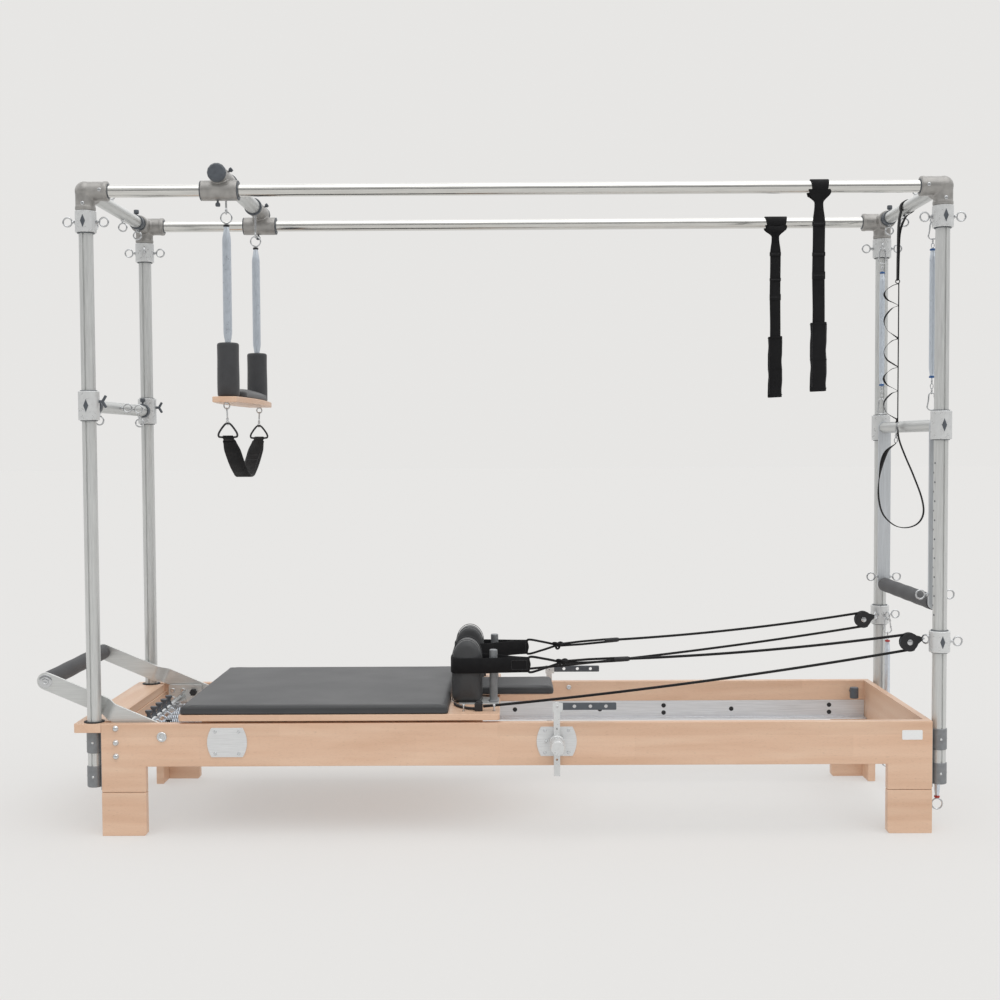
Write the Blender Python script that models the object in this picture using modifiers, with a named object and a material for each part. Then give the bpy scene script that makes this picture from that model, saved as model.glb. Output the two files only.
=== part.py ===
"""Combination pilates reformer: a wooden reformer bed inside a full trapeze frame.

Metres, +Z up. X runs along the bed, the footbar end at -X and the pulley end at +X.
-Y is the near side. All places below are measured from the middle of the bed on the
floor, and the root empty then puts the origin under the middle of the whole machine.
"""
import math

import bmesh
import bpy
from mathutils import Matrix, Vector

# How many flats each size of round piece has. What turns on a pin has a bore of more flats
ROUND = 10
SMALL_ROUND = 7
FINE_ROUND = 5
BORE_ROUND = 16

# Clearances, and how far fused pieces run into each other and cutters run past
FIT = 0.0003
RUN = 0.0005
LINK_GAP = 0.0004
OVERLAP = 0.001
DEEP_OVERLAP = 0.002
CUT_PAST = 0.010

# Bed: two side frames with their legs, two end boards and the foot platform
BED_LENGTH = 2.364
BED_WIDTH = 0.690
RAIL_TOP = 0.322
RAIL_HEIGHT = 0.123
SIDE_THICKNESS = 0.025
END_THICKNESS = 0.020
LEG_WIDTH = 0.127
LEG_RETURN = 0.100
LEG_CHAMFER = 0.006
LEG_INSET = 0.001
PLATFORM_PAST_POST = 0.030
PLATFORM_THICKNESS = 0.025
PLATFORM_LIP = 0.017
PLATFORM_CORNER = 0.010
NOTCH_GAP = 0.010
END_BOARD_STEP = 0.003
PLATE_LENGTH = 0.114
PLATE_HEIGHT = 0.084
PLATE_THICKNESS = 0.003
PLATE_BULGE = 0.012
PLATE_STEPS = 4
PLATE_EMBED = 0.0005
BLANK_PLATE_INSET = 0.360

# Tracks and wheels
TRACK_WEB = 0.058
TRACK_LEDGE = 0.036
TRACK_THICKNESS = 0.004
WHEEL_RADIUS = 0.025
WHEEL_WIDTH = 0.018
AXLE_RADIUS = 0.006
WHEEL_INSET = 0.098
WHEEL_TO_WEB = 0.010

# Trapeze frame
POST_TO_BED = 0.008
POST_INSET = 0.035
POST_RADIUS = 0.020
POST_TAIL = 0.030
TOP_TUBE_Z = 1.832
TOP_TUBE_RADIUS = 0.0175
CROSS_TUBE_RADIUS = 0.019
ELBOW_WALL = 0.0085
ELBOW_DROP = 0.055
ELBOW_REACH = 0.066
SOCKET_DEPTH = 0.030
COLLAR_WALL = 0.0095
TOP_COLLAR_HEIGHT = 0.061
LOW_COLLAR_Z = 0.544
LOW_COLLAR_HEIGHT = 0.061
RIGHT_COLLAR_Z = 1.160
RIGHT_COLLAR_HEIGHT = 0.081
LEFT_COLLAR_Z = 1.2275
LEFT_COLLAR_HEIGHT = 0.083
MID_TUBE_RADIUS = 0.018
CLAMP_WALL = 0.0025
CLAMP_HEIGHT = 0.061
CLAMP_LOW_DROP = 0.1555
CLAMP_HIGH_DROP = 0.057
CLAMP_NECK_WIDTH = 0.024
CLAMP_NECK_INSET = 0.002
POST_PLATE_THICKNESS = 0.006
POST_PLATE_INSET = 0.004
POST_PLATE_PROUD = 0.007
ELBOW_BALL_SWELL = 1.002
ARCH_MIDDLE_EYE = 0.060
ARCH_SIDE_EYE_INSIDE = 0.085
MID_BAR_EYE_INSIDE = 0.095
MID_BAR_SIDE_EYE = 0.060
MID_BAR_EMBED = 0.004

# Ring fittings
EYE_MAJOR = 0.0125
EYE_MINOR = 0.0025
EYE_STANDOFF = 0.022
SHANK_RADIUS = 0.0035
SHANK_EMBED = 0.004

# Footbar
FOOTBAR_PIVOT_INSET = 0.174
FOOTBAR_PIVOT_DROP = 0.037
FOOTBAR_ARM_LENGTH = 0.381
FOOTBAR_ANGLE = math.radians(23.2)
FOOTBAR_ARM_WIDTH = 0.050
FOOTBAR_ARM_THICKNESS = 0.008
FOOTBAR_JOG_DEPTH = 0.031
FOOTBAR_RAIL_GAP = 0.006
FOOTBAR_JOG_START = 0.160
FOOTBAR_JOG_END = 0.198
FOOTBAR_PIN_RADIUS = 0.008
FOOTBAR_PIN_COVER = 0.004
FOOTBAR_BOLT_RADIUS = 0.010
FOOTBAR_BOLT_REACH = 0.004
FOOTBAR_ROD_RADIUS = 0.012
FOOTBAR_FOAM_RADIUS = 0.0235

# Push-through bar. A foam grip stops short of the arms by the foam gap
FOAM_GAP = 0.003
PUSH_ARM_LENGTH = 0.512
PUSH_ARM_WIDTH = 0.040
PUSH_ARM_THICKNESS = 0.008
PUSH_ARM_TO_COLLAR = 0.0105
PUSH_FOAM_RADIUS = 0.0215
PUSH_ROD_RADIUS = 0.012
PUSH_PIN_RADIUS = 0.010
PUSH_PIN_DEPTH = 0.006
PUSH_EYE_RISE = 0.025

# Spring bar
SPRING_BAR_INSET = 0.077
SPRING_BAR_DROP = 0.042
SPRING_BAR_RADIUS = 0.012
SPRING_PLATE_LENGTH = 0.110
SPRING_PLATE_HEIGHT = 0.060
SPRING_PLATE_THICKNESS = 0.006
SPRING_PLATE_TO_ARM = 0.004
SPRING_PLATE_TO_BOARD = 0.012
SPRING_PLATE_BELOW_RAIL = 0.001
SPRING_BOLT_PLACES = (-0.027, 0.007)
SPRING_BOLT_DROP = 0.006
SPRING_BOLT_RADIUS = 0.008
SPRING_PITCH = 0.060
SPRING_COUNT = 5
PEG_HEIGHT = 0.034
PEG_RADIUS = 0.011
PEG_FOOT_RADIUS = 0.0099
PEG_WAIST_RADIUS = 0.0055
PEG_WAIST_HEIGHT = 0.0187
PEG_RISE = 0.004
BED_SPRING_RADIUS = 0.012
BED_SPRING_LENGTH = 0.480
CROSS_ROD_RADIUS = 0.006

# Carriage
CARRIAGE_INSET = 0.220
CARRIAGE_LENGTH = 0.916
CARRIAGE_TO_RAIL = 0.050
CARRIAGE_BOARD_LIFT = 0.0065
CARRIAGE_BOARD_THICKNESS = 0.018
RUNNER_EDGE = 0.019
RUNNER_WIDTH = 0.022
RUNNER_INSET = 0.050
RUNNER_DROP = 0.016
HEADREST_BLOCK_INSETS = (0.004, 0.020)
HEADREST_BLOCK_LENGTH = 0.018
HEADREST_BLOCK_INSIDE = 0.030
CUSHION_LENGTH = 0.7715
CUSHION_THICKNESS = 0.0265
CUSHION_RADIUS = 0.008
CUSHION_CROWN = 0.002
CUSHION_DRAW = 0.003
CUSHION_SETBACK = 0.001
SMALL_PAD_DRAW = 0.003
HEADREST_SETBACK = 0.104
HEADREST_LENGTH = 0.268
HEADREST_TO_PAD = 0.004
HEADREST_THICKNESS = 0.028
HEADREST_LIFT = 0.0065
HEADREST_RADIUS = 0.010
HEADREST_CROWN = 0.003
PAD_SETBACK = 0.0975
PAD_EDGE = 0.125
PAD_LENGTH = 0.086
PAD_WIDTH = 0.094
PAD_HEIGHT = 0.1848
PAD_RADIUS = 0.030
PAD_CROWN = 0.010
BRACKET_THICKNESS = 0.003
BRACKET_STRIP_START = 0.030
BRACKET_STRIP_WIDTH = 0.030
BRACKET_FOOT_INSIDE = 0.006
BRACKET_FOOT_OUTSIDE = 0.013
BRACKET_FOOT_START = 0.018
BRACKET_FOOT_STEP = 0.0004
PAD_ARM_RISE = 0.45
PAD_ARM_HALF_WIDTH = 0.008
PAD_ARM_HALF_HEIGHT = 0.010
PAD_ARM_INTO_POST = 0.008
REST_POST_SETBACK = 0.019
REST_POST_OUTSIDE = 0.019
REST_POST_RADIUS = 0.012
REST_POST_HEIGHT = 0.1585
CLEAT_SETBACK = 0.059
CLEAT_OUTSIDE = 0.025
CLEAT_HEIGHT = 0.029
CLEAT_HALF_LENGTH = 0.010
CLEAT_HALF_WIDTH = 0.011

# Ropes and pulleys
GRIP_PAST_TAIL = 0.008
PULLEY_DROP = 0.010
SHEAVE_RADIUS = 0.0255
GROOVE_DEPTH = 0.0078
SHEAVE_WIDTH = 0.012
GROOVE_FLAT = 0.0068
BLOCK_RIM = 0.002
BLOCK_TAIL_PAST = 0.0045
BLOCK_NECK = 0.014
LINK_MAJOR = 0.0062
LINK_MINOR = 0.0020
CHEEK_THICKNESS = 0.003
CHEEK_GAP = 0.0008
CHEEK_OPENS = 60
CHEEK_CLOSES = 310
NECK_TO_SHEAVE = 0.0011
NECK_INSIDE = 0.0005
LINK_INTO_TAIL = 0.0022
AXLE_PIN_RADIUS = 0.004
ROPE_RADIUS = 0.004
ROPE_START_RISE = 0.0115
LOOP_TIP_REACH = 0.088
LOOP_TIP_OUTSIDE = 0.032
LOOP_RISE = 0.1135
LOOP_HEIGHT = 0.045
LOOP_THICKNESS = 0.004
LOOP_SPREAD = 1.3
LOOP_TO_PAD = 0.003
LOOP_TO_POST = 0.006
LOOP_CORNER = 0.022
LOOP_BACK_CORNER = 0.020
LOOP_THROAT = 0.012
ROPE_INTO_LOOP = 0.0085
ROPE_SAG = 0.012
ROPE_STEPS = 7
WRAP_STEPS = 6

# Trolley and hanging trapeze
TROLLEY_INSET = 0.381
TROLLEY_SLEEVE_LENGTH = 0.104
TROLLEY_TUBE_RISE = 0.043
TROLLEY_TUBE_RADIUS = 0.0225
TROLLEY_SOCKET_RADIUS = 0.0255
TROLLEY_SOCKET_INSIDE = 0.110
TROLLEY_TUBE_PAST = 0.036
TROLLEY_CAP_RADIUS = 0.027
TROLLEY_CAP_LENGTH = 0.014
THUMB_SCREW_SHIFT = 0.002
THUMB_STEM_RADIUS = 0.003
THUMB_STEM_EMBED = 0.003
THUMB_STEM_LENGTH = 0.007
THUMB_KNOB_RADIUS = 0.007
THUMB_KNOB_END = 0.018
HANGER_RADIUS = 0.003
HANGER_EMBED = 0.004
HANGER_INSIDE = 0.084
HANGER_DROP = 0.086
HANGER_EYE_MAJOR = 0.008
RING_MAJOR = 0.016
RING_MINOR = 0.0022
TRAPEZE_COIL_RADIUS = 0.011
TRAPEZE_WIRE_RADIUS = 0.0024
TRAPEZE_COIL_NECK = 0.006
TRAPEZE_NECK_RADIUS = 0.0085
TRAPEZE_NECK_HALF = 0.005
TRAPEZE_COIL_IN_SLEEVE = 0.004
SLEEVE_RADIUS = 0.032
SLEEVE_HEIGHT = 0.1565
TRAPEZE_DROP = 0.5355
SEAT_THICKNESS = 0.017
SEAT_PAST_SPRING = 0.059
SEAT_END_WIDTH = 0.070
SEAT_MID_WIDTH = 0.104
SEAT_PAD_TO_SLEEVE = 0.004
SEAT_PAD_WIDTH = 0.090
SEAT_PAD_THICKNESS = 0.030
SEAT_PAD_RADIUS = 0.009
SEAT_PAD_CROWN = 0.010
SEAT_STEPS = 6
SEAT_EYE_OUTSIDE = 0.028
SEAT_EYE_DROP = 0.010
SEAT_EYE_MAJOR = 0.008
SEAT_EYE_STEM_RADIUS = 0.004
SEAT_EYE_STEM_LENGTH = 0.014
FOOT_STRAP_DROP = 0.1165
FOOT_STRAP_DEPTH = 0.121
FOOT_STRAP_WIDTH = 0.049
FOOT_STRAP_THICKNESS = 0.009
FOOT_STRAP_FLAT = 0.032
FOOT_STRAP_KNEE = 0.120
FOOT_STRAP_KNEE_DROP = 0.077
FOOT_STRAP_TOE_IN = 0.010
TRIANGLE_WIDTH = 0.056
TRIANGLE_HEIGHT = 0.040
TRIANGLE_WIRE_RADIUS = 0.003
TRIANGLE_SHOULDER = 0.008
TRIANGLE_SWELL = 0.002
TRIANGLE_TIP = 0.006
HOOK_WIRE_RADIUS = 0.002
HOOK_REACH = 0.005
HOOK_CROWN = 0.002
HOOK_SHOULDER = 0.003
HOOK_BELOW = 0.004

# Tower springs
SPRING_EYE_TURN = math.radians(13.5)
PULLEY_EYE_TURN = math.radians(30.0)
TOWER_COIL_RADIUS = 0.0072
WIRE_RADIUS = 0.0018
COIL_NECK = 0.0045
COIL_END_LENGTH = 0.008
FERRULE_RADIUS = 0.0068
FERRULE_LENGTH = 0.012
CHAIN_RADIUS = 0.003
UPPER_SPRING_START = 0.0782
UPPER_SPRING_LENGTH = 0.376
UPPER_SPRING_TAIL = 0.088
LOWER_SPRING_START = 0.075
LOWER_SPRING_LENGTH = 0.392
CURLS = 6
CURL_POINTS = 8
CARABINER_LENGTH = 0.048
CARABINER_WIDTH = 0.026

# Hanging straps
LOOP_STRAP_INSET = 0.349
LOOP_STRAP_WIDTH = 0.036
LOOP_STRAP_THICKNESS = 0.0035
LOOP_STRAP_LENGTH = 0.575
LOOP_SLEEVE_LENGTH = 0.195
LOOP_SLEEVE_WIDTH = 0.047
LOOP_SLEEVE_THICKNESS = 0.016
LONG_WRAP_HALF = 0.014
LONG_LEAD_WIDTH = 0.020
LONG_LEAD_BEND = 0.060
LONG_LEAD_BACK = 0.002
LONG_LEAD_FRONT = 0.003
LONG_LEAD_TOP_DROP = 0.012
LONG_TAPE_HALF = 0.0015
LONG_TAPE_HALF_WIDTH = 0.006
LONG_CLIP_BACK = 0.007
LONG_CLIP_FRONT = 0.009
LONG_CLIP_HALF_WIDTH = 0.005
LONG_CLIP_BELOW = 0.010
LONG_CLIP_ABOVE = 0.014
LONG_LOOP_RADIUS = 0.004
LONG_LOOP_POINTS = 22
LONG_STRAP_Y = 0.030
LONG_STRAP_TO_TUBE = 0.030
LONG_STRAP_RING_DROP = 0.227
LONG_STRAP_CLIP_DROP = 0.672
LONG_LOOP_ROUTE = ((0.002, 0.0), (0.018, 0.075), (0.076, 0.225), (0.086, 0.275), (0.046, 0.314),
                   (-0.024, 0.285), (-0.054, 0.205), (-0.044, 0.120), (-0.022, 0.065),
                   (-0.002, 0.0))

# Side levers. The far one hangs a little lower than the near one
LEVER_X = 0.1155
LEVER_DROP = 0.0535
LEVER_BAR_WIDTH = 0.022
LEVER_BAR_THICKNESS = 0.011
LEVER_BAR_TOP = 0.114
LEVER_BAR_BOTTOM = 0.095
LEVER_ARM_LENGTH = 0.157
LEVER_ARM_HEIGHT = 0.020
LEVER_ARM_INSET = 0.001
LEVER_HOLE_RADIUS = 0.006
LEVER_HOLES = (0.050, 0.095, 0.139)
LEVER_RING_RADIUS = 0.0215
LEVER_STUD_RADIUS = 0.006
LEVER_BOSS_RADIUS = 0.013
LEVER_BOSS_REACH = 0.008
LEVER_HUB_REACH = 0.008
LEVER_KNOB_RADIUS = 0.020
LEVER_KNOB_REACH = 0.068
FAR_LEVER_DROP = 0.014

# Worked-out places: the bed, with what its rails carry
HALF_LENGTH = BED_LENGTH / 2
HALF_WIDTH = BED_WIDTH / 2
RAIL_INNER = HALF_WIDTH - SIDE_THICKNESS
RAIL_BOTTOM = RAIL_TOP - RAIL_HEIGHT
BLANK_PLATE_X = -HALF_LENGTH + BLANK_PLATE_INSET
LEVER_Z = RAIL_TOP - LEVER_DROP
LEDGE_TOP = RAIL_BOTTOM + TRACK_THICKNESS
WHEEL_Z = LEDGE_TOP + WHEEL_RADIUS + FIT
FOOTBAR_PIVOT_X = -HALF_LENGTH + FOOTBAR_PIVOT_INSET
FOOTBAR_PIVOT_Z = RAIL_TOP - FOOTBAR_PIVOT_DROP
FOOTBAR_INNER_GAUGE = RAIL_INNER - FOOTBAR_RAIL_GAP - FOOTBAR_ARM_THICKNESS / 2
FOOTBAR_OUTER_GAUGE = FOOTBAR_INNER_GAUGE - FOOTBAR_JOG_DEPTH
FOOTBAR_REACH = FOOTBAR_ARM_LENGTH * math.cos(FOOTBAR_ANGLE) + FOOTBAR_ARM_WIDTH / 2
SPRING_BAR_X = -HALF_LENGTH + SPRING_BAR_INSET
SPRING_BAR_Z = RAIL_TOP - SPRING_BAR_DROP

# The trapeze frame
POST_X = HALF_LENGTH + POST_RADIUS + POST_TO_BED
POST_Y = HALF_WIDTH - POST_INSET
PLATFORM_REACH = POST_X - HALF_LENGTH + POST_RADIUS + PLATFORM_PAST_POST
CLAMP_RADIUS = POST_RADIUS + CLAMP_WALL
CLAMP_LOW_Z = RAIL_TOP - CLAMP_LOW_DROP
CLAMP_HIGH_Z = RAIL_TOP - CLAMP_HIGH_DROP
POST_BOTTOM = CLAMP_LOW_Z - POST_TAIL
POST_TOP = TOP_TUBE_Z - ELBOW_DROP + SOCKET_DEPTH - FIT
ELBOW_RADIUS = POST_RADIUS + ELBOW_WALL
COLLAR_RADIUS = POST_RADIUS + COLLAR_WALL
EYE_REACH = COLLAR_RADIUS + EYE_STANDOFF
TOP_COLLAR_Z = TOP_TUBE_Z - ELBOW_DROP - FIT - TOP_COLLAR_HEIGHT / 2
PUSH_ARM_GAUGE = POST_Y - COLLAR_RADIUS - PUSH_ARM_TO_COLLAR - PUSH_ARM_THICKNESS / 2

# The carriage, its shoulder rests and the ropes
CARRIAGE_FOOT_X = -HALF_LENGTH + CARRIAGE_INSET
CARRIAGE_HEAD_X = CARRIAGE_FOOT_X + CARRIAGE_LENGTH
CARRIAGE_HALF = RAIL_INNER - CARRIAGE_TO_RAIL
CARRIAGE_BOARD_Z = RAIL_TOP + CARRIAGE_BOARD_LIFT
BOARD_TOP = CARRIAGE_BOARD_Z + CARRIAGE_BOARD_THICKNESS
RUNNER_GAUGE = CARRIAGE_HALF - RUNNER_EDGE
CUSHION_HEAD_X = CARRIAGE_FOOT_X + CUSHION_LENGTH
HEADREST_FOOT_X = CARRIAGE_HEAD_X - HEADREST_SETBACK
HEADREST_Z = BOARD_TOP + HEADREST_LIFT
BRACKET_TOP = BOARD_TOP + FIT + BRACKET_THICKNESS
PAD_X = CARRIAGE_HEAD_X - PAD_SETBACK
PAD_GAUGE = CARRIAGE_HALF - PAD_EDGE
HEADREST_HALF = PAD_GAUGE - PAD_WIDTH / 2 - HEADREST_TO_PAD
REST_POST_X = CARRIAGE_HEAD_X - REST_POST_SETBACK
REST_POST_GAUGE = PAD_GAUGE + REST_POST_OUTSIDE
REST_POST_TOP = BOARD_TOP + REST_POST_HEIGHT
CLEAT_X = CARRIAGE_HEAD_X - CLEAT_SETBACK
CLEAT_GAUGE = CARRIAGE_HALF + CLEAT_OUTSIDE
CLEAT_TOP = BOARD_TOP + CLEAT_HEIGHT
PULLEY_Z = LOW_COLLAR_Z - PULLEY_DROP
SHEAVE_GROOVE = SHEAVE_RADIUS - GROOVE_DEPTH
BLOCK_RADIUS = SHEAVE_RADIUS + BLOCK_RIM
BLOCK_TAIL = SHEAVE_RADIUS + BLOCK_TAIL_PAST
ROPE_START_Z = BOARD_TOP + ROPE_START_RISE
LOOP_TIP_X = CARRIAGE_HEAD_X + LOOP_TIP_REACH
LOOP_TIP_GAUGE = PAD_GAUGE + LOOP_TIP_OUTSIDE
LOOP_Z = BOARD_TOP + LOOP_RISE

# What hangs from the top tubes and the collars
TROLLEY_X = -POST_X + TROLLEY_INSET
TROLLEY_TUBE_Z = TOP_TUBE_Z + TROLLEY_TUBE_RISE
TROLLEY_SOCKET_START = POST_Y - TROLLEY_SOCKET_INSIDE
TROLLEY_TUBE_END = POST_Y + TROLLEY_TUBE_PAST
HANGER_GAUGE = POST_Y - HANGER_INSIDE
HANGER_EYE_Z = TROLLEY_TUBE_Z - HANGER_DROP
SEAT_TOP = HANGER_EYE_Z - TRAPEZE_DROP
SLEEVE_TOP = SEAT_TOP + SLEEVE_HEIGHT
SEAT_HALF = HANGER_GAUGE + SEAT_PAST_SPRING
SEAT_PAD_HALF = HANGER_GAUGE - SLEEVE_RADIUS - SEAT_PAD_TO_SLEEVE
SEAT_EYE_GAUGE = HANGER_GAUGE + SEAT_EYE_OUTSIDE
FOOT_STRAP_RING_Z = SEAT_TOP - FOOT_STRAP_DROP
FOOT_STRAP_BOTTOM = FOOT_STRAP_RING_Z - FOOT_STRAP_DEPTH
UPPER_SPRING_TOP = TOP_COLLAR_Z - UPPER_SPRING_START
UPPER_SPRING_BOTTOM = UPPER_SPRING_TOP - UPPER_SPRING_LENGTH
UPPER_SPRING_END = UPPER_SPRING_BOTTOM - UPPER_SPRING_TAIL
LOWER_SPRING_TOP = LOW_COLLAR_Z - LOWER_SPRING_START
LOWER_SPRING_BOTTOM = LOWER_SPRING_TOP - LOWER_SPRING_LENGTH
LOOP_STRAP_X = POST_X - LOOP_STRAP_INSET
LOOP_STRAP_BOTTOM = TOP_TUBE_Z - LOOP_STRAP_LENGTH
LOOP_SLEEVE_TOP = LOOP_STRAP_BOTTOM + LOOP_SLEEVE_LENGTH
LONG_STRAP_X = POST_X - LONG_STRAP_TO_TUBE
LONG_STRAP_RING_Z = TOP_TUBE_Z - LONG_STRAP_RING_DROP
LONG_STRAP_CLIP_Z = TOP_TUBE_Z - LONG_STRAP_CLIP_DROP

# The origin lies under the middle of the whole machine
MACHINE_HEAD_END = POST_X + EYE_REACH + EYE_MAJOR + EYE_MINOR
MACHINE_FOOT_END = FOOTBAR_PIVOT_X - FOOTBAR_REACH
ORIGIN_X = (MACHINE_HEAD_END + MACHINE_FOOT_END) / 2

SIDES = (("near", -1.0), ("far", 1.0))
ENDS = (("foot", -1.0), ("head", 1.0))
X_AXIS = Vector((1, 0, 0))
Y_AXIS = Vector((0, 1, 0))
Z_AXIS = Vector((0, 0, 1))


def clear_scene():
    for obj in list(bpy.data.objects):
        bpy.data.objects.remove(obj, do_unlink=True)


clear_scene()
machine = bpy.data.collections.new("combo_reformer")
bpy.context.scene.collection.children.link(machine)


def material(name, colour, roughness, metallic=0.0):
    finish = bpy.data.materials.new(name)
    finish.use_nodes = True
    shader = finish.node_tree.nodes["Principled BSDF"]
    shader.inputs["Base Color"].default_value = (*colour, 1.0)
    shader.inputs["Roughness"].default_value = roughness
    shader.inputs["Metallic"].default_value = metallic
    return finish


BEECH = material("beech", (0.62, 0.37, 0.22), 0.45)
ALUMINIUM = material("anodised_aluminium", (0.58, 0.60, 0.60), 0.35, 0.8)
STEEL = material("polished_steel", (0.70, 0.68, 0.65), 0.2, 1.0)
CAST_GREY = material("cast_grey", (0.32, 0.32, 0.32), 0.5, 0.5)
SILVER_PAINT = material("silver_paint", (0.55, 0.56, 0.56), 0.45, 0.3)
GREY_PAINT = material("grey_paint", (0.30, 0.31, 0.31), 0.5, 0.2)
ZINC = material("zinc_springs", (0.62, 0.66, 0.70), 0.3, 0.9)
VINYL = material("charcoal_vinyl", (0.045, 0.046, 0.048), 0.55)
FOAM = material("charcoal_foam", (0.05, 0.05, 0.052), 0.85)
WEBBING = material("black_webbing", (0.012, 0.012, 0.014), 0.9)
BLACK_PLASTIC = material("black_plastic", (0.015, 0.015, 0.017), 0.4)


def new_object(name, mesh):
    obj = bpy.data.objects.new(name, mesh)
    machine.objects.link(obj)
    return obj


def from_bmesh(name, shape):
    mesh = bpy.data.meshes.new(name)
    shape.to_mesh(mesh)
    shape.free()
    return new_object(name, mesh)


def box(low, high, name="box"):
    low = Vector(low)
    high = Vector(high)
    shape = bmesh.new()
    bmesh.ops.create_cube(shape, size=1.0)
    bmesh.ops.scale(shape, vec=high - low, verts=shape.verts)
    bmesh.ops.translate(shape, vec=(low + high) / 2, verts=shape.verts)
    return from_bmesh(name, shape)


def rod(start, end, radius, sides=ROUND, end_radius=None, name="rod"):
    start = Vector(start)
    end = Vector(end)
    along = end - start
    turn = Z_AXIS.rotation_difference(along).to_matrix().to_4x4()
    place = Matrix.Translation((start + end) / 2) @ turn
    tip = radius if end_radius is None else end_radius
    shape = bmesh.new()
    bmesh.ops.create_cone(shape, cap_ends=True, segments=sides, radius1=radius,
                          radius2=tip, depth=along.length, matrix=place)
    return from_bmesh(name, shape)


def ball(centre, radius, name="ball"):
    shape = bmesh.new()
    bmesh.ops.create_uvsphere(shape, u_segments=ROUND, v_segments=ROUND // 2, radius=radius,
                              matrix=Matrix.Translation(centre))
    return from_bmesh(name, shape)


def mesh_from(obj):
    """Turn an object with its curve or modifiers into one plain mesh object."""
    graph = bpy.context.evaluated_depsgraph_get()
    mesh = bpy.data.meshes.new_from_object(obj.evaluated_get(graph))
    name = obj.name
    place = obj.matrix_world.copy()
    mesh.transform(place)
    bpy.data.objects.remove(obj, do_unlink=True)
    shape = bmesh.new()
    shape.from_mesh(mesh)
    bmesh.ops.remove_doubles(shape, verts=shape.verts, dist=0.00001)
    shape.to_mesh(mesh)
    shape.free()
    return new_object(name, mesh)


def join(base, *others, how="UNION"):
    """Fuse other solids to a solid, or cut them out of it, and use them up."""
    for other in others:
        step = base.modifiers.new(how.lower(), "BOOLEAN")
        step.operation = how
        step.object = other
        bpy.context.view_layer.update()
        graph = bpy.context.evaluated_depsgraph_get()
        mesh = bpy.data.meshes.new_from_object(base.evaluated_get(graph))
        base.modifiers.clear()
        base.data = mesh
        bpy.data.objects.remove(other, do_unlink=True)
    return base


def cut(base, *others):
    return join(base, *others, how="DIFFERENCE")


def wire(points, radius, closed=False, detail=1, name="wire"):
    """A round tube through the points, with filled ends."""
    curve = bpy.data.curves.new(name, "CURVE")
    curve.dimensions = "3D"
    curve.bevel_depth = radius
    curve.bevel_resolution = detail
    curve.use_fill_caps = not closed
    spline = curve.splines.new("POLY")
    spline.points.add(len(points) - 1)
    for slot, point in zip(spline.points, points):
        slot.co = (*point, 1.0)
    spline.use_cyclic_u = closed
    return mesh_from(new_object(name, curve))


def outline_slab(loops, thickness, place, name="slab"):
    """A flat outline, in its own XY plane, thickened both ways and then placed."""
    curve = bpy.data.curves.new(name, "CURVE")
    curve.dimensions = "2D"
    curve.fill_mode = "BOTH"
    curve.extrude = thickness / 2
    for loop in loops:
        spline = curve.splines.new("POLY")
        spline.points.add(len(loop) - 1)
        for slot, (across, up) in zip(spline.points, loop):
            slot.co = (across, up, 0.0, 1.0)
        spline.use_cyclic_u = True
    obj = new_object(name, curve)
    obj.matrix_world = place
    bpy.context.view_layer.update()
    return mesh_from(obj)


def upright(centre):
    """Outline X stays X and outline Y points up, so the thickness runs along Y."""
    return Matrix.Translation(centre) @ Matrix.Rotation(math.radians(90), 4, "X")


def sideways(centre):
    """Outline X runs along Y and outline Y points up, so the thickness runs along X."""
    turn = Matrix(((0, 0, 1, 0), (1, 0, 0, 0), (0, 1, 0, 0), (0, 0, 0, 1)))
    return Matrix.Translation(centre) @ turn


def arc(centre, radius, start_deg, end_deg, steps):
    points = []
    for step in range(steps + 1):
        angle = math.radians(start_deg + (end_deg - start_deg) * step / steps)
        points.append((centre[0] + radius * math.cos(angle),
                       centre[1] + radius * math.sin(angle)))
    return points


def ring(centre, normal, major, minor, around=8, name="ring"):
    """A closed wire ring, with a corner at its highest and lowest points."""
    normal = Vector(normal).normalized()
    rise = X_AXIS if abs(normal.z) > 0.9 else Z_AXIS
    rise = (rise - normal * rise.dot(normal)).normalized()
    across = normal.cross(rise)
    points = []
    for step in range(around):
        angle = 2 * math.pi * step / around
        points.append(Vector(centre) + (rise * math.cos(angle) + across * math.sin(angle)) * major)
    return wire(points, minor, closed=True, detail=0, name=name)


def eyebolt(root, direction, plane_normal, corners=6):
    """A forged eye on a shank. The root lies on the surface that it screws into."""
    direction = Vector(direction).normalized()
    normal = Vector(plane_normal).normalized()
    side = normal.cross(direction)
    centre = Vector(root) + direction * EYE_STANDOFF
    outer = EYE_MAJOR + EYE_MINOR
    step = 360 / corners
    loop = arc((0, 0), outer, step - 180, 180 - step, corners - 2)
    neck = -math.sqrt(outer ** 2 - SHANK_RADIUS ** 2)
    tail = -EYE_STANDOFF - SHANK_EMBED
    loop += [(neck, SHANK_RADIUS), (tail, SHANK_RADIUS), (tail, -SHANK_RADIUS),
             (neck, -SHANK_RADIUS)]
    hole = arc((0, 0), EYE_MAJOR - EYE_MINOR, 0, 360 - step, corners - 1)
    place = Matrix((direction, side, normal)).transposed().to_4x4()
    place.translation = centre
    return outline_slab([loop, hole], 2 * EYE_MINOR, place)


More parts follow.
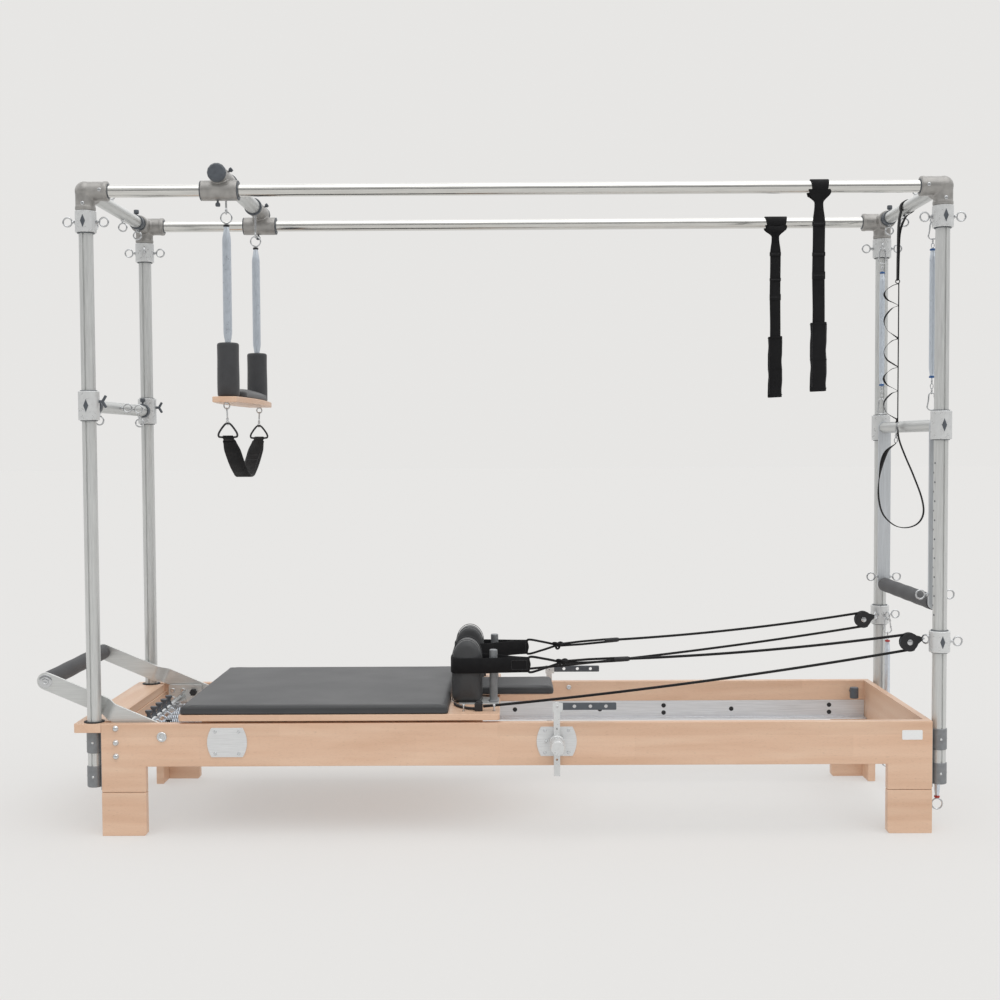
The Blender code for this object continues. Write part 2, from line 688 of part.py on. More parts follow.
def turned(profile, centre, axis, steps=ROUND, name="turned"):
    """A closed profile of (radius, height) turned round an axis through the centre."""
    mesh = bpy.data.meshes.new(name)
    count = len(profile)
    verts = [(radius, 0.0, height) for radius, height in profile]
    edges = [(step, (step + 1) % count) for step in range(count)]
    mesh.from_pydata(verts, edges, [])
    obj = new_object(name, mesh)
    turn = Z_AXIS.rotation_difference(Vector(axis)).to_matrix().to_4x4()
    obj.matrix_world = Matrix.Translation(centre) @ turn
    spin = obj.modifiers.new("turn", "SCREW")
    spin.axis = "Z"
    spin.steps = steps
    spin.render_steps = steps
    spin.use_merge_vertices = True
    spin.merge_threshold = 0.00001
    bpy.context.view_layer.update()
    return mesh_from(obj)


def turning_bore(radius, gap=RUN):
    """The corner radius of a bore whose flats stay clear of a shaft that turns in it."""
    return (radius + gap) / math.cos(math.pi / BORE_ROUND)


def tube_shell(start, end, outer, inner, sides=ROUND):
    shell = rod(start, end, outer, sides)
    along = (Vector(end) - Vector(start)).normalized() * CUT_PAST
    return cut(shell, rod(Vector(start) - along, Vector(end) + along, inner, sides))


def cushion(low, high, radius, crown, draw, cells, name="cushion"):
    """A stuffed block: rounded edges, a crowned top, and sides drawn in between corners."""
    low = Vector(low)
    high = Vector(high)
    centre = (low + high) / 2
    half = (high - low) / 2
    shape = bmesh.new()
    bmesh.ops.create_cube(shape, size=1.0)
    bmesh.ops.scale(shape, vec=half * 2, verts=shape.verts)
    for axis in range(3):
        inner = half[axis] - radius
        marks = [-inner, inner]
        count = cells[axis]
        marks += [inner * (2 * step / count - 1) for step in range(1, count)]
        for mark in marks:
            normal = Vector((0, 0, 0))
            normal[axis] = 1.0
            bmesh.ops.bisect_plane(shape, geom=shape.verts[:] + shape.edges[:] + shape.faces[:],
                                   plane_co=normal * mark, plane_no=normal)
    for vert in shape.verts:
        core = Vector([max(-half[axis] + radius, min(half[axis] - radius, vert.co[axis]))
                       for axis in range(3)])
        away = vert.co - core
        vert.co = core + away.normalized() * radius
        along = vert.co.x / half.x
        across = vert.co.y / half.y
        rise = max(0.0, vert.co.z / half.z)
        vert.co.z -= crown * rise * (1 - (1 - along ** 2) * (1 - across ** 2))
        vert.co.x -= draw * math.copysign(along ** 4, along) * (1 - across ** 2)
        vert.co.y -= draw * math.copysign(across ** 4, across) * (1 - along ** 2)
        vert.co += centre
    return from_bmesh(name, shape)


def smooth_points(points, count):
    """Evenly spaced points on the smooth curve through the given ones."""
    points = [Vector(point) for point in points]
    ends = [points[0] * 2 - points[1]] + points + [points[-1] * 2 - points[-2]]
    dense = []
    for step in range(1, len(ends) - 2):
        before, here, there, after = ends[step - 1:step + 3]
        for part in range(12):
            t = part / 12
            dense.append(0.5 * (2 * here + (there - before) * t
                                + (2 * before - 5 * here + 4 * there - after) * t ** 2
                                + (3 * here - before - 3 * there + after) * t ** 3))
    dense.append(points[-1])
    lengths = [0.0]
    for first, second in zip(dense, dense[1:]):
        lengths.append(lengths[-1] + (second - first).length)
    result = []
    place = 0
    for step in range(count):
        want = lengths[-1] * step / (count - 1)
        while place < len(dense) - 2 and lengths[place + 1] < want:
            place += 1
        span = lengths[place + 1] - lengths[place]
        result.append(dense[place].lerp(dense[place + 1], (want - lengths[place]) / span))
    return result


def empty(name, place, parent=None):
    marker = bpy.data.objects.new(name, None)
    machine.objects.link(marker)
    marker.empty_display_size = 0.05
    marker["place"] = list(place)
    marker.location = Vector(place)
    if parent is not None:
        marker.parent = parent
        marker.location = Vector(place) - Vector(parent["place"])
    return marker


root = empty("machine_root", (0, 0, 0))
root.location.x = -ORIGIN_X


def finish(obj, name, surface, parent=root, round_edges=True):
    """Name a finished piece, give it its finish, and hang it on its empty."""
    obj.name = name
    obj.data.name = name
    obj.data.materials.clear()
    obj.data.materials.append(surface)
    pivot = Vector(parent["place"])
    obj.data.transform(Matrix.Translation(-pivot))
    obj.parent = parent
    if round_edges:
        obj.data.shade_smooth()
        obj.data.set_sharp_from_angle(angle=math.radians(35))
    return obj


# Side frames: a rail board with a leg at each end, and the legs' returns across the ends
def bulged_plate(centre):
    half_l = PLATE_LENGTH / 2 - PLATE_BULGE
    half_h = PLATE_HEIGHT / 2
    loop = []
    for way in (1, -1):
        for step in range(PLATE_STEPS + 1):
            share = way * (2 * step / PLATE_STEPS - 1)
            loop.append((way * (half_l + PLATE_BULGE * (1 - share ** 2)), half_h * share))
    return outline_slab([loop], PLATE_THICKNESS, upright(centre))


def side_frame(side, sign):
    mid = sign * (HALF_WIDTH - SIDE_THICKNESS / 2)
    inner_leg = HALF_LENGTH - LEG_WIDTH
    profile = [(-HALF_LENGTH, 0), (-inner_leg - LEG_CHAMFER, 0), (-inner_leg, LEG_CHAMFER),
               (-inner_leg, RAIL_BOTTOM), (inner_leg, RAIL_BOTTOM), (inner_leg, LEG_CHAMFER),
               (inner_leg + LEG_CHAMFER, 0), (HALF_LENGTH, 0), (HALF_LENGTH, RAIL_TOP),
               (-HALF_LENGTH, RAIL_TOP)]
    frame = outline_slab([profile], SIDE_THICKNESS, upright((0, mid, 0)))
    inner = sign * (RAIL_INNER + OVERLAP)
    outer = sign * (HALF_WIDTH - LEG_RETURN)
    for end in (-1, 1):
        inside = end * (HALF_LENGTH - SIDE_THICKNESS)
        outside = end * (HALF_LENGTH - LEG_INSET)
        low = (min(inside, outside), min(inner, outer), LEG_INSET)
        high = (max(inside, outside), max(inner, outer), RAIL_BOTTOM - FIT)
        join(frame, box(low, high))
    plate_y = sign * (HALF_WIDTH + PLATE_THICKNESS / 2 - PLATE_EMBED)
    join(frame, bulged_plate((BLANK_PLATE_X, plate_y, LEVER_Z)))
    pin_from = (FOOTBAR_PIVOT_X, sign * (RAIL_INNER - CUT_PAST), FOOTBAR_PIVOT_Z)
    pin_to = (FOOTBAR_PIVOT_X, sign * (HALF_WIDTH - FOOTBAR_PIN_COVER), FOOTBAR_PIVOT_Z)
    cut(frame, rod(pin_from, pin_to, turning_bore(FOOTBAR_PIN_RADIUS), BORE_ROUND))
    finish(frame, "side_frame_" + side, BEECH, round_edges=False)


for side, sign in SIDES:
    side_frame(side, sign)


# Foot end: an end board with the platform glued over it, bored for the posts
def foot_end_deck():
    inner = RAIL_INNER - FIT
    notch = RAIL_INNER - FOOTBAR_RAIL_GAP - FOOTBAR_ARM_THICKNESS - NOTCH_GAP
    shoulder = -HALF_LENGTH - FIT
    lip = -HALF_LENGTH + PLATFORM_LIP
    edge = -HALF_LENGTH - PLATFORM_REACH
    corner = PLATFORM_CORNER
    outline = [(edge + corner, -HALF_WIDTH), (shoulder, -HALF_WIDTH), (shoulder, -notch),
               (lip, -notch), (lip, notch), (shoulder, notch), (shoulder, HALF_WIDTH),
               (edge + corner, HALF_WIDTH), (edge, HALF_WIDTH - corner),
               (edge, -HALF_WIDTH + corner)]
    mid_z = RAIL_TOP - PLATFORM_THICKNESS / 2
    deck = outline_slab([outline], PLATFORM_THICKNESS, Matrix.Translation((0, 0, mid_z)))
    board_top = RAIL_TOP - PLATFORM_THICKNESS + OVERLAP
    join(deck, box((-HALF_LENGTH, -notch, RAIL_BOTTOM),
                   (-HALF_LENGTH + END_THICKNESS, notch, board_top)))
    join(deck, box((-HALF_LENGTH, -inner, RAIL_BOTTOM),
                   (-HALF_LENGTH + END_THICKNESS, inner, board_top - END_BOARD_STEP)))
    for _, sign in SIDES:
        hole_low = (-POST_X, sign * POST_Y, RAIL_TOP - PLATFORM_THICKNESS - CUT_PAST)
        hole_high = (-POST_X, sign * POST_Y, RAIL_TOP + CUT_PAST)
        cut(deck, rod(hole_low, hole_high, POST_RADIUS + FIT, ROUND))
    finish(deck, "foot_end_deck", BEECH, round_edges=False)


foot_end_deck()
head_board = box((HALF_LENGTH - END_THICKNESS, -RAIL_INNER + FIT, RAIL_BOTTOM),
                 (HALF_LENGTH, RAIL_INNER - FIT, RAIL_TOP))
finish(head_board, "head_end_board", BEECH, round_edges=False)


# Tracks: an aluminium angle along each rail, whose ledge carries the wheels
def track(side, sign):
    outer = RAIL_INNER - FIT
    profile = [(outer, RAIL_BOTTOM), (outer, RAIL_BOTTOM + TRACK_WEB),
               (outer - TRACK_THICKNESS, RAIL_BOTTOM + TRACK_WEB),
               (outer - TRACK_THICKNESS, LEDGE_TOP), (outer - TRACK_LEDGE, LEDGE_TOP),
               (outer - TRACK_LEDGE, RAIL_BOTTOM)]
    profile = [(sign * across, up) for across, up in profile]
    length = BED_LENGTH - 2 * END_THICKNESS - 2 * FIT
    finish(outline_slab([profile], length, sideways((0, 0, 0))), "track_" + side, ALUMINIUM,
           round_edges=False)


for side, sign in SIDES:
    track(side, sign)


# Posts: a round tube, with the plate and two round clamps that bolt it to the bed
def post(end, direction, side, sign):
    x = direction * POST_X
    y = sign * POST_Y
    tube = rod((x, y, POST_BOTTOM), (x, y, POST_TOP), POST_RADIUS, ROUND)
    plate_face = direction * (HALF_LENGTH + FIT)
    plate_back = plate_face + direction * POST_PLATE_THICKNESS
    for height in (CLAMP_LOW_Z, CLAMP_HIGH_Z):
        foot = height - CLAMP_HEIGHT / 2
        head = height + CLAMP_HEIGHT / 2
        join(tube, rod((x, y, foot), (x, y, head), CLAMP_RADIUS, ROUND))
        neck_from = plate_back - direction * OVERLAP
        neck_low = (min(neck_from, x), y - CLAMP_NECK_WIDTH / 2, foot + CLAMP_NECK_INSET)
        neck_high = (max(neck_from, x), y + CLAMP_NECK_WIDTH / 2, head - CLAMP_NECK_INSET)
        join(tube, box(neck_low, neck_high))
    plate_half = CLAMP_RADIUS - POST_PLATE_INSET
    plate_low = (min(plate_face, plate_back), y - plate_half,
                 CLAMP_LOW_Z - CLAMP_HEIGHT / 2 - POST_PLATE_PROUD)
    plate_high = (max(plate_face, plate_back), y + plate_half,
                  CLAMP_HIGH_Z + CLAMP_HEIGHT / 2 - CLAMP_NECK_INSET)
    join(tube, box(plate_low, plate_high))
    finish(tube, "post_" + end + "_" + side, ALUMINIUM)


for end, direction in ENDS:
    for side, sign in SIDES:
        post(end, direction, side, sign)


# Top arches: a cross tube with a cast three-way elbow on each end
def top_arch(end, direction):
    x = direction * POST_X
    z = TOP_TUBE_Z
    arch = rod((x, -POST_Y, z), (x, POST_Y, z), CROSS_TUBE_RADIUS, ROUND)
    for _, sign in SIDES:
        y = sign * POST_Y
        join(arch, rod((x, y, z - ELBOW_DROP), (x, y, z), ELBOW_RADIUS, ROUND))
        join(arch, rod((x, y, z), (x - direction * ELBOW_REACH, y, z), ELBOW_RADIUS, ROUND))
        join(arch, rod((x, y, z), (x, y - sign * ELBOW_REACH, z), ELBOW_RADIUS, ROUND))
        join(arch, ball((x, y, z), ELBOW_RADIUS * ELBOW_BALL_SWELL))
        cut(arch, rod((x, y, z - ELBOW_DROP - CUT_PAST), (x, y, z - ELBOW_DROP + SOCKET_DEPTH),
                      POST_RADIUS + FIT, ROUND))
        mouth = x - direction * (ELBOW_REACH + CUT_PAST)
        bottom = x - direction * (ELBOW_REACH - SOCKET_DEPTH)
        cut(arch, rod((mouth, y, z), (bottom, y, z), TOP_TUBE_RADIUS + FIT, ROUND))
    for place in (ARCH_MIDDLE_EYE, POST_Y - ARCH_SIDE_EYE_INSIDE):
        join(arch, eyebolt((x, place, z - CROSS_TUBE_RADIUS), (0, 0, -1), Y_AXIS))
    finish(arch, end + "_top_arch", CAST_GREY)


for end, direction in ENDS:
    top_arch(end, direction)

for side, sign in SIDES:
    half = POST_X - ELBOW_REACH + SOCKET_DEPTH - FIT
    tube = rod((-half, sign * POST_Y, TOP_TUBE_Z), (half, sign * POST_Y, TOP_TUBE_Z),
               TOP_TUBE_RADIUS, ROUND)
    finish(tube, "top_tube_" + side, STEEL)


# Collars: rings of bored aluminium on the posts, with their eyebolts
def collar(x, y, z, height, bore):
    return tube_shell((x, y, z - height / 2), (x, y, z + height / 2), COLLAR_RADIUS, bore)


def eye_place(x, sign, turn):
    """The middle of an eyebolt's ring that points inboard, turned towards the bed."""
    return Vector((x - EYE_REACH * math.sin(turn),
                   sign * (POST_Y - EYE_REACH * math.cos(turn)), 0))


def inboard_eyebolt(x, sign, z, turn):
    direction = Vector((-math.sin(turn), -sign * math.cos(turn), 0))
    surface = Vector((x, sign * POST_Y, z)) + direction * COLLAR_RADIUS
    side_normal = direction.cross(Z_AXIS)
    return eyebolt(surface, direction, side_normal, 8)


def outward_eyebolts(x, y, z, directions=(-1, 1)):
    bolts = []
    for way in directions:
        bolts.append(eyebolt((x + way * COLLAR_RADIUS, y, z), (way, 0, 0), Y_AXIS))
    return bolts


for end, direction in ENDS:
    for side, sign in SIDES:
        x = direction * POST_X
        y = sign * POST_Y
        piece = collar(x, y, TOP_COLLAR_Z, TOP_COLLAR_HEIGHT, POST_RADIUS + FIT)
        join(piece, *outward_eyebolts(x, y, TOP_COLLAR_Z))
        join(piece, inboard_eyebolt(x, sign, TOP_COLLAR_Z, direction * SPRING_EYE_TURN))
        finish(piece, "top_collar_" + end + "_" + side, SILVER_PAINT)

for side, sign in SIDES:
    y = sign * POST_Y
    piece = collar(POST_X, y, LOW_COLLAR_Z, LOW_COLLAR_HEIGHT, POST_RADIUS + FIT)
    join(piece, *outward_eyebolts(POST_X, y, LOW_COLLAR_Z, (1,)))
    join(piece, inboard_eyebolt(POST_X, sign, LOW_COLLAR_Z, PULLEY_EYE_TURN))
    join(piece, inboard_eyebolt(POST_X, sign, LOW_COLLAR_Z, -SPRING_EYE_TURN))
    finish(piece, "low_collar_" + side, SILVER_PAINT)

    piece = collar(POST_X, y, RIGHT_COLLAR_Z, RIGHT_COLLAR_HEIGHT, POST_RADIUS + FIT)
    mouth = sign * (POST_Y - COLLAR_RADIUS - CUT_PAST)
    seat = sign * (POST_Y - COLLAR_RADIUS + PUSH_PIN_DEPTH + RUN)
    cut(piece, rod((POST_X, mouth, RIGHT_COLLAR_Z), (POST_X, seat, RIGHT_COLLAR_Z),
                   turning_bore(PUSH_PIN_RADIUS), BORE_ROUND))
    finish(piece, "right_mid_collar_" + side, SILVER_PAINT)

# Left mid bar: two sliding collars with a cross tube, clamped to the posts by wing screws
left_bar_axis = empty("left_mid_bar_slide", (-POST_X, 0, LEFT_COLLAR_Z), root)
left_bar_half = POST_Y - COLLAR_RADIUS + MID_BAR_EMBED
left_bar = rod((-POST_X, -left_bar_half, LEFT_COLLAR_Z), (-POST_X, left_bar_half, LEFT_COLLAR_Z),
               MID_TUBE_RADIUS, ROUND)
for side, sign in SIDES:
    y = sign * POST_Y
    join(left_bar, collar(-POST_X, y, LEFT_COLLAR_Z, LEFT_COLLAR_HEIGHT, POST_RADIUS + RUN))
    low_eye_y = sign * (POST_Y - MID_BAR_EYE_INSIDE)
    join(left_bar, eyebolt((-POST_X, low_eye_y, LEFT_COLLAR_Z - MID_TUBE_RADIUS), (0, 0, -1),
                           Y_AXIS))
    join(left_bar, eyebolt((-POST_X + MID_TUBE_RADIUS, sign * MID_BAR_SIDE_EYE, LEFT_COLLAR_Z),
                           (1, 0, 0), Y_AXIS))
finish(left_bar, "left_mid_bar", SILVER_PAINT, left_bar_axis)

# Push-through bar: two flat arms under a cross tube, with a foam grip between their ends
push_axis = empty("push_through_hinge", (POST_X, 0, RIGHT_COLLAR_Z), root)
push_grip_z = RIGHT_COLLAR_Z - PUSH_ARM_LENGTH
push_inner = PUSH_ARM_GAUGE - PUSH_ARM_THICKNESS / 2
push_outer = PUSH_ARM_GAUGE + PUSH_ARM_THICKNESS / 2
push_tube_half = push_inner + DEEP_OVERLAP
push_frame = rod((POST_X, -push_tube_half, RIGHT_COLLAR_Z),
                 (POST_X, push_tube_half, RIGHT_COLLAR_Z), MID_TUBE_RADIUS, ROUND)
join(push_frame, rod((POST_X, -push_tube_half, push_grip_z),
                     (POST_X, push_tube_half, push_grip_z), PUSH_ROD_RADIUS, ROUND))
for side, sign in SIDES:
    half = PUSH_ARM_WIDTH / 2
    arm_loop = arc((0, 0), half, 0, 180, 8) + arc((0, -PUSH_ARM_LENGTH), half, 180, 360, 8)
    arm = outline_slab([arm_loop], PUSH_ARM_THICKNESS,
                       upright((POST_X, sign * PUSH_ARM_GAUGE, RIGHT_COLLAR_Z)))
    eye_z = push_grip_z + PUSH_EYE_RISE
    pin_end = POST_Y - COLLAR_RADIUS + PUSH_PIN_DEPTH
    join(arm, rod((POST_X, sign * (push_outer - DEEP_OVERLAP), RIGHT_COLLAR_Z),
                  (POST_X, sign * pin_end, RIGHT_COLLAR_Z), PUSH_PIN_RADIUS, ROUND))
    for way in (-1, 1):
        join(arm, eyebolt((POST_X + way * half, sign * PUSH_ARM_GAUGE, eye_z), (way, 0, 0),
                          Y_AXIS))
    join(push_frame, arm)
finish(push_frame, "push_bar_frame", GREY_PAINT, push_axis)
foam_half = push_inner - FOAM_GAP
push_foam = tube_shell((POST_X, -foam_half, push_grip_z), (POST_X, foam_half, push_grip_z),
                       PUSH_FOAM_RADIUS, PUSH_ROD_RADIUS + FIT)
finish(push_foam, "push_bar_foam", FOAM, push_axis)

# Footbar: two cranked flat arms on pins in the side frames, with a foam roller
footbar_axis = empty("footbar_hinge", (FOOTBAR_PIVOT_X, 0, FOOTBAR_PIVOT_Z), root)
lift_footbar = (Matrix.Translation((FOOTBAR_PIVOT_X, 0, FOOTBAR_PIVOT_Z))
                @ Matrix.Rotation(FOOTBAR_ANGLE, 4, "Y"))


def footbar_arm(sign):
    inner = FOOTBAR_INNER_GAUGE
    outer = FOOTBAR_OUTER_GAUGE
    half = FOOTBAR_ARM_THICKNESS / 2
    radius = FOOTBAR_ARM_WIDTH / 2
    path = [(0.0, inner), (-FOOTBAR_JOG_START, inner), (-FOOTBAR_JOG_END, outer),
            (-FOOTBAR_ARM_LENGTH, outer)]
    loop = [(x, sign * (y + half)) for x, y in path]
    loop += [(x, sign * (y - half)) for x, y in reversed(path)]
    arm = outline_slab([loop], FOOTBAR_ARM_WIDTH, Matrix.Identity(4))
    for place, gauge in ((0.0, inner), (-FOOTBAR_ARM_LENGTH, outer)):
        join(arm, rod((place, sign * (gauge - half), 0), (place, sign * (gauge + half), 0),
                      radius, ROUND))
    tip = -FOOTBAR_ARM_LENGTH
    bolt_end = outer + half + FOOTBAR_BOLT_REACH
    join(arm, rod((tip, sign * (outer + half - OVERLAP), 0), (tip, sign * bolt_end, 0),
                  FOOTBAR_BOLT_RADIUS, SMALL_ROUND))
    pin_end = HALF_WIDTH - FOOTBAR_PIN_COVER - RUN
    join(arm, rod((0, sign * (inner + half - OVERLAP), 0), (0, sign * pin_end, 0),
                  FOOTBAR_PIN_RADIUS, ROUND))
    return arm


footbar = rod((-FOOTBAR_ARM_LENGTH, -FOOTBAR_OUTER_GAUGE, 0),
              (-FOOTBAR_ARM_LENGTH, FOOTBAR_OUTER_GAUGE, 0), FOOTBAR_ROD_RADIUS, ROUND)
join(footbar, footbar_arm(-1.0), footbar_arm(1.0))
footbar.data.transform(lift_footbar)
finish(footbar, "footbar_frame", SILVER_PAINT, footbar_axis)
roller_half = FOOTBAR_OUTER_GAUGE - FOOTBAR_ARM_THICKNESS / 2 - FOAM_GAP
roller = tube_shell((-FOOTBAR_ARM_LENGTH, -roller_half, 0),
                    (-FOOTBAR_ARM_LENGTH, roller_half, 0),
                    FOOTBAR_FOAM_RADIUS, FOOTBAR_ROD_RADIUS + FIT)
roller.data.transform(lift_footbar)
finish(roller, "footbar_foam", FOAM, footbar_axis)


# Spring bar: a round bar between two end plates, with a peg for each carriage spring
def spring_places():
    return [SPRING_PITCH * (step - (SPRING_COUNT - 1) / 2) for step in range(SPRING_COUNT)]


def spring_bar():
    plate_y = RAIL_INNER - FOOTBAR_RAIL_GAP - FOOTBAR_ARM_THICKNESS - SPRING_PLATE_TO_ARM
    bar = rod((SPRING_BAR_X, -plate_y, SPRING_BAR_Z), (SPRING_BAR_X, plate_y, SPRING_BAR_Z),
              SPRING_BAR_RADIUS, SMALL_ROUND)
    for _, sign in SIDES:
        face = sign * plate_y
        back = sign * (plate_y - SPRING_PLATE_THICKNESS)
        foot = -HALF_LENGTH + END_THICKNESS + FIT + SPRING_PLATE_TO_BOARD
        low = (foot, min(face, back), RAIL_TOP - SPRING_PLATE_HEIGHT)
        high = (foot + SPRING_PLATE_LENGTH, max(face, back), RAIL_TOP - SPRING_PLATE_BELOW_RAIL)
        join(bar, box(low, high))
        bolt_z = SPRING_BAR_Z - SPRING_BOLT_DROP
        for place in SPRING_BOLT_PLACES:
            bolt_x = SPRING_BAR_X + place
            join(bar, rod((bolt_x, sign * (plate_y - DEEP_OVERLAP), bolt_z),
                          (bolt_x, sign * (RAIL_INNER - FIT), bolt_z), SPRING_BOLT_RADIUS,
                          FINE_ROUND))
    for place in spring_places():
        profile = [(0.0, PEG_HEIGHT), (PEG_RADIUS, PEG_HEIGHT),
                   (PEG_WAIST_RADIUS, PEG_WAIST_HEIGHT), (PEG_FOOT_RADIUS, 0.0), (0.0, 0.0)]
        foot = (SPRING_BAR_X, place, SPRING_BAR_Z + PEG_RISE)
        join(bar, turned(profile, foot, Z_AXIS, SMALL_ROUND))
    finish(bar, "spring_bar", ALUMINIUM)


spring_bar()


# Carriage: a board on two runners, whose axles carry the wheels
carriage_axis = empty("carriage_slide", (CARRIAGE_FOOT_X, 0, WHEEL_Z), root)
wheel_places = (("foot", CARRIAGE_FOOT_X + WHEEL_INSET), ("head", CARRIAGE_HEAD_X - WHEEL_INSET))


def carriage_board():
    half = CARRIAGE_HALF
    board = box((CARRIAGE_FOOT_X, -HALF_WIDTH, CARRIAGE_BOARD_Z),
                (CARRIAGE_HEAD_X, HALF_WIDTH, BOARD_TOP))
    for _, sign in SIDES:
        y = sign * RUNNER_GAUGE
        low = (CARRIAGE_FOOT_X + RUNNER_INSET, y - RUNNER_WIDTH / 2, WHEEL_Z - RUNNER_DROP)
        high = (CARRIAGE_HEAD_X - RUNNER_INSET, y + RUNNER_WIDTH / 2,
                CARRIAGE_BOARD_Z + DEEP_OVERLAP)
        join(board, box(low, high))
    for _, x in wheel_places:
        cut(board, rod((x, -half, WHEEL_Z), (x, half, WHEEL_Z), turning_bore(AXLE_RADIUS),
                       BORE_ROUND))
    foot_inset, head_inset = HEADREST_BLOCK_INSETS
    block_half = HEADREST_HALF - HEADREST_BLOCK_INSIDE
    for x in (HEADREST_FOOT_X + foot_inset, CARRIAGE_HEAD_X - head_inset):
        join(board, box((x, -block_half, BOARD_TOP - DEEP_OVERLAP),
                        (x + HEADREST_BLOCK_LENGTH, block_half, HEADREST_Z - FIT)))
    return board


finish(carriage_board(), "carriage_board", BEECH, carriage_axis, round_edges=False)

for end, x in wheel_places:
    spin = empty("wheelset_" + end + "_spin", (x, 0, WHEEL_Z), carriage_axis)
    outer = RAIL_INNER - FIT - TRACK_THICKNESS - WHEEL_TO_WEB
    axle = rod((x, -outer, WHEEL_Z), (x, outer, WHEEL_Z), AXLE_RADIUS, SMALL_ROUND)
    for _, sign in SIDES:
        join(axle, rod((x, sign * (outer - WHEEL_WIDTH), WHEEL_Z),
                       (x, sign * (outer - OVERLAP), WHEEL_Z), WHEEL_RADIUS, ROUND))
    finish(axle, "wheelset_" + end, GREY_PAINT, spin)

main_pad = cushion((CARRIAGE_FOOT_X + CUSHION_SETBACK, -HALF_WIDTH, BOARD_TOP + FIT),
                   (CUSHION_HEAD_X, HALF_WIDTH, BOARD_TOP + FIT + CUSHION_THICKNESS),
                   CUSHION_RADIUS, CUSHION_CROWN, CUSHION_DRAW, (6, 4, 1))
finish(main_pad, "carriage_cushion", VINYL, carriage_axis)

headrest_axis = empty("headrest_hinge", (HEADREST_FOOT_X, 0, HEADREST_Z), carriage_axis)
headrest = cushion((HEADREST_FOOT_X, -HEADREST_HALF, HEADREST_Z),
                   (HEADREST_FOOT_X + HEADREST_LENGTH, HEADREST_HALF,
                    HEADREST_Z + HEADREST_THICKNESS), HEADREST_RADIUS, HEADREST_CROWN,
                   SMALL_PAD_DRAW, (4, 4, 1))
finish(headrest, "headrest", VINYL, headrest_axis)


# Shoulder rests: one steel plate with a post and a foot plate on each side, and a strip out
# to each rope cleat
def shoulder_bracket():
    low_z = BOARD_TOP + FIT
    strip_foot = HEADREST_FOOT_X + BRACKET_STRIP_START
    bracket = box((strip_foot, -CLEAT_GAUGE, low_z),
                  (strip_foot + BRACKET_STRIP_WIDTH, CLEAT_GAUGE, BRACKET_TOP))
    for _, sign in SIDES:
        inner = sign * (PAD_GAUGE - PAD_WIDTH / 2 - BRACKET_FOOT_INSIDE)
        outer = sign * (PAD_GAUGE + PAD_WIDTH / 2 + BRACKET_FOOT_OUTSIDE)
        low = (PAD_X - PAD_LENGTH / 2 + BRACKET_FOOT_START, min(inner, outer), low_z)
        high = (CARRIAGE_HEAD_X - OVERLAP, max(inner, outer), BRACKET_TOP - BRACKET_FOOT_STEP)
        join(bracket, box(low, high))
        post_y = sign * REST_POST_GAUGE
        join(bracket, rod((REST_POST_X, post_y, low_z + OVERLAP),
                          (REST_POST_X, post_y, REST_POST_TOP), REST_POST_RADIUS, ROUND))
        cleat_y = sign * CLEAT_GAUGE
        join(bracket, box((CLEAT_X - CLEAT_HALF_LENGTH, cleat_y - CLEAT_HALF_WIDTH,
                           low_z + OVERLAP),
                          (CLEAT_X + CLEAT_HALF_LENGTH, cleat_y + CLEAT_HALF_WIDTH, CLEAT_TOP)))
        arm_z = BRACKET_TOP + PAD_HEIGHT * PAD_ARM_RISE
        arm_end = REST_POST_X - REST_POST_RADIUS + PAD_ARM_INTO_POST
        join(bracket, box((PAD_X + PAD_LENGTH / 2 + FIT, post_y - PAD_ARM_HALF_WIDTH,
                           arm_z - PAD_ARM_HALF_HEIGHT),
                          (arm_end, post_y + PAD_ARM_HALF_WIDTH, arm_z + PAD_ARM_HALF_HEIGHT)))
    return bracket


finish(shoulder_bracket(), "shoulder_rest_bracket", GREY_PAINT, carriage_axis)

for side, sign in SIDES:
    y = sign * PAD_GAUGE
    low = (PAD_X - PAD_LENGTH / 2, y - PAD_WIDTH / 2, BRACKET_TOP + FIT)
    high = (PAD_X + PAD_LENGTH / 2, y + PAD_WIDTH / 2, BRACKET_TOP + FIT + PAD_HEIGHT)
    pad = cushion(low, high, PAD_RADIUS, PAD_CROWN, SMALL_PAD_DRAW, (2, 2, 3))
    finish(pad, "shoulder_pad_" + side, VINYL, carriage_axis)


# Carriage springs: five plain springs under the board, hooked on one cross rod
def carriage_springs():
    hooked = SPRING_BAR_X + SPRING_BAR_RADIUS + FIT
    far_end = hooked + BED_SPRING_LENGTH
    reach = RUNNER_GAUGE - RUNNER_WIDTH / 2 - FIT
    springs = rod((far_end, -reach, SPRING_BAR_Z), (far_end, reach, SPRING_BAR_Z),
                  CROSS_ROD_RADIUS, SMALL_ROUND)
    for place in spring_places():
        join(springs, rod((hooked, place, SPRING_BAR_Z),
                          (far_end + DEEP_OVERLAP, place, SPRING_BAR_Z),
                          BED_SPRING_RADIUS, SMALL_ROUND))
    return springs


finish(carriage_springs(), "carriage_spring_set", ZINC, carriage_axis)


# Pulleys: a grooved sheave in a block whose tail links through the low collar's eye
def pulley_grip(sign):
    """The middle of the wire of the low collar's eye, which the pulley's link goes round."""
    eye = eye_place(POST_X, sign, PULLEY_EYE_TURN)
    away = Vector((-math.sin(PULLEY_EYE_TURN), -sign * math.cos(PULLEY_EYE_TURN), 0))
    return eye + away * EYE_MAJOR


def pulley_centre(sign):
    grip = pulley_grip(sign)
    return Vector((grip.x - BLOCK_TAIL - GRIP_PAST_TAIL, grip.y, PULLEY_Z))


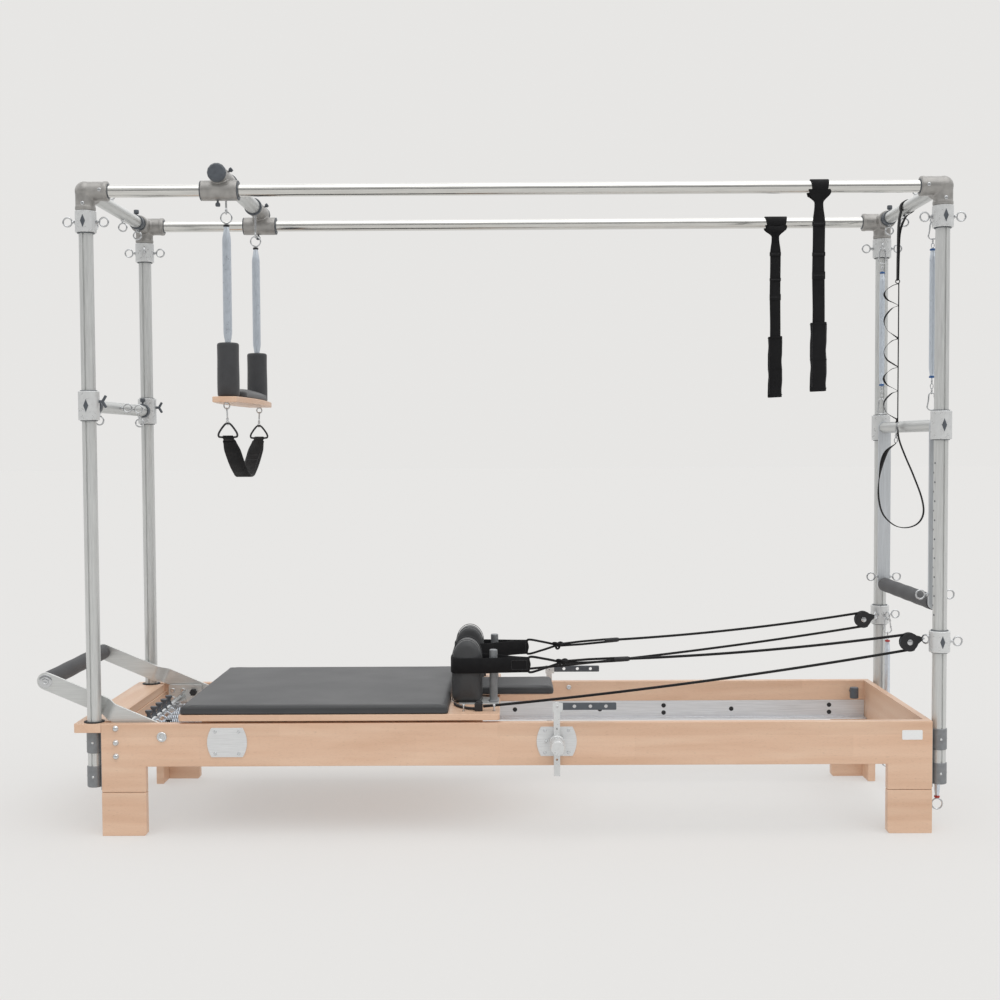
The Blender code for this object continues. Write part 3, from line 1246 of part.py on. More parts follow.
def pulley(side, sign):
    grip = pulley_grip(sign)
    centre = pulley_centre(sign)
    spin = empty("sheave_" + side + "_spin", centre, root)
    half = SHEAVE_WIDTH / 2
    bore = AXLE_PIN_RADIUS + 2 * RUN
    profile = [(SHEAVE_RADIUS, half), (SHEAVE_GROOVE, GROOVE_FLAT / 2),
               (SHEAVE_GROOVE, -GROOVE_FLAT / 2), (SHEAVE_RADIUS, -half), (bore, -half),
               (bore, half)]
    sheave = turned(profile, centre, Y_AXIS, ROUND)
    finish(sheave, "pulley_sheave_" + side, BLACK_PLASTIC, spin)
    tail = BLOCK_TAIL
    link_rise = LOW_COLLAR_Z - PULLEY_Z
    low = link_rise - BLOCK_NECK / 2
    high = link_rise + BLOCK_NECK / 2
    loop = arc((0, 0), BLOCK_RADIUS, CHEEK_OPENS, CHEEK_CLOSES, 8) + [(tail, low), (tail, high)]
    cheek_mid = half + CHEEK_GAP + CHEEK_THICKNESS / 2
    axle_half = Y_AXIS * (cheek_mid + CHEEK_THICKNESS)
    block = rod(centre - axle_half, centre + axle_half, AXLE_PIN_RADIUS, ROUND)
    for way in (-1, 1):
        cheek_place = centre + Y_AXIS * (way * cheek_mid)
        join(block, outline_slab([loop], CHEEK_THICKNESS, upright(cheek_place)))
    neck_low = centre + Vector((SHEAVE_RADIUS + NECK_TO_SHEAVE, -cheek_mid, low + NECK_INSIDE))
    neck_high = centre + Vector((tail - NECK_INSIDE, cheek_mid, high - NECK_INSIDE))
    join(block, box(neck_low, neck_high))
    link_end = centre.x + tail - LINK_INTO_TAIL
    link = [(link_end, centre.y - LINK_MAJOR, LOW_COLLAR_Z)]
    for step in range(5):
        angle = math.radians(-90 + 45 * step)
        link.append((grip.x + LINK_MAJOR * math.cos(angle), grip.y + LINK_MAJOR * math.sin(angle),
                     LOW_COLLAR_Z))
    link.append((link_end, centre.y + LINK_MAJOR, LOW_COLLAR_Z))
    join(block, wire(link, LINK_MINOR, closed=True, detail=0))
    finish(block, "pulley_block_" + side, BLACK_PLASTIC)


for side, sign in SIDES:
    pulley(side, sign)


# Ropes: from the cleat, round the pulley and back to the webbing loop on the shoulder rest
def rope(side, sign):
    wrap = (SHEAVE_GROOVE + ROPE_RADIUS + FIT) / math.cos(math.pi / WRAP_STEPS / 2)
    centre = pulley_centre(sign)
    start = Vector((CLEAT_X + CLEAT_HALF_LENGTH + 3 * FIT, sign * CLEAT_GAUGE, ROPE_START_Z))
    under = centre - Z_AXIS * wrap
    over = centre + Z_AXIS * wrap
    tip = Vector((LOOP_TIP_X - ROPE_INTO_LOOP, sign * LOOP_TIP_GAUGE, LOOP_Z))
    points = []
    for step in range(ROPE_STEPS):
        part = step / ROPE_STEPS
        point = start.lerp(under, part)
        point.z -= ROPE_SAG * 4 * part * (1 - part)
        points.append(point)
    for step in range(WRAP_STEPS + 1):
        angle = math.pi * (step / WRAP_STEPS - 0.5)
        points.append(centre + Vector((math.cos(angle), 0, math.sin(angle))) * wrap)
    for step in range(1, ROPE_STEPS + 1):
        part = step / ROPE_STEPS
        point = over.lerp(tip, part)
        point.z -= ROPE_SAG * 4 * part * (1 - part)
        points.append(point)
    line = wire(points, ROPE_RADIUS, detail=2)
    back = PAD_X - PAD_LENGTH / 2 - LOOP_TO_PAD
    front = REST_POST_X + REST_POST_RADIUS + LOOP_TO_POST
    inner = PAD_GAUGE - PAD_WIDTH / 2 - LOOP_TO_PAD
    outer = PAD_GAUGE + PAD_WIDTH / 2 + LOOP_TO_PAD
    hole = [(LOOP_TIP_X - LOOP_THROAT, LOOP_TIP_GAUGE), (front, outer - LOOP_CORNER / 2),
            (PAD_X + LOOP_BACK_CORNER, outer), (back + LOOP_BACK_CORNER, outer),
            (back, outer - LOOP_CORNER), (back, inner + LOOP_CORNER),
            (back + LOOP_BACK_CORNER, inner), (PAD_X + PAD_LENGTH / 2, inner)]
    middle = Vector(((back + front) / 2, (inner + outer) / 2))
    band = []
    for across, along in hole:
        away = (Vector((across, along)) - middle).normalized()
        away *= LOOP_THICKNESS * LOOP_SPREAD
        band.append((across + away.x, along + away.y))
    hole = [(x, sign * y) for x, y in hole]
    band = [(x, sign * y) for x, y in band]
    webbing = outline_slab([band, hole], LOOP_HEIGHT, Matrix.Translation((0, 0, LOOP_Z)))
    join(line, webbing)
    finish(line, "rope_" + side, WEBBING, carriage_axis)


for side, sign in SIDES:
    rope(side, sign)


# Trolley: two sleeves on the top tubes under a heavier cross tube, with two hangers
trolley_axis = empty("trolley_slide", (TROLLEY_X, 0, TOP_TUBE_Z), root)


def trolley():
    x = TROLLEY_X
    z = TROLLEY_TUBE_Z
    tube_half = TROLLEY_SOCKET_START + DEEP_OVERLAP
    body = rod((x, -tube_half, z), (x, tube_half, z), TROLLEY_TUBE_RADIUS, ROUND)
    for _, sign in SIDES:
        y = sign * POST_Y
        half = TROLLEY_SLEEVE_LENGTH / 2
        join(body, rod((x, sign * TROLLEY_SOCKET_START, z), (x, sign * TROLLEY_TUBE_END, z),
                       TROLLEY_SOCKET_RADIUS, ROUND))
        join(body, rod((x, sign * (TROLLEY_TUBE_END - OVERLAP), z),
                       (x, sign * (TROLLEY_TUBE_END + TROLLEY_CAP_LENGTH), z),
                       TROLLEY_CAP_RADIUS, ROUND))
        join(body, rod((x - half, y, TOP_TUBE_Z), (x + half, y, TOP_TUBE_Z), ELBOW_RADIUS, ROUND))
        cut(body, rod((x - half - CUT_PAST, y, TOP_TUBE_Z), (x + half + CUT_PAST, y, TOP_TUBE_Z),
                      TOP_TUBE_RADIUS + RUN, ROUND))
        screw_x = x + THUMB_SCREW_SHIFT
        screw_z = TOP_TUBE_Z - ELBOW_RADIUS
        stem_end = screw_z - THUMB_STEM_LENGTH
        join(body, rod((screw_x, y, screw_z + THUMB_STEM_EMBED), (screw_x, y, stem_end),
                       THUMB_STEM_RADIUS, FINE_ROUND))
        join(body, rod((screw_x, y, stem_end + OVERLAP), (screw_x, y, screw_z - THUMB_KNOB_END),
                       THUMB_KNOB_RADIUS, FINE_ROUND))
        hanger_y = sign * HANGER_GAUGE
        join(body, rod((x, hanger_y, z - TROLLEY_TUBE_RADIUS + HANGER_EMBED),
                       (x, hanger_y, HANGER_EYE_Z + HANGER_EYE_MAJOR), HANGER_RADIUS, FINE_ROUND))
        join(body, ring((x, hanger_y, HANGER_EYE_Z), X_AXIS, HANGER_EYE_MAJOR, RING_MINOR))
    return body


finish(trolley(), "trapeze_trolley", CAST_GREY, trolley_axis)


def coil(x, y, top, bottom, radius, taper, curls, wire_radius):
    """An unbroken coil down the Z axis whose two ends draw in to the taper radius."""
    points = []
    total = curls * CURL_POINTS
    for step in range(total + 1):
        part = step / total
        angle = 2 * math.pi * step / CURL_POINTS
        near_end = min(part, 1 - part) * curls
        size = taper + (radius - taper) * min(1.0, near_end)
        points.append(Vector((x + size * math.cos(angle), y + size * math.sin(angle),
                              top + (bottom - top) * part)))
    least = min((points[step] - points[step + CURL_POINTS]).length
                for step in range(total + 1 - CURL_POINTS))
    return wire(points, wire_radius, detail=1), least - 2 * wire_radius


spring_gaps = []


# Trapeze: two springs with foam sleeves carry a padded board, and the board a foot strap
def trapeze_pivot_z():
    return HANGER_EYE_Z - HANGER_EYE_MAJOR


trapeze_axis = empty("trapeze_swing", (TROLLEY_X, 0, trapeze_pivot_z()), trolley_axis)


def trapeze_spring(side, sign):
    x = TROLLEY_X
    y = sign * HANGER_GAUGE
    ring_z = trapeze_pivot_z() + 2 * RING_MINOR + LINK_GAP - RING_MAJOR
    spring_top = ring_z - RING_MAJOR - TRAPEZE_NECK_HALF + OVERLAP
    body, gap = coil(x, y, spring_top, SLEEVE_TOP - TRAPEZE_COIL_IN_SLEEVE, TRAPEZE_COIL_RADIUS,
                     TRAPEZE_COIL_NECK, CURLS, TRAPEZE_WIRE_RADIUS)
    spring_gaps.append(gap)
    join(body, rod((x, y, spring_top - TRAPEZE_NECK_HALF), (x, y, ring_z - RING_MAJOR + OVERLAP),
                   TRAPEZE_NECK_RADIUS, SMALL_ROUND))
    join(body, ring((x, y, ring_z), Y_AXIS, RING_MAJOR, RING_MINOR))
    join(body, rod((x, y, SEAT_TOP + FIT), (x, y, SLEEVE_TOP), SLEEVE_RADIUS, ROUND))
    finish(body, "trapeze_spring_" + side, ZINC, trapeze_axis)


for side, sign in SIDES:
    trapeze_spring(side, sign)


def seat_board():
    right = []
    for step in range(SEAT_STEPS + 1):
        part = 2 * step / SEAT_STEPS - 1
        width = SEAT_END_WIDTH + (SEAT_MID_WIDTH - SEAT_END_WIDTH) * (1 - part ** 2)
        right.append((width / 2, part * SEAT_HALF))
    left = [(-across, -along) for across, along in right]
    board = outline_slab([right + left], SEAT_THICKNESS,
                         Matrix.Translation((TROLLEY_X, 0, SEAT_TOP - SEAT_THICKNESS / 2)))
    for _, sign in SIDES:
        y = sign * SEAT_EYE_GAUGE
        eye_z = SEAT_TOP - SEAT_THICKNESS - SEAT_EYE_DROP
        join(board, ring((TROLLEY_X, y, eye_z), Y_AXIS, SEAT_EYE_MAJOR, RING_MINOR),
             rod((TROLLEY_X, y, eye_z + SEAT_EYE_MAJOR - DEEP_OVERLAP),
                 (TROLLEY_X, y, eye_z + SEAT_EYE_STEM_LENGTH), SEAT_EYE_STEM_RADIUS, FINE_ROUND))
    return board


finish(seat_board(), "seat_board", BEECH, trapeze_axis, round_edges=False)
seat_pad = cushion((TROLLEY_X - SEAT_PAD_WIDTH / 2, -SEAT_PAD_HALF, SEAT_TOP + FIT),
                   (TROLLEY_X + SEAT_PAD_WIDTH / 2, SEAT_PAD_HALF,
                    SEAT_TOP + FIT + SEAT_PAD_THICKNESS), SEAT_PAD_RADIUS, SEAT_PAD_CROWN,
                   SMALL_PAD_DRAW, (2, 6, 1))
finish(seat_pad, "seat_pad", VINYL, trapeze_axis)

foot_eye_bottom = SEAT_TOP - SEAT_THICKNESS - SEAT_EYE_DROP - SEAT_EYE_MAJOR
foot_hook_top = foot_eye_bottom + 2 * RING_MINOR + LINK_GAP
foot_strap_axis = empty("foot_strap_swing", (TROLLEY_X, 0, foot_hook_top), trapeze_axis)


def thick_line(points, half):
    """An outline that runs along a line of points and back, half the thickness off it."""
    out = []
    back = []
    for index, point in enumerate(points):
        before = Vector(points[max(index - 1, 0)])
        after = Vector(points[min(index + 1, len(points) - 1)])
        along = (after - before).normalized()
        lean = Vector((-along.y, along.x)) * half
        out.append(Vector(point) + lean)
        back.append(Vector(point) - lean)
    return out + back[::-1]


def foot_strap():
    x = TROLLEY_X
    base = FOOT_STRAP_RING_Z
    gauge = SEAT_EYE_GAUGE - FOOT_STRAP_TOE_IN
    half = FOOT_STRAP_THICKNESS / 2
    knee = (FOOT_STRAP_KNEE, base - FOOT_STRAP_KNEE_DROP)
    flat = (FOOT_STRAP_FLAT, FOOT_STRAP_BOTTOM + half)
    right = [flat, knee, (gauge, base)]
    left = [(-across, up) for across, up in reversed(right)]
    outline = thick_line(left + right, half)
    strap = outline_slab([outline], FOOT_STRAP_WIDTH, sideways((x, 0, 0)))
    for _, sign in SIDES:
        y = sign * gauge
        wide = TRIANGLE_WIDTH / 2
        top = base + TRIANGLE_HEIGHT
        swell = wide + TRIANGLE_SWELL
        corners = [(x - wide, y, base), (x + wide, y, base),
                   (x + swell, y, base + TRIANGLE_SHOULDER), (x + TRIANGLE_TIP, y, top),
                   (x - TRIANGLE_TIP, y, top), (x - swell, y, base + TRIANGLE_SHOULDER)]
        join(strap, wire(corners, TRIANGLE_WIRE_RADIUS, closed=True, detail=0))
        hook_low = top + HOOK_BELOW
        shoulder = foot_hook_top - HOOK_SHOULDER
        eye_y = sign * SEAT_EYE_GAUGE
        hook = [(x, eye_y + HOOK_REACH, shoulder), (x, eye_y + HOOK_CROWN, foot_hook_top),
                (x, eye_y - HOOK_CROWN, foot_hook_top), (x, eye_y - HOOK_REACH, shoulder),
                (x, y - HOOK_REACH, hook_low), (x, y, top), (x, y + HOOK_REACH, hook_low)]
        join(strap, wire(hook, HOOK_WIRE_RADIUS, closed=True, detail=0))
    return strap


finish(foot_strap(), "foot_strap", WEBBING, foot_strap_axis)


# Tower springs: a coil with a clip at each end, hung from a collar's inboard eye
def clip(x, y, top, length, width):
    """A pear-shaped snap hook, in the XZ plane, between its top and its length below."""
    half = width / 2
    shape = [(0.38, 0.0), (0.62, -0.14), (0.78, -0.60), (1.0, -0.84), (0.0, -1.0)]
    right = [(x + half * across, y, top + length * down) for across, down in shape]
    left = [(x - half * across, y, top + length * down) for across, down in shape[-2::-1]]
    return wire(right + left, EYE_MINOR, closed=True, detail=0)


def tower_spring(name, side, sign, turn, eye_z, top, bottom, end_z):
    place = eye_place(POST_X, sign, turn)
    x = place.x
    y = place.y
    pivot_z = eye_z - EYE_MAJOR
    axis = empty(name + "_" + side + "_swing", (x, y, pivot_z), root)
    hook_top = pivot_z + 2 * EYE_MINOR + LINK_GAP
    body, gap = coil(x, y, top - COIL_END_LENGTH, bottom + COIL_END_LENGTH, TOWER_COIL_RADIUS,
                     COIL_NECK, CURLS, WIRE_RADIUS)
    spring_gaps.append(gap)
    join(body, rod((x, y, top - FERRULE_LENGTH), (x, y, top), FERRULE_RADIUS, SMALL_ROUND))
    join(body, rod((x, y, bottom), (x, y, bottom + FERRULE_LENGTH), FERRULE_RADIUS, SMALL_ROUND))
    join(body, clip(x, y, hook_top, CARABINER_LENGTH, CARABINER_WIDTH))
    hook_low = hook_top - CARABINER_LENGTH
    join(body, rod((x, y, top - DEEP_OVERLAP), (x, y, hook_low + OVERLAP), CHAIN_RADIUS,
                   FINE_ROUND))
    if end_z is None:
        join(body, ring((x, y, bottom - EYE_MAJOR + OVERLAP), Y_AXIS, EYE_MAJOR, EYE_MINOR))
    else:
        clip_top = end_z + CARABINER_LENGTH
        join(body, rod((x, y, bottom + DEEP_OVERLAP), (x, y, clip_top - OVERLAP), CHAIN_RADIUS,
                       FINE_ROUND),
             clip(x, y, clip_top, CARABINER_LENGTH, CARABINER_WIDTH))
    finish(body, name + "_" + side, ZINC, axis)


for side, sign in SIDES:
    tower_spring("upper_spring", side, sign, SPRING_EYE_TURN, TOP_COLLAR_Z, UPPER_SPRING_TOP,
                 UPPER_SPRING_BOTTOM, UPPER_SPRING_END)
    tower_spring("lower_spring", side, sign, -SPRING_EYE_TURN, LOW_COLLAR_Z, LOWER_SPRING_TOP,
                 LOWER_SPRING_BOTTOM, None)


# Hanging straps: webbing loops round the top tubes, ending in sewn sleeves
def loop_strap(side, sign):
    x = LOOP_STRAP_X
    y = sign * POST_Y
    z = TOP_TUBE_Z
    axis = empty("loop_strap_" + side + "_swing", (x, y, z), root)
    outer = TOP_TUBE_RADIUS + RUN + LOOP_STRAP_THICKNESS
    half = LOOP_STRAP_WIDTH / 2
    strap = rod((x - half, y, z), (x + half, y, z), outer, BORE_ROUND)
    thick = LOOP_STRAP_THICKNESS
    join(strap, box((x - half, y - thick, LOOP_SLEEVE_TOP - DEEP_OVERLAP),
                    (x + half, y + thick, z - TOP_TUBE_RADIUS)))
    sleeve = LOOP_SLEEVE_WIDTH / 2
    deep = LOOP_SLEEVE_THICKNESS / 2
    join(strap, box((x - sleeve, y - deep, LOOP_STRAP_BOTTOM),
                    (x + sleeve, y + deep, LOOP_SLEEVE_TOP)))
    cut(strap, rod((x - half - CUT_PAST, y, z), (x + half + CUT_PAST, y, z),
                   turning_bore(TOP_TUBE_RADIUS, FIT), BORE_ROUND))
    finish(strap, "loop_strap_" + side, WEBBING, axis, round_edges=False)


for side, sign in SIDES:
    loop_strap(side, sign)


# Long strap: webbing round the head cross tube, with a wide loop at its foot
def long_strap():
    y = LONG_STRAP_Y
    tube_x = POST_X
    wrap = CROSS_TUBE_RADIUS + FIT
    thick = LOOP_STRAP_THICKNESS
    strap = rod((tube_x, y - LONG_WRAP_HALF, TOP_TUBE_Z), (tube_x, y + LONG_WRAP_HALF, TOP_TUBE_Z),
                wrap + thick, BORE_ROUND)
    back = LONG_STRAP_X - LONG_LEAD_BACK
    front = LONG_STRAP_X + LONG_LEAD_FRONT
    bend_z = TOP_TUBE_Z - LONG_LEAD_BEND
    lead = [(tube_x - wrap - thick + OVERLAP, TOP_TUBE_Z), (back, bend_z),
            (back, LONG_STRAP_RING_Z), (front, LONG_STRAP_RING_Z), (front, bend_z),
            (tube_x - wrap + OVERLAP, TOP_TUBE_Z - LONG_LEAD_TOP_DROP)]
    join(strap, outline_slab([lead], LONG_LEAD_WIDTH, upright((0, y, 0))))
    clip_z = LONG_STRAP_CLIP_Z
    join(strap, box((LONG_STRAP_X - LONG_TAPE_HALF, y - LONG_TAPE_HALF_WIDTH,
                     clip_z + DEEP_OVERLAP),
                    (LONG_STRAP_X + LONG_TAPE_HALF, y + LONG_TAPE_HALF_WIDTH,
                     LONG_STRAP_RING_Z + DEEP_OVERLAP)))
    join(strap, box((LONG_STRAP_X - LONG_CLIP_BACK, y - LONG_CLIP_HALF_WIDTH,
                     clip_z - LONG_CLIP_BELOW),
                    (LONG_STRAP_X + LONG_CLIP_FRONT, y + LONG_CLIP_HALF_WIDTH,
                     clip_z + LONG_CLIP_ABOVE)))
    route = [(LONG_STRAP_X + across, clip_z - drop) for across, drop in LONG_LOOP_ROUTE]
    route = smooth_points([(x, y, z) for x, z in route], LONG_LOOP_POINTS)
    join(strap, wire(route, LONG_LOOP_RADIUS, detail=0))
    cut(strap, rod((tube_x, y - LONG_WRAP_HALF - CUT_PAST, TOP_TUBE_Z),
                   (tube_x, y + LONG_WRAP_HALF + CUT_PAST, TOP_TUBE_Z),
                   turning_bore(CROSS_TUBE_RADIUS, FIT), BORE_ROUND))
    return strap


long_strap_axis = empty("long_strap_swing", (POST_X, LONG_STRAP_Y, TOP_TUBE_Z), root)
finish(long_strap(), "long_strap", WEBBING, long_strap_axis)


# Side levers: a plate with a stud and knob, and an L-shaped bar that turns on the stud
def side_lever(side, sign):
    drop = FAR_LEVER_DROP if side == "far" else 0.0
    plate_y = HALF_WIDTH + FIT
    boss_y = plate_y + PLATE_THICKNESS + LEVER_BOSS_REACH
    bar_y = boss_y + RUN
    ring_y = bar_y + LEVER_BAR_THICKNESS + LEVER_HUB_REACH
    knob_y = ring_y + RUN
    end_y = knob_y + LEVER_KNOB_REACH
    x = LEVER_X
    z = LEVER_Z
    base = bulged_plate((x, sign * (plate_y + PLATE_THICKNESS / 2), z))
    join(base, rod((x, sign * (plate_y + OVERLAP), z), (x, sign * boss_y, z), LEVER_BOSS_RADIUS,
                   ROUND))
    join(base, rod((x, sign * (boss_y - OVERLAP), z), (x, sign * (knob_y + OVERLAP), z),
                   LEVER_STUD_RADIUS, SMALL_ROUND))
    join(base, rod((x, sign * knob_y, z), (x, sign * end_y, z), LEVER_KNOB_RADIUS, ROUND))
    finish(base, "lever_bracket_" + side, SILVER_PAINT)

    axis = empty("lever_" + side + "_hinge", (x, sign * bar_y, z), root)
    half = LEVER_BAR_WIDTH / 2
    y_a = sign * bar_y
    y_b = sign * (bar_y + LEVER_BAR_THICKNESS)
    near_y = min(y_a, y_b)
    far_y = max(y_a, y_b)
    top = z + LEVER_BAR_TOP - drop
    lever = box((x - half, near_y, z - LEVER_BAR_BOTTOM - drop), (x + half, far_y, top))
    join(lever, rod((x, y_a, z), (x, sign * ring_y, z), LEVER_RING_RADIUS, ROUND))
    arm_top = top - LEVER_ARM_INSET
    join(lever, box((x + half - DEEP_OVERLAP, near_y + LEVER_ARM_INSET, arm_top - LEVER_ARM_HEIGHT),
                    (x + half + LEVER_ARM_LENGTH, far_y - LEVER_ARM_INSET, arm_top)))
    hole_z = arm_top - LEVER_ARM_HEIGHT / 2
    for hole in LEVER_HOLES:
        cut(lever, rod((x + hole, near_y - CUT_PAST, hole_z), (x + hole, far_y + CUT_PAST, hole_z),
                       LEVER_HOLE_RADIUS, SMALL_ROUND))
    cut(lever, rod((x, near_y - CUT_PAST, z), (x, far_y + CUT_PAST, z),
                   turning_bore(LEVER_STUD_RADIUS), BORE_ROUND))
    finish(lever, "side_lever_" + side, SILVER_PAINT, axis)


for side, sign in SIDES:
    side_lever(side, sign)

print("least gap between spring curls, mm:", round(min(spring_gaps) * 1000, 2))
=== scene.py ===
import math

import bmesh
import bpy
from mathutils import Matrix, Vector


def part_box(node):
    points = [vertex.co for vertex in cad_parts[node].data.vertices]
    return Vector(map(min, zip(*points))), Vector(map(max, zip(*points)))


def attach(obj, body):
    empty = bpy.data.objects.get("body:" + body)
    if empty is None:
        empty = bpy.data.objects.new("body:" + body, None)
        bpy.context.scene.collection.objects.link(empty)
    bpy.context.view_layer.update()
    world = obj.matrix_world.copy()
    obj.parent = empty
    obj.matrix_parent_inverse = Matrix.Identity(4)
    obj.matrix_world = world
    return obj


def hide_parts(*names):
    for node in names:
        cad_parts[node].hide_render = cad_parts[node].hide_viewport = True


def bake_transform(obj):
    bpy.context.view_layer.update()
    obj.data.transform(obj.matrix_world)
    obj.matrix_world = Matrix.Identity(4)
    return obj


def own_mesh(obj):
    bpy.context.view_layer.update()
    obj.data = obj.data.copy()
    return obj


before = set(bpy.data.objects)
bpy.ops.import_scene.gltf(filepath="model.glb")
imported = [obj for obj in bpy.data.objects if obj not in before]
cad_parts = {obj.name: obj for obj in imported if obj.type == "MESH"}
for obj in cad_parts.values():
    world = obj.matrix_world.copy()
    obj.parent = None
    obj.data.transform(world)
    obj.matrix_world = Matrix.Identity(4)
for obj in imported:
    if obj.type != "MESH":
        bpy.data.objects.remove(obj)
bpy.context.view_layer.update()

# Side frames: two beech boards, 25 mm thick, that carry the tracks and the carriage. Each
# has a square leg block glued on at both ends and, under a seam, a riser of the same
# width. Returns of the same board stiffen the legs across the ends of the bed.
bed_low, bed_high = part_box("side_frame_near")
tube_low, tube_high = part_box("top_tube_near")
bed_middle = (tube_low.x + tube_high.x) / 2
half_bed = (bed_high.x - bed_low.x) / 2
half_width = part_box("side_frame_far")[1].y - 0.0025
rail_top = 0.322
rail_bottom = 0.199
board_thickness = 0.025
rail_face = half_width - board_thickness
leg_width = 0.127
leg_seam = 0.125
leg_return = 0.1
seam = 0.0008
up = Vector((0, 0, 1))
both_sides = (("near", -1), ("far", 1))
both_ends = (("foot", -1), ("head", 1))


def node(tree, kind, **settings):
    """A shader node with its settings and inputs given by name. A socket is linked."""
    made = tree.nodes.new("ShaderNode" + kind)
    for name, value in settings.items():
        if isinstance(value, bpy.types.NodeSocket):
            tree.links.new(value, made.inputs[name])
        elif hasattr(made, name):
            setattr(made, name, value)
        else:
            made.inputs[name.replace("_", " ")].default_value = value
    return made


def surface(name, colour, roughness, metallic=0.0, coat=0.0, sheen=0.0):
    """A plain finish, and the slot that every piece made in it fills."""
    made = bpy.data.materials.new(name)
    made.use_nodes = True
    tree = made.node_tree
    shader = tree.nodes["Principled BSDF"]
    for entry, value in (("Base Color", (*colour, 1)), ("Roughness", roughness),
                         ("Metallic", metallic), ("Coat Weight", coat),
                         ("Coat Roughness", 0.25), ("Sheen Weight", sheen)):
        shader.inputs[entry].default_value = value
    return made, tree, shader


def ramp(tree, source, *stops):
    """A colour ramp on a grey value. Each stop is a place and a colour or a grey."""
    made = node(tree, "ValToRGB", Fac=source)
    steps = made.color_ramp.elements
    while len(steps) < len(stops):
        steps.new(0.5)
    for step, (place, colour) in zip(steps, stops):
        step.position = place
        step.color = (colour, colour, colour, 1) if isinstance(colour, float) else (*colour, 1)
    return made.outputs["Color"]


def mixed(tree, mode, share, first, second):
    made = tree.nodes.new("ShaderNodeMix")
    made.data_type = "RGBA"
    made.blend_type = mode
    if isinstance(share, float):
        made.inputs["Factor"].default_value = share
    else:
        tree.links.new(share, made.inputs["Factor"])
    tree.links.new(first, made.inputs["A"])
    tree.links.new(second, made.inputs["B"])
    return made.outputs["Result"]


def object_place(tree):
    return node(tree, "TexCoord").outputs["Object"]


def stretched_noise(tree, stretch, scale, detail, warp=0.0):
    """Noise in the bed's own metres, drawn out along the axes with a small stretch."""
    squeeze = node(tree, "Mapping", Scale=stretch, Vector=object_place(tree))
    grain = node(tree, "TexNoise", Scale=scale, Detail=detail, Distortion=warp,
                 Vector=squeeze.outputs["Vector"])
    return grain.outputs["Fac"]


def bump(tree, shader, height, strength, distance):
    made = node(tree, "Bump", Strength=strength, Distance=distance, Height=height)
    tree.links.new(made.outputs["Normal"], shader.inputs["Normal"])


def beech(name, grain):
    """Oiled beech: glued staves of slightly unlike tone, soft streaks and short dark flecks."""
    made, tree, shader = surface(name, (0.79, 0.57, 0.4), 0.42, coat=0.12)
    along = {"x": (1, 0, 0), "y": (0, 1, 0), "z": (0, 0, 1)}[grain]
    squeeze = [1.0 if axis else 11.0 for axis in along]
    streaks = stretched_noise(tree, squeeze, 2.6, 6.0, 0.35)
    tone = ramp(tree, streaks, (0.28, (0.83, 0.59, 0.43)), (0.52, (0.78, 0.525, 0.37)),
                (0.76, (0.715, 0.455, 0.305)))
    parts = node(tree, "SeparateXYZ", Vector=object_place(tree))
    across = node(tree, "Math")
    for entry, axis in enumerate(axis for axis, on in zip("XYZ", along) if not on):
        tree.links.new(parts.outputs[axis], across.inputs[entry])
    flat = node(tree, "CombineXYZ", X=parts.outputs[grain.upper()], Y=across.outputs["Value"])
    staves = node(tree, "TexBrick", offset=0.37, Scale=1.0, Brick_Width=0.62, Row_Height=0.0615,
                  Mortar_Size=0.0, Color1=(0.9, 0.88, 0.86, 1), Color2=(1, 1, 1, 1),
                  Vector=flat.outputs["Vector"])
    tone = mixed(tree, "MULTIPLY", 0.8, tone, staves.outputs["Color"])
    flecks = stretched_noise(tree, [40.0 if axis else 420.0 for axis in along], 2.2, 2.0)
    tone = mixed(tree, "MULTIPLY", 0.7, tone, ramp(tree, flecks, (0.6, 1.0), (0.7, 0.8)))
    tree.links.new(tone, shader.inputs["Base Color"])
    follow(tree, shader, streaks, None, ((0.3, 0.38), (0.7, 0.5)))
    bump(tree, shader, flecks, 0.12, 0.0004)
    return made


def shade(colour, share):
    return tuple(min(1.0, channel * share) for channel in colour)


def follow(tree, shader, grain, colours, greys):
    """Let the colour and the roughness follow a grain, each between its own stops."""
    if colours:
        tree.links.new(ramp(tree, grain, *colours), shader.inputs["Base Color"])
    tree.links.new(ramp(tree, grain, *greys), shader.inputs["Roughness"])


def add_box(shape, low, high):
    low = Vector(low)
    size = Vector(high) - low
    place = Matrix.Translation(low + size / 2) @ Matrix.Diagonal((*size, 1))
    bmesh.ops.create_cube(shape, size=1.0, matrix=place)


def add_slab(shape, loops, thickness, place):
    """A flat outline, with any holes after it, thickened both ways about its own plane."""
    curve = bpy.data.curves.new("outline", "CURVE")
    curve.dimensions = "2D"
    curve.fill_mode = "BOTH"
    curve.extrude = thickness / 2
    for loop in loops:
        spline = curve.splines.new("POLY")
        spline.points.add(len(loop) - 1)
        for slot, (across, high) in zip(spline.points, loop):
            slot.co = (across, high, 0, 1)
        spline.use_cyclic_u = True
    drawn = bpy.data.objects.new("outline", curve)
    mesh = drawn.to_mesh()
    mesh.transform(place)
    flat = bmesh.new()
    flat.from_mesh(mesh)
    bmesh.ops.remove_doubles(flat, verts=flat.verts, dist=0.00001)
    bmesh.ops.dissolve_limit(flat, angle_limit=0.01, verts=flat.verts, edges=flat.edges)
    whole = bpy.data.meshes.new("whole")
    flat.to_mesh(whole)
    flat.free()
    shape.from_mesh(whole)
    drawn.to_mesh_clear()
    bpy.data.objects.remove(drawn)
    bpy.data.curves.remove(curve)
    bpy.data.meshes.remove(whole)


def facing_side(centre):
    """An outline's X stays X and its Y points up: the plane of the bed's sides."""
    return Matrix.Translation(centre) @ Matrix.Rotation(math.radians(90), 4, "X")


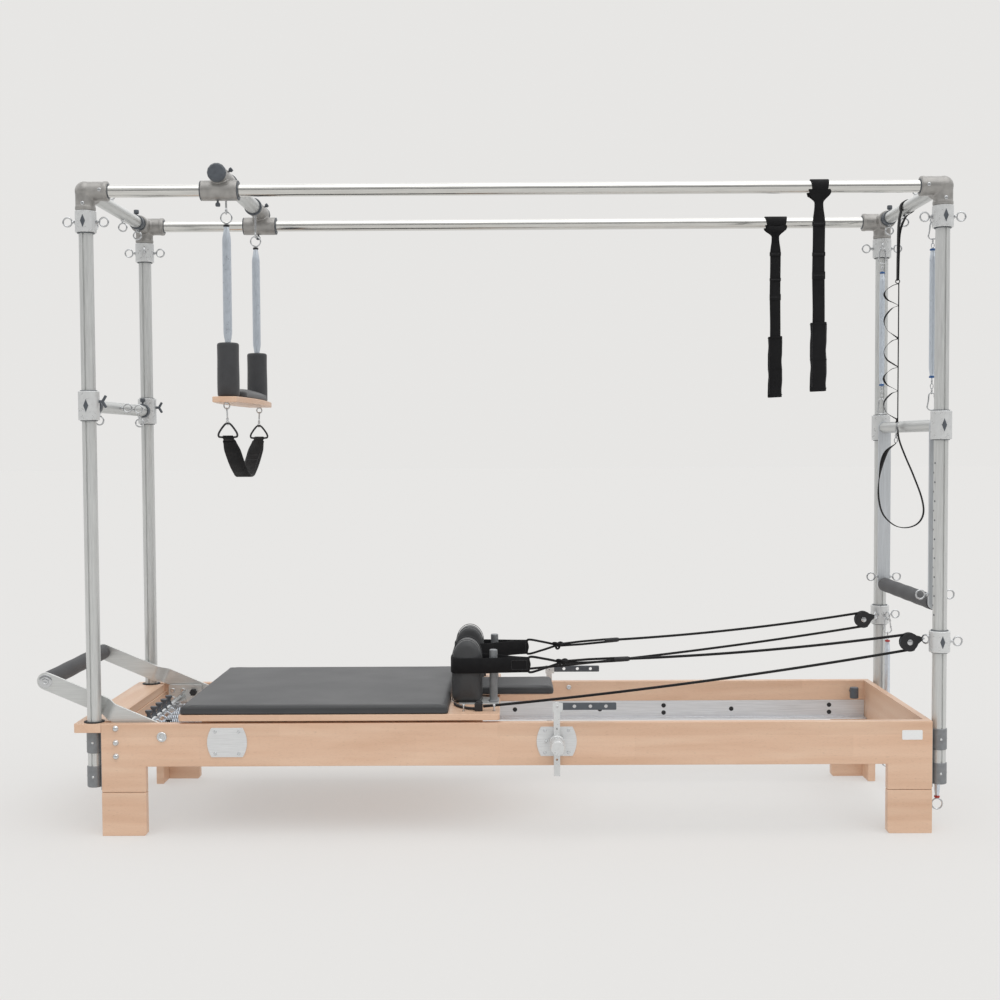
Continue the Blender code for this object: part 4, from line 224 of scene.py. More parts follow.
def facing_end(centre):
    """An outline's X runs along Y and its Y points up: the plane of the bed's ends."""
    turn = Matrix(((0, 0, 1, 0), (1, 0, 0, 0), (0, 1, 0, 0), (0, 0, 0, 1)))
    return Matrix.Translation(centre) @ turn


def arc(centre, radius, start, end, steps):
    """Points along an arc, from one angle to another in degrees."""
    turns = [math.radians(start + (end - start) * step / steps) for step in range(steps + 1)]
    return [(centre[0] + radius * math.cos(turn), centre[1] + radius * math.sin(turn))
            for turn in turns]


def rounded(low, high, corner, steps, radius=None):
    """The outline of a rectangle whose corners are arcs."""
    line = []
    for x_way, y_way, turn in ((1, 1, 0), (-1, 1, 90), (-1, -1, 180), (1, -1, 270)):
        centre = ((high[0] if x_way > 0 else low[0]) - x_way * corner,
                  (high[1] if y_way > 0 else low[1]) - y_way * corner)
        line += arc(centre, radius or corner, turn, turn + 90, steps)
    return line


def placed(name, shape, finish):
    """Turn a shape, drawn about the bed's middle, into an object of the scene."""
    bmesh.ops.recalc_face_normals(shape, faces=shape.faces)
    mesh = bpy.data.meshes.new(name)
    shape.to_mesh(mesh)
    shape.free()
    mesh.transform(Matrix.Translation((bed_middle, 0, 0)))
    made = bpy.data.objects.new(name, mesh)
    bpy.context.scene.collection.objects.link(made)
    mesh.materials.append(finish)
    mesh.shade_smooth()
    return made


def make(name, shape, finish, body="frame", cad=None, round_by=0.0, sharp=38,
         rounds=2):
    """A finished piece that rides on its body and stands in for a CAD node, if it has one."""
    made = placed(name, shape, finish)
    if round_by:
        edge = made.modifiers.new("rounded_edges", "BEVEL")
        edge.width = round_by
        edge.segments = rounds
        edge.limit_method = "ANGLE"
        edge.angle_limit = math.radians(sharp)
        edge.harden_normals = True
    else:
        made.data.set_sharp_from_angle(angle=math.radians(sharp))
    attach(made, body)
    if cad:
        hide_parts(cad)
    return made


beech_along = beech("beech_rail", "x")
beech_across = beech("beech_end_board", "y")

for side, way in both_sides:
    rail = bmesh.new()
    inner_leg = half_bed - leg_width
    profile = [(-half_bed, leg_seam + seam), (-inner_leg, leg_seam + seam),
               (-inner_leg, rail_bottom), (inner_leg, rail_bottom),
               (inner_leg, leg_seam + seam), (half_bed, leg_seam + seam),
               (half_bed, rail_top), (-half_bed, rail_top)]
    middle = way * (half_width - board_thickness / 2)
    add_slab(rail, [profile], board_thickness, facing_side((0, middle, 0)))
    for end, tip in both_ends:
        returns = sorted((tip * (half_bed - board_thickness), tip * half_bed))
        across = sorted((way * rail_face, way * (half_width - leg_return)))
        add_box(rail, (returns[0], across[0], leg_seam + seam),
                (returns[1], across[1], rail_bottom - seam))
    make("side_frame_" + side + "_board", rail, beech_along, cad="side_frame_" + side,
         round_by=0.0025)
    for end, tip in both_ends:
        riser = bmesh.new()
        toe = 0.006
        foot_profile = [(tip * (inner_leg + toe), 0), (tip * half_bed, 0),
                        (tip * half_bed, leg_seam), (tip * inner_leg, leg_seam),
                        (tip * inner_leg, toe)]
        add_slab(riser, [foot_profile], board_thickness, facing_side((0, middle, 0)))
        returns = sorted((tip * (half_bed - board_thickness), tip * (half_bed - seam)))
        across = sorted((way * (rail_face + seam), way * (half_width - leg_return)))
        add_box(riser, (returns[0], across[0], 0.001), (returns[1], across[1], leg_seam))
        make("leg_riser_" + end + "_" + side, riser, beech_along, round_by=0.0018)


# End boards: the foot end's board carries a thicker platform that is bored for the posts
# and has dark rubber grommets in the bores. The head end's board is plain.
end_board = 0.02
platform_low = 0.297
platform_edge = 0.078
platform_lip = 0.017
platform_shoulder = 0.299
post_span = 1.21
post_gauge = 0.31
grommet_outer = 0.028
post_radius = 0.02


def skin(shape, rings, closed=False, capped=False):
    """Faces between each ring of points and the next. A ring of one point is a pole."""
    for below, above in zip(rings, rings[1:] + rings[:1] if closed else rings[1:]):
        for k in range(max(len(below), len(above))):
            corners = [below[k % len(below)], below[(k + 1) % len(below)],
                       above[(k + 1) % len(above)], above[k % len(above)]]
            shape.faces.new([c for i, c in enumerate(corners) if c not in corners[:i]])
    if capped:
        shape.faces.new(rings[0][::-1])
        shape.faces.new(rings[-1])


def add_lathe(shape, profile, foot, axis, sides=40, closed=False):
    """A profile of (radius, height) turned about an axis through the foot."""
    place = Matrix.Translation(foot) @ up.rotation_difference(Vector(axis)).to_matrix().to_4x4()
    turns = [2 * math.pi * k / sides for k in range(sides)]
    skin(shape, [[shape.verts.new(place @ Vector((radius * math.cos(turn),
                                                  radius * math.sin(turn), height)))
                  for turn in (turns if radius > 0.00001 else turns[:1])]
                 for radius, height in profile], closed)


def speckled(name, colour, roughness, metallic=0.0, scale=60.0, depth=0.1, spread=0.12):
    """A plain finish with the fine mottling of moulded plastic, paint or cast metal."""
    made, tree, shader = surface(name, colour, roughness, metallic)
    grain = stretched_noise(tree, (1, 1, 1), scale, 5.0)
    follow(tree, shader, grain,
           ((0.3, shade(colour, 1 - spread)), (0.7, shade(colour, 1 + spread))),
           ((0.3, roughness - 0.05), (0.7, roughness + 0.07)))
    bump(tree, shader, stretched_noise(tree, (1, 1, 1), scale * 12, 2.0), depth, 0.0004)
    return made


dark_slate = speckled("dark_slate_plastic",
        (0.082, 0.093, 0.108), 0.45, scale=90.0)
black_rubber = speckled("black_rubber",
        (0.016, 0.016, 0.018), 0.6, scale=120.0)

deck = bmesh.new()
corner = 0.008
edge = -half_bed - platform_edge
outline = (arc((edge + corner, -half_width + corner), corner, 180, 270, 5)
           + [(-half_bed, -half_width), (-half_bed, -platform_shoulder),
              (-half_bed + platform_lip, -platform_shoulder),
              (-half_bed + platform_lip, platform_shoulder), (-half_bed, platform_shoulder),
              (-half_bed, half_width)]
           + arc((edge + corner, half_width - corner), corner, 90, 180, 5))
bores = [arc((-post_span, way * post_gauge), grommet_outer - 0.002, 360, 0, 40)[:-1]
         for side, way in both_sides]
add_slab(deck, [outline] + bores, rail_top - platform_low,
         Matrix.Translation((0, 0, (rail_top + platform_low) / 2)))
make("foot_platform", deck, beech_across, cad="foot_end_deck", round_by=0.003)

for end, tip in both_ends:
    panel = bmesh.new()
    top = platform_low - seam if end == "foot" else rail_top
    faces = sorted((tip * half_bed, tip * (half_bed - end_board)))
    add_box(panel, (faces[0], -rail_face + seam, rail_bottom), (faces[1], rail_face - seam, top))
    make(end + "_end_panel", panel, beech_across, cad="head_end_board" if end == "head" else None,
         round_by=0.0015)

for side, way in both_sides:
    grommet = bmesh.new()
    lip = grommet_outer + 0.001
    profile = [(post_radius + 0.0004, -0.026), (post_radius + 0.0004, 0.0022),
               (post_radius + 0.003, 0.0034), (lip, 0.0026), (lip, 0.0002),
               (grommet_outer - 0.0022, 0.0002), (grommet_outer - 0.0022, -0.026)]
    add_lathe(grommet, profile, (-post_span, way * post_gauge, rail_top), up, closed=True)
    make("post_grommet_" + side, grommet, black_rubber)


# Rail fittings: a blank aluminium plate on each rail with four screws, the cap nuts of the
# post bolts, the footbar's pivot bolts, and a bare white plate in the maker's place.
plate_thickness = 0.003
blank_plate_x = -0.822
plate_z = 0.2685
plate_half = 0.057
plate_bulge = 0.012
plate_half_height = 0.042
plate_screws = (0.0335, 0.0315)
cap_nut_x = -1.14
cap_nut_heights = (0.309, 0.268, 0.229)
pivot_x, pivot_z = -1.008, 0.285


def brushed(name, colour, roughness, metallic, along):
    """Metal with the fine straight lines of drawing or brushing along one axis."""
    made, tree, shader = surface(name, colour, roughness, metallic)
    lines = stretched_noise(tree, [1.5 if axis == along else 60 for axis in "xyz"], 9.0, 4.0)
    follow(tree, shader, lines, ((0.32, shade(colour, 0.9)), (0.68, shade(colour, 1.08))),
           ((0.3, roughness - 0.06), (0.7, roughness + 0.08)))
    bump(tree, shader, lines, 0.05, 0.0003)
    return made


def bulged_outline(half, bulge, half_height, steps=10):
    """A plate whose two ends swell outwards, with small round corners."""
    right = []
    for step in range(steps + 1):
        high = half_height * (2 * step / steps - 1)
        right.append((half - bulge + bulge * (1 - (high / half_height) ** 2), high))
    return right + [(-across, -high) for across, high in right]


def screw_head(shape, centre, axis, radius, height=0.0016):
    """A countersunk head with a hexagonal socket."""
    profile = [(0, height * 0.35), (radius * 0.38, height * 0.35), (radius * 0.42, height),
               (radius * 0.8, height), (radius, height * 0.25), (radius, -0.001), (0, -0.001)]
    add_lathe(shape, profile, centre, axis, 18)


def corner_screws(shape, x, y, way):
    for across in (-plate_screws[0], plate_screws[0]):
        for high in (-plate_screws[1], plate_screws[1]):
            screw_head(shape, (x + across, y, plate_z + high), (0, way, 0), 0.0046)


satin_plate = brushed("satin_plate",
        (0.74, 0.75, 0.755), 0.4, 0.3, "x")
bright_zinc = speckled("bright_zinc",
        (0.66, 0.68, 0.69), 0.22, 0.95, scale=150.0, depth=0.03,
                       spread=0.06)
white_enamel = speckled("white_enamel",
        (0.86, 0.87, 0.87), 0.35, scale=200.0, spread=0.02)

for side, way in both_sides:
    face = way * half_width
    plate = bmesh.new()
    add_slab(plate, [bulged_outline(plate_half, plate_bulge, plate_half_height)], plate_thickness,
             facing_side((blank_plate_x, face + way * plate_thickness / 2, plate_z)))
    make("blank_plate_" + side, plate, satin_plate, round_by=0.0008)
    screws = bmesh.new()
    corner_screws(screws, blank_plate_x, face + way * plate_thickness, way)
    make("blank_plate_screws_" + side, screws, bright_zinc)
    nuts = bmesh.new()
    for height in cap_nut_heights:
        profile = [(0.0088, 0), (0.0088, 0.0012), (0.0078, 0.0022), (0.0072, 0.004),
                   (0.005, 0.0062), (0.0, 0.007)]
        add_lathe(nuts, profile, (cap_nut_x, face, height), (0, way, 0), 24)
    profile = [(0.0142, 0), (0.0142, 0.003), (0.0128, 0.0042), (0.0085, 0.0044),
               (0.007, 0.0028), (0.0036, 0.0028), (0.003, 0.001), (0.0, 0.001)]
    add_lathe(nuts, profile, (pivot_x, face, pivot_z), (0, way, 0), 32)
    make("rail_bolts_" + side, nuts, bright_zinc)
stop_bolt = bmesh.new()
add_lathe(stop_bolt, [(0, 0), (0.0085, 0), (0.0085, 0.005), (0.0075, 0.006), (0, 0.006)],
          (0.18, rail_face, 0.303), (0, -1, 0), 6)
make("far_rail_bolt", stop_bolt, bright_zinc)

label = bmesh.new()
label_half = (0.029, 0.0138)
label_at = (1.124, -half_width - 0.0006, 0.2825)
add_slab(label, [rounded([-half for half in label_half], label_half, 0.003, 4)], 0.0012,
         facing_side(label_at))
make("bare_label_plate", label, white_enamel, round_by=0.0003)


# Tracks: anodised aluminium angles screwed to the inside of the rails. Their ledges carry
# the wheels. Black socket screws show on the web, in twos near the middle and the ends.
track_web = 0.058
track_ledge = 0.036
track_wall = 0.004
track_half = half_bed - end_board - 0.0006
track_screws = (-1.06, -0.72, -0.36, 0.0, 0.283, 0.72)
paired_screws = (0.495, 1.045)
anodised = brushed("anodised_track",
        (0.72, 0.73, 0.75), 0.36, 0.5, "x")

for side, way in both_sides:
    track = bmesh.new()
    outer = rail_face - 0.0003
    profile = [(way * across, high) for across, high in
               ((outer, rail_bottom), (outer, rail_bottom + track_web),
                (outer - track_wall, rail_bottom + track_web),
                (outer - track_wall, rail_bottom + track_wall),
                (outer - track_ledge, rail_bottom + track_wall),
                (outer - track_ledge, rail_bottom))]
    add_slab(track, [profile], 2 * track_half, facing_end((0, 0, 0)))
    make("track_angle_" + side, track, anodised, cad="track_" + side, round_by=0.0007)
    screws = bmesh.new()
    places = [(x, 0.03) for x in track_screws]
    places += [(x, height) for x in paired_screws for height in (0.018, 0.042)]
    for x, height in places:
        screw_head(screws, (x, way * (outer - track_wall), rail_bottom + height), (0, -way, 0),
                   0.0075)
    make("track_screws_" + side, screws, black_rubber)
    bumper = bmesh.new()
    add_lathe(bumper, [(0, 0), (0.0125, 0), (0.014, 0.0015), (0.014, 0.0345),
                       (0.012, 0.036), (0, 0.036)], (1.118, way * 0.276, 0.27), up, 32)
    stem = rail_face - 0.2762
    add_lathe(bumper, [(0, 0), (0.006, 0), (0.006, stem), (0, stem)], (1.118, way * 0.276, 0.288),
              (0, way, 0), 24)
    make("carriage_bumper_" + side, bumper, dark_slate, round_by=0.0008)


# Posts: four round drawn aluminium tubes with a slot down one side, held to the bed's
# ends by pairs of round clamps on a plate. The near right post carries a row of marks.
post_bottom = 0.137
top_tube_z = 1.832
elbow_drop = 0.055
clamp_heights = (0.1665, 0.265)
clamp_half = 0.0305
clamp_radius = 0.0225
slot_half = 0.0024
slot_depth = 0.0035
slot_turn = {"foot": -97, "head": -83}
mark_pitch = 0.027
mark_range = (0.62, 1.08)


def circle(centre, radius, steps=40):
    """A round hole for an outline, in the sense opposite to arc's."""
    return arc(centre, radius, 360, 0, steps)[:-1]


def add_plan(shape, loops, low, high):
    """A flat outline seen from above, between two heights."""
    add_slab(shape, loops, high - low, Matrix.Translation((0, 0, (low + high) / 2)))


def add_rod(shape, start, end, radius, sides=40, chamfer=0.0008):
    axis = Vector(end) - Vector(start)
    profile = [(0, 0), (radius - chamfer, 0), (radius, chamfer), (radius, axis.length - chamfer),
               (radius - chamfer, axis.length), (0, axis.length)]
    add_lathe(shape, profile, start, axis, sides)


def add_tube(shape, start, end, outer, inner, sides=48, lip=0.001):
    axis = Vector(end) - Vector(start)
    profile = [(inner, 0), (outer - lip, 0), (outer, lip), (outer, axis.length - lip),
               (outer - lip, axis.length), (inner, axis.length)]
    add_lathe(shape, profile, start, axis, sides, closed=True)


def hexagon(shape, start, end, across_flats):
    """A hexagonal head or nut whose outer corners are taken off."""
    radius = across_flats / math.sqrt(3)
    axis = Vector(end) - Vector(start)
    profile = [(0, 0), (radius, 0), (radius, axis.length * 0.8), (radius * 0.9, axis.length),
               (0, axis.length)]
    add_lathe(shape, profile, start, axis, 6)


satin_aluminium = brushed("satin_aluminium",
        (0.66, 0.67, 0.66), 0.36, 0.6, "z")
clamp_grey = speckled("clamp_grey",
        (0.24, 0.25, 0.26), 0.42, 0.35, scale=70.0)

for end, tip in both_ends:
    for side, way in both_sides:
        x, y = tip * post_span, way * post_gauge
        post = bmesh.new()
        turn = slot_turn[end]
        wall = math.degrees(math.asin(slot_half / post_radius))
        slot = math.radians(turn)
        inward = Vector((math.cos(slot), math.sin(slot)))
        aside = Vector((-inward.y, inward.x))
        floor_of_slot = [inward * (post_radius - slot_depth) + aside * reach
                         for reach in (-slot_half, slot_half)]
        outline = arc((x, y), post_radius, turn + wall, turn + 360 - wall, 56)
        outline += [(x + point.x, y + point.y) for point in floor_of_slot]
        add_plan(post, [outline], post_bottom, top_tube_z - elbow_drop + 0.029)
        make("post_tube_" + end + "_" + side, post, satin_aluminium,
             cad="post_" + end + "_" + side, sharp=30)
        clamps = bmesh.new()
        for height in clamp_heights:
            add_tube(clamps, (x, y, height - clamp_half), (x, y, height + clamp_half),
                     clamp_radius, post_radius + 0.0003, lip=0.0016)
            neck_x = sorted((tip * (half_bed + 0.0055), x - tip * post_radius))
            add_box(clamps, (neck_x[0], y - 0.012, height - clamp_half + 0.002),
                    (neck_x[1], y + 0.012, height + clamp_half - 0.002))
        plate_x = sorted((tip * (half_bed + 0.0004), tip * (half_bed + 0.0058)))
        add_box(clamps, (plate_x[0], y - 0.0185, clamp_heights[0] - clamp_half - 0.007),
                (plate_x[1], y + 0.0185, clamp_heights[1] + clamp_half - 0.001))
        make("post_clamps_" + end + "_" + side, clamps, clamp_grey, round_by=0.0008)
        bolts = bmesh.new()
        for height in clamp_heights:
            for out in (Vector((0, way, 0)), Vector((tip, 0, 0))):
                place = Vector((x, y, height)) + out * (clamp_radius - 0.0002)
                screw_head(bolts, place, out, 0.0036, 0.001)
        make("post_clamp_screws_" + end + "_" + side, bolts, bright_zinc)

marks = bmesh.new()
mark_count = int((mark_range[1] - mark_range[0]) / mark_pitch)
for step in range(mark_count):
    height = mark_range[0] + step * mark_pitch
    facing = Vector((-1, 0, 0)) if step % 2 else Vector((-0.94, -0.34, 0))
    place = Vector((post_span, -post_gauge, height)) + facing.normalized() * post_radius
    add_rod(marks, place - facing * 0.001, place + facing * 0.0002, 0.0028, 16, 0.0001)
make("post_height_marks", marks, dark_slate)


# Top arches: a satin cross tube with a three-way casting at each end, which holds the post
# and the polished top tube by set screws. Thin dark seals show where the tubes go in.
cross_radius = 0.019
elbow_radius = 0.0285
elbow_reach = 0.066
top_radius = 0.0175
clamp_ring_y = {"foot": 0.217, "head": 0.223}


def soften(piece, voxel, rounds):
    """Fuse a casting's overlapping sockets into one skin with small fillets."""
    fused = piece.modifiers.new("one_skin", "REMESH")
    fused.mode = "VOXEL"
    fused.voxel_size = voxel
    fused.use_smooth_shade = True
    ease = piece.modifiers.new("fillets", "SMOOTH")
    ease.factor = 0.5
    ease.iterations = rounds
    return piece


def add_ring(shape, centre, axis, major, minor, sides=40):
    profile = arc((major, 0), minor, 0, 360, 14)[:-1]
    add_lathe(shape, profile, centre, axis, sides, closed=True)


def add_eyebolt(shape, surface_point, direction, normal, major=0.0125, minor=0.0025,
                standoff=0.022):
    """A forged eye on a shank, with a hexagonal foot against the part it is screwed into."""
    root = Vector(surface_point)
    way_out = Vector(direction).normalized()
    centre = root + way_out * standoff
    add_ring(shape, centre, normal, major, minor)
    add_lathe(shape, [(0, 0), (0.0034, 0), (0.003, standoff - major - 0.003),
                      (0.0044, standoff - major), (0.0, standoff - major + 0.001)],
              root - way_out * 0.001, way_out, 20)
    hexagon(shape, root - way_out * 0.001, root + way_out * 0.0042, 0.0105)


cast_finish = speckled("cast_grey_metal",
        (0.36, 0.35, 0.335), 0.38, 0.5, scale=45.0,
                       depth=0.22, spread=0.16)
cross_finish = brushed("cross_tube_finish",
        (0.56, 0.57, 0.56), 0.34, 0.7, "y")
polished = brushed("polished_steel_tube",
        (0.66, 0.655, 0.63), 0.13, 1.0, "x")
hardware = speckled("polished_hardware",
        (0.6, 0.61, 0.62), 0.2, 1.0, scale=180.0, depth=0.02,
                    spread=0.05)
for end, tip in both_ends:
    x = tip * post_span
    arch = bmesh.new()
    span = post_gauge - elbow_reach + 0.012
    add_rod(arch, (x, -span, top_tube_z), (x, span, top_tube_z), cross_radius, 56)
    make(end + "_cross_tube", arch, cross_finish, cad=end + "_top_arch")
    seals = bmesh.new()
    screws = bmesh.new()
    for side, way in both_sides:
        corner_at = Vector((x, way * post_gauge, top_tube_z))
        mouths = ((-up, elbow_drop, post_radius), (Vector((-tip, 0, 0)), elbow_reach, top_radius),
                  (Vector((0, -way, 0)), elbow_reach, cross_radius))
        casting = bmesh.new()
        bmesh.ops.create_uvsphere(casting, u_segments=40, v_segments=24, radius=elbow_radius,
                                  matrix=Matrix.Translation(corner_at))
        for direction, reach, bore in mouths:
            lip = 0.0022
            add_lathe(casting, [(0, 0), (elbow_radius - 0.0012, 0),
                                (elbow_radius - 0.0012, reach - 0.012),
                                (elbow_radius, reach - 0.011), (elbow_radius, reach - lip),
                                (elbow_radius - lip, reach), (0, reach)],
                      corner_at, direction, 56)
            add_tube(seals, corner_at + direction * (reach - 0.001),
                     corner_at + direction * (reach + 0.0016), bore + 0.0032, bore + 0.0002)
            outside = (Vector((0, way, 0)) if abs(direction.y) < 0.5 else Vector((tip, 0, 0)))
            place = corner_at + direction * (reach - 0.018) + outside * (elbow_radius - 0.0002)
            screw_head(screws, place, outside, 0.0052, 0.001)
        piece = make("top_elbow_" + end + "_" + side, casting, cast_finish)
        soften(piece, 0.0019, 5)
    make(end + "_elbow_seals", seals, dark_slate)
    clamp_y = clamp_ring_y[end]
    add_rod(screws, (x, clamp_y, top_tube_z), (x, clamp_y, top_tube_z + cross_radius + 0.01),
            0.003, 16)
    make(end + "_elbow_screws", screws, hardware)
    band = bmesh.new()
    add_tube(band, (x, clamp_y - 0.01, top_tube_z), (x, clamp_y + 0.01, top_tube_z),
             cross_radius + 0.0038, cross_radius + 0.0002)
    knob_low = (x, clamp_y, top_tube_z + cross_radius + 0.007)
    profile = [(0, 0), (0.006, 0), (0.0085, 0.003), (0.0085, 0.011), (0.007, 0.0135), (0, 0.0135)]
    add_lathe(band, profile, knob_low, up, 12)
    make(end + "_clamp_ring", band, dark_slate, round_by=0.0005)
    eyes = bmesh.new()
    for place in (0.06, 0.225):
        add_eyebolt(eyes, (x, place, top_tube_z - cross_radius), (0, 0, -1), (0, 1, 0))
    add_eyebolt(eyes, (x, -0.052, top_tube_z + cross_radius - 0.001), (0, 0, 1), (0, 1, 0),
                0.0095, 0.0022, 0.0165)
    make(end + "_arch_eyes", eyes, hardware)

for side, way in both_sides:
    half = post_span - elbow_reach + 0.03
    tube = bmesh.new()
    add_rod(tube, (-half, way * post_gauge, top_tube_z), (half, way * post_gauge, top_tube_z),
            top_radius, 64)
    make("top_tube_" + side + "_polished", tube, polished, cad="top_tube_" + side)


# Collars: bored rings of silver painted aluminium with eyebolts and thin dark seals. Plain
# lozenges mark the near ones. The lower pair carry the pulleys and the lower springs.
collar_radius = 0.0295
top_collar = (1.7157, 1.7767)
low_collar = (0.5135, 0.5745)
right_collar = (1.1195, 1.2005)
spring_turn = 13.5
pulley_turn = 30.0
silver = speckled("silver_paint_finish",
        (0.7, 0.71, 0.71), 0.3, 0.35, scale=80.0, depth=0.08,
                  spread=0.05)


def add_badge(shape, x, y, z):
    """A small pointed lozenge set in the round wall of a collar, towards the near side."""
    outline = [(0, -0.0185), (0.007, 0), (0, 0.0185), (-0.007, 0)]
    face = y - collar_radius
    add_slab(shape, [outline], 0.003, facing_side((x, face + 0.0007, z)))


def inboard(x_way, y_way, turn):
    """The direction of an eye that points inwards and is turned towards the bed."""
    turned = math.radians(turn)
    return Vector((-x_way * math.sin(turned), -y_way * math.cos(turned), 0))


def collar_piece(name, x, y, heights, bore, body, cad):
    shape = bmesh.new()
    lip = 0.0015
    profile = [(bore, 0), (collar_radius - lip, 0), (collar_radius, lip),
               (collar_radius, heights[1] - heights[0] - lip),
               (collar_radius - lip, heights[1] - heights[0]), (bore, heights[1] - heights[0])]
    add_lathe(shape, profile, (x, y, heights[0]), up, 64, closed=True)
    make(name, shape, silver, body, cad)
    trim = bmesh.new()
    for low in (heights[0] - 0.0022, heights[1] + 0.0002):
        add_tube(trim, (x, y, low), (x, y, low + 0.002), post_radius + 0.0042, bore + 0.0001,
                 lip=0.0004)
    make(name + "_seals", trim, dark_slate, body)


for end, tip in both_ends:
    for side, way in both_sides:
        x, y = tip * post_span, way * post_gauge
        node_name = "top_collar_" + end + "_" + side
        collar_piece(node_name + "_ring", x, y, top_collar, post_radius + 0.0004, "frame",
                     node_name)
        eyes = bmesh.new()
        middle = sum(top_collar) / 2
        for direction in (Vector((-1, 0, 0)), Vector((1, 0, 0)), inboard(tip, way, spring_turn)):
            foot = Vector((x, y, middle)) + direction * collar_radius
            normal = direction.cross(up) if abs(direction.y) > 0.1 else (0, 1, 0)
            add_eyebolt(eyes, foot, direction, normal)
        make(node_name + "_eyes", eyes, hardware)

for side, way in both_sides:
    x, y = post_span, way * post_gauge
    collar_piece("low_collar_" + side + "_ring", x, y, low_collar, post_radius + 0.0004,
                 "frame", "low_collar_" + side)
    eyes = bmesh.new()
    middle = sum(low_collar) / 2
    for direction in (Vector((1, 0, 0)), inboard(1, way, pulley_turn),
                      inboard(1, way, -spring_turn)):
        foot = Vector((x, y, middle)) + direction * collar_radius
        normal = direction.cross(up) if abs(direction.y) > 0.1 else (0, 1, 0)
        add_eyebolt(eyes, foot, direction, normal)
    make("low_collar_" + side + "_eyes", eyes, hardware)
    collar_piece("right_mid_collar_" + side + "_ring", x, y, right_collar,
                 post_radius + 0.0004, "frame", "right_mid_collar_" + side)
badges = bmesh.new()
for x, heights in ((-post_span, top_collar), (post_span, top_collar), (post_span, right_collar),
                   (post_span, low_collar)):
    add_badge(badges, x, -post_gauge, sum(heights) / 2)
make("collar_badges", badges, dark_slate, round_by=0.0003)


# Left mid bar: a satin tube welded between two taller collars that slide on the foot posts.
# A black wing screw on each end ring clamps it at the wanted height.
left_collar = (1.186, 1.269)
left_bar_z = 1.2275
mid_radius = 0.018


def add_thumb_screw(shape, root, direction, stem=0.01, radius=0.0085, height=0.012):
    """A short stem under a scalloped plastic knob."""
    way_out = Vector(direction).normalized()
    add_rod(shape, root, Vector(root) + way_out * (stem + 0.002), 0.003, 14, 0.0004)
    profile = [(0, 0), (radius * 0.7, 0), (radius, height * 0.3), (radius, height * 0.85),
               (radius * 0.8, height), (0, height)]
    add_lathe(shape, profile, Vector(root) + way_out * stem, way_out, 10)


for side, way in both_sides:
    collar_piece("left_bar_collar_" + side, -post_span, way * post_gauge, left_collar,
                 post_radius + 0.0005, "left_mid_bar", "left_mid_bar" if way < 0 else None)
bar = bmesh.new()
reach = post_gauge - collar_radius + 0.004
add_rod(bar, (-post_span, -reach, left_bar_z), (-post_span, reach, left_bar_z), mid_radius, 56)
make("left_bar_tube", bar, cross_finish, "left_mid_bar")
trim = bmesh.new()
for way in (-1, 1):
    inner, outer = sorted((way * 0.246, way * 0.266))
    add_tube(trim, (-post_span, inner, left_bar_z), (-post_span, outer, left_bar_z),
             mid_radius + 0.0042, mid_radius + 0.0002)
    add_thumb_screw(trim, (-post_span, way * 0.256, left_bar_z + mid_radius), up)
for way in (-1, 1):
    hub = Vector((-post_span, way * post_gauge, left_bar_z + 0.012))
    add_rod(trim, hub + Vector((collar_radius - 0.002, 0, 0)), hub + Vector((0.041, 0, 0)), 0.0042,
            16)
    for turn in (-1, 1):
        wing = hub + Vector((0.039, 0, 0))
        add_rod(trim, wing, wing + Vector((0.01, 0, turn * 0.017)), 0.004, 14, 0.0016)
make("left_bar_rings", trim, dark_slate, "left_mid_bar", round_by=0.0005)
badge = bmesh.new()
add_badge(badge, -post_span, -post_gauge, left_bar_z)
make("left_bar_badge", badge, dark_slate, "left_mid_bar", round_by=0.0003)
eyes = bmesh.new()
for way in (-1, 1):
    add_eyebolt(eyes, (-post_span, way * 0.215, left_bar_z - mid_radius), (0, 0, -1), (0, 1, 0))
    add_eyebolt(eyes, (-post_span + mid_radius, way * 0.06, left_bar_z), (1, 0, 0), (0, 1, 0))
make("left_bar_eyes", eyes, hardware, "left_mid_bar")


# Push-through bar: two flat painted arms hang from a turning cross tube between the head
# posts, with a ribbed foam grip on the bar between their lower ends.
push_z = 1.16
push_length = 0.512
push_arm_y = 0.266
push_arm_half = 0.02
push_arm_thickness = 0.008
push_grip_radius = 0.022
grey = speckled("grey_paint_finish",
        (0.33, 0.34, 0.35), 0.42, 0.35, scale=80.0, depth=0.08,
                spread=0.08)
arm_finish = brushed("push_bar_arm_finish",
        (0.6, 0.625, 0.65), 0.36, 0.45, "z")


def foam(name, colour=(0.04, 0.041, 0.044)):
    """Closed-cell foam: matt, with fine pores darkened as painted shade and faint rings from the
    cutting.
    """
    made, tree, shader = surface(name, colour, 0.78, sheen=0.15)
    pores = stretched_noise(tree, (1, 1, 1), 420.0, 3.0)
    blotch = stretched_noise(tree, (1, 1, 1), 22.0, 3.0)
    tone = ramp(tree, blotch, (0.3, colour), (0.75, shade(colour, 1.55)))
    # painted shade: the pores are darkened in the colour
    tone = mixed(tree, "MULTIPLY", 0.6, tone, ramp(tree, pores, (0.3, 0.55), (0.48, 1.0)))
    tree.links.new(tone, shader.inputs["Base Color"])
    follow(tree, shader, blotch, None, ((0.3, 0.7), (0.7, 0.86)))
    bump(tree, shader, pores, 0.35, 0.0008)
    return made


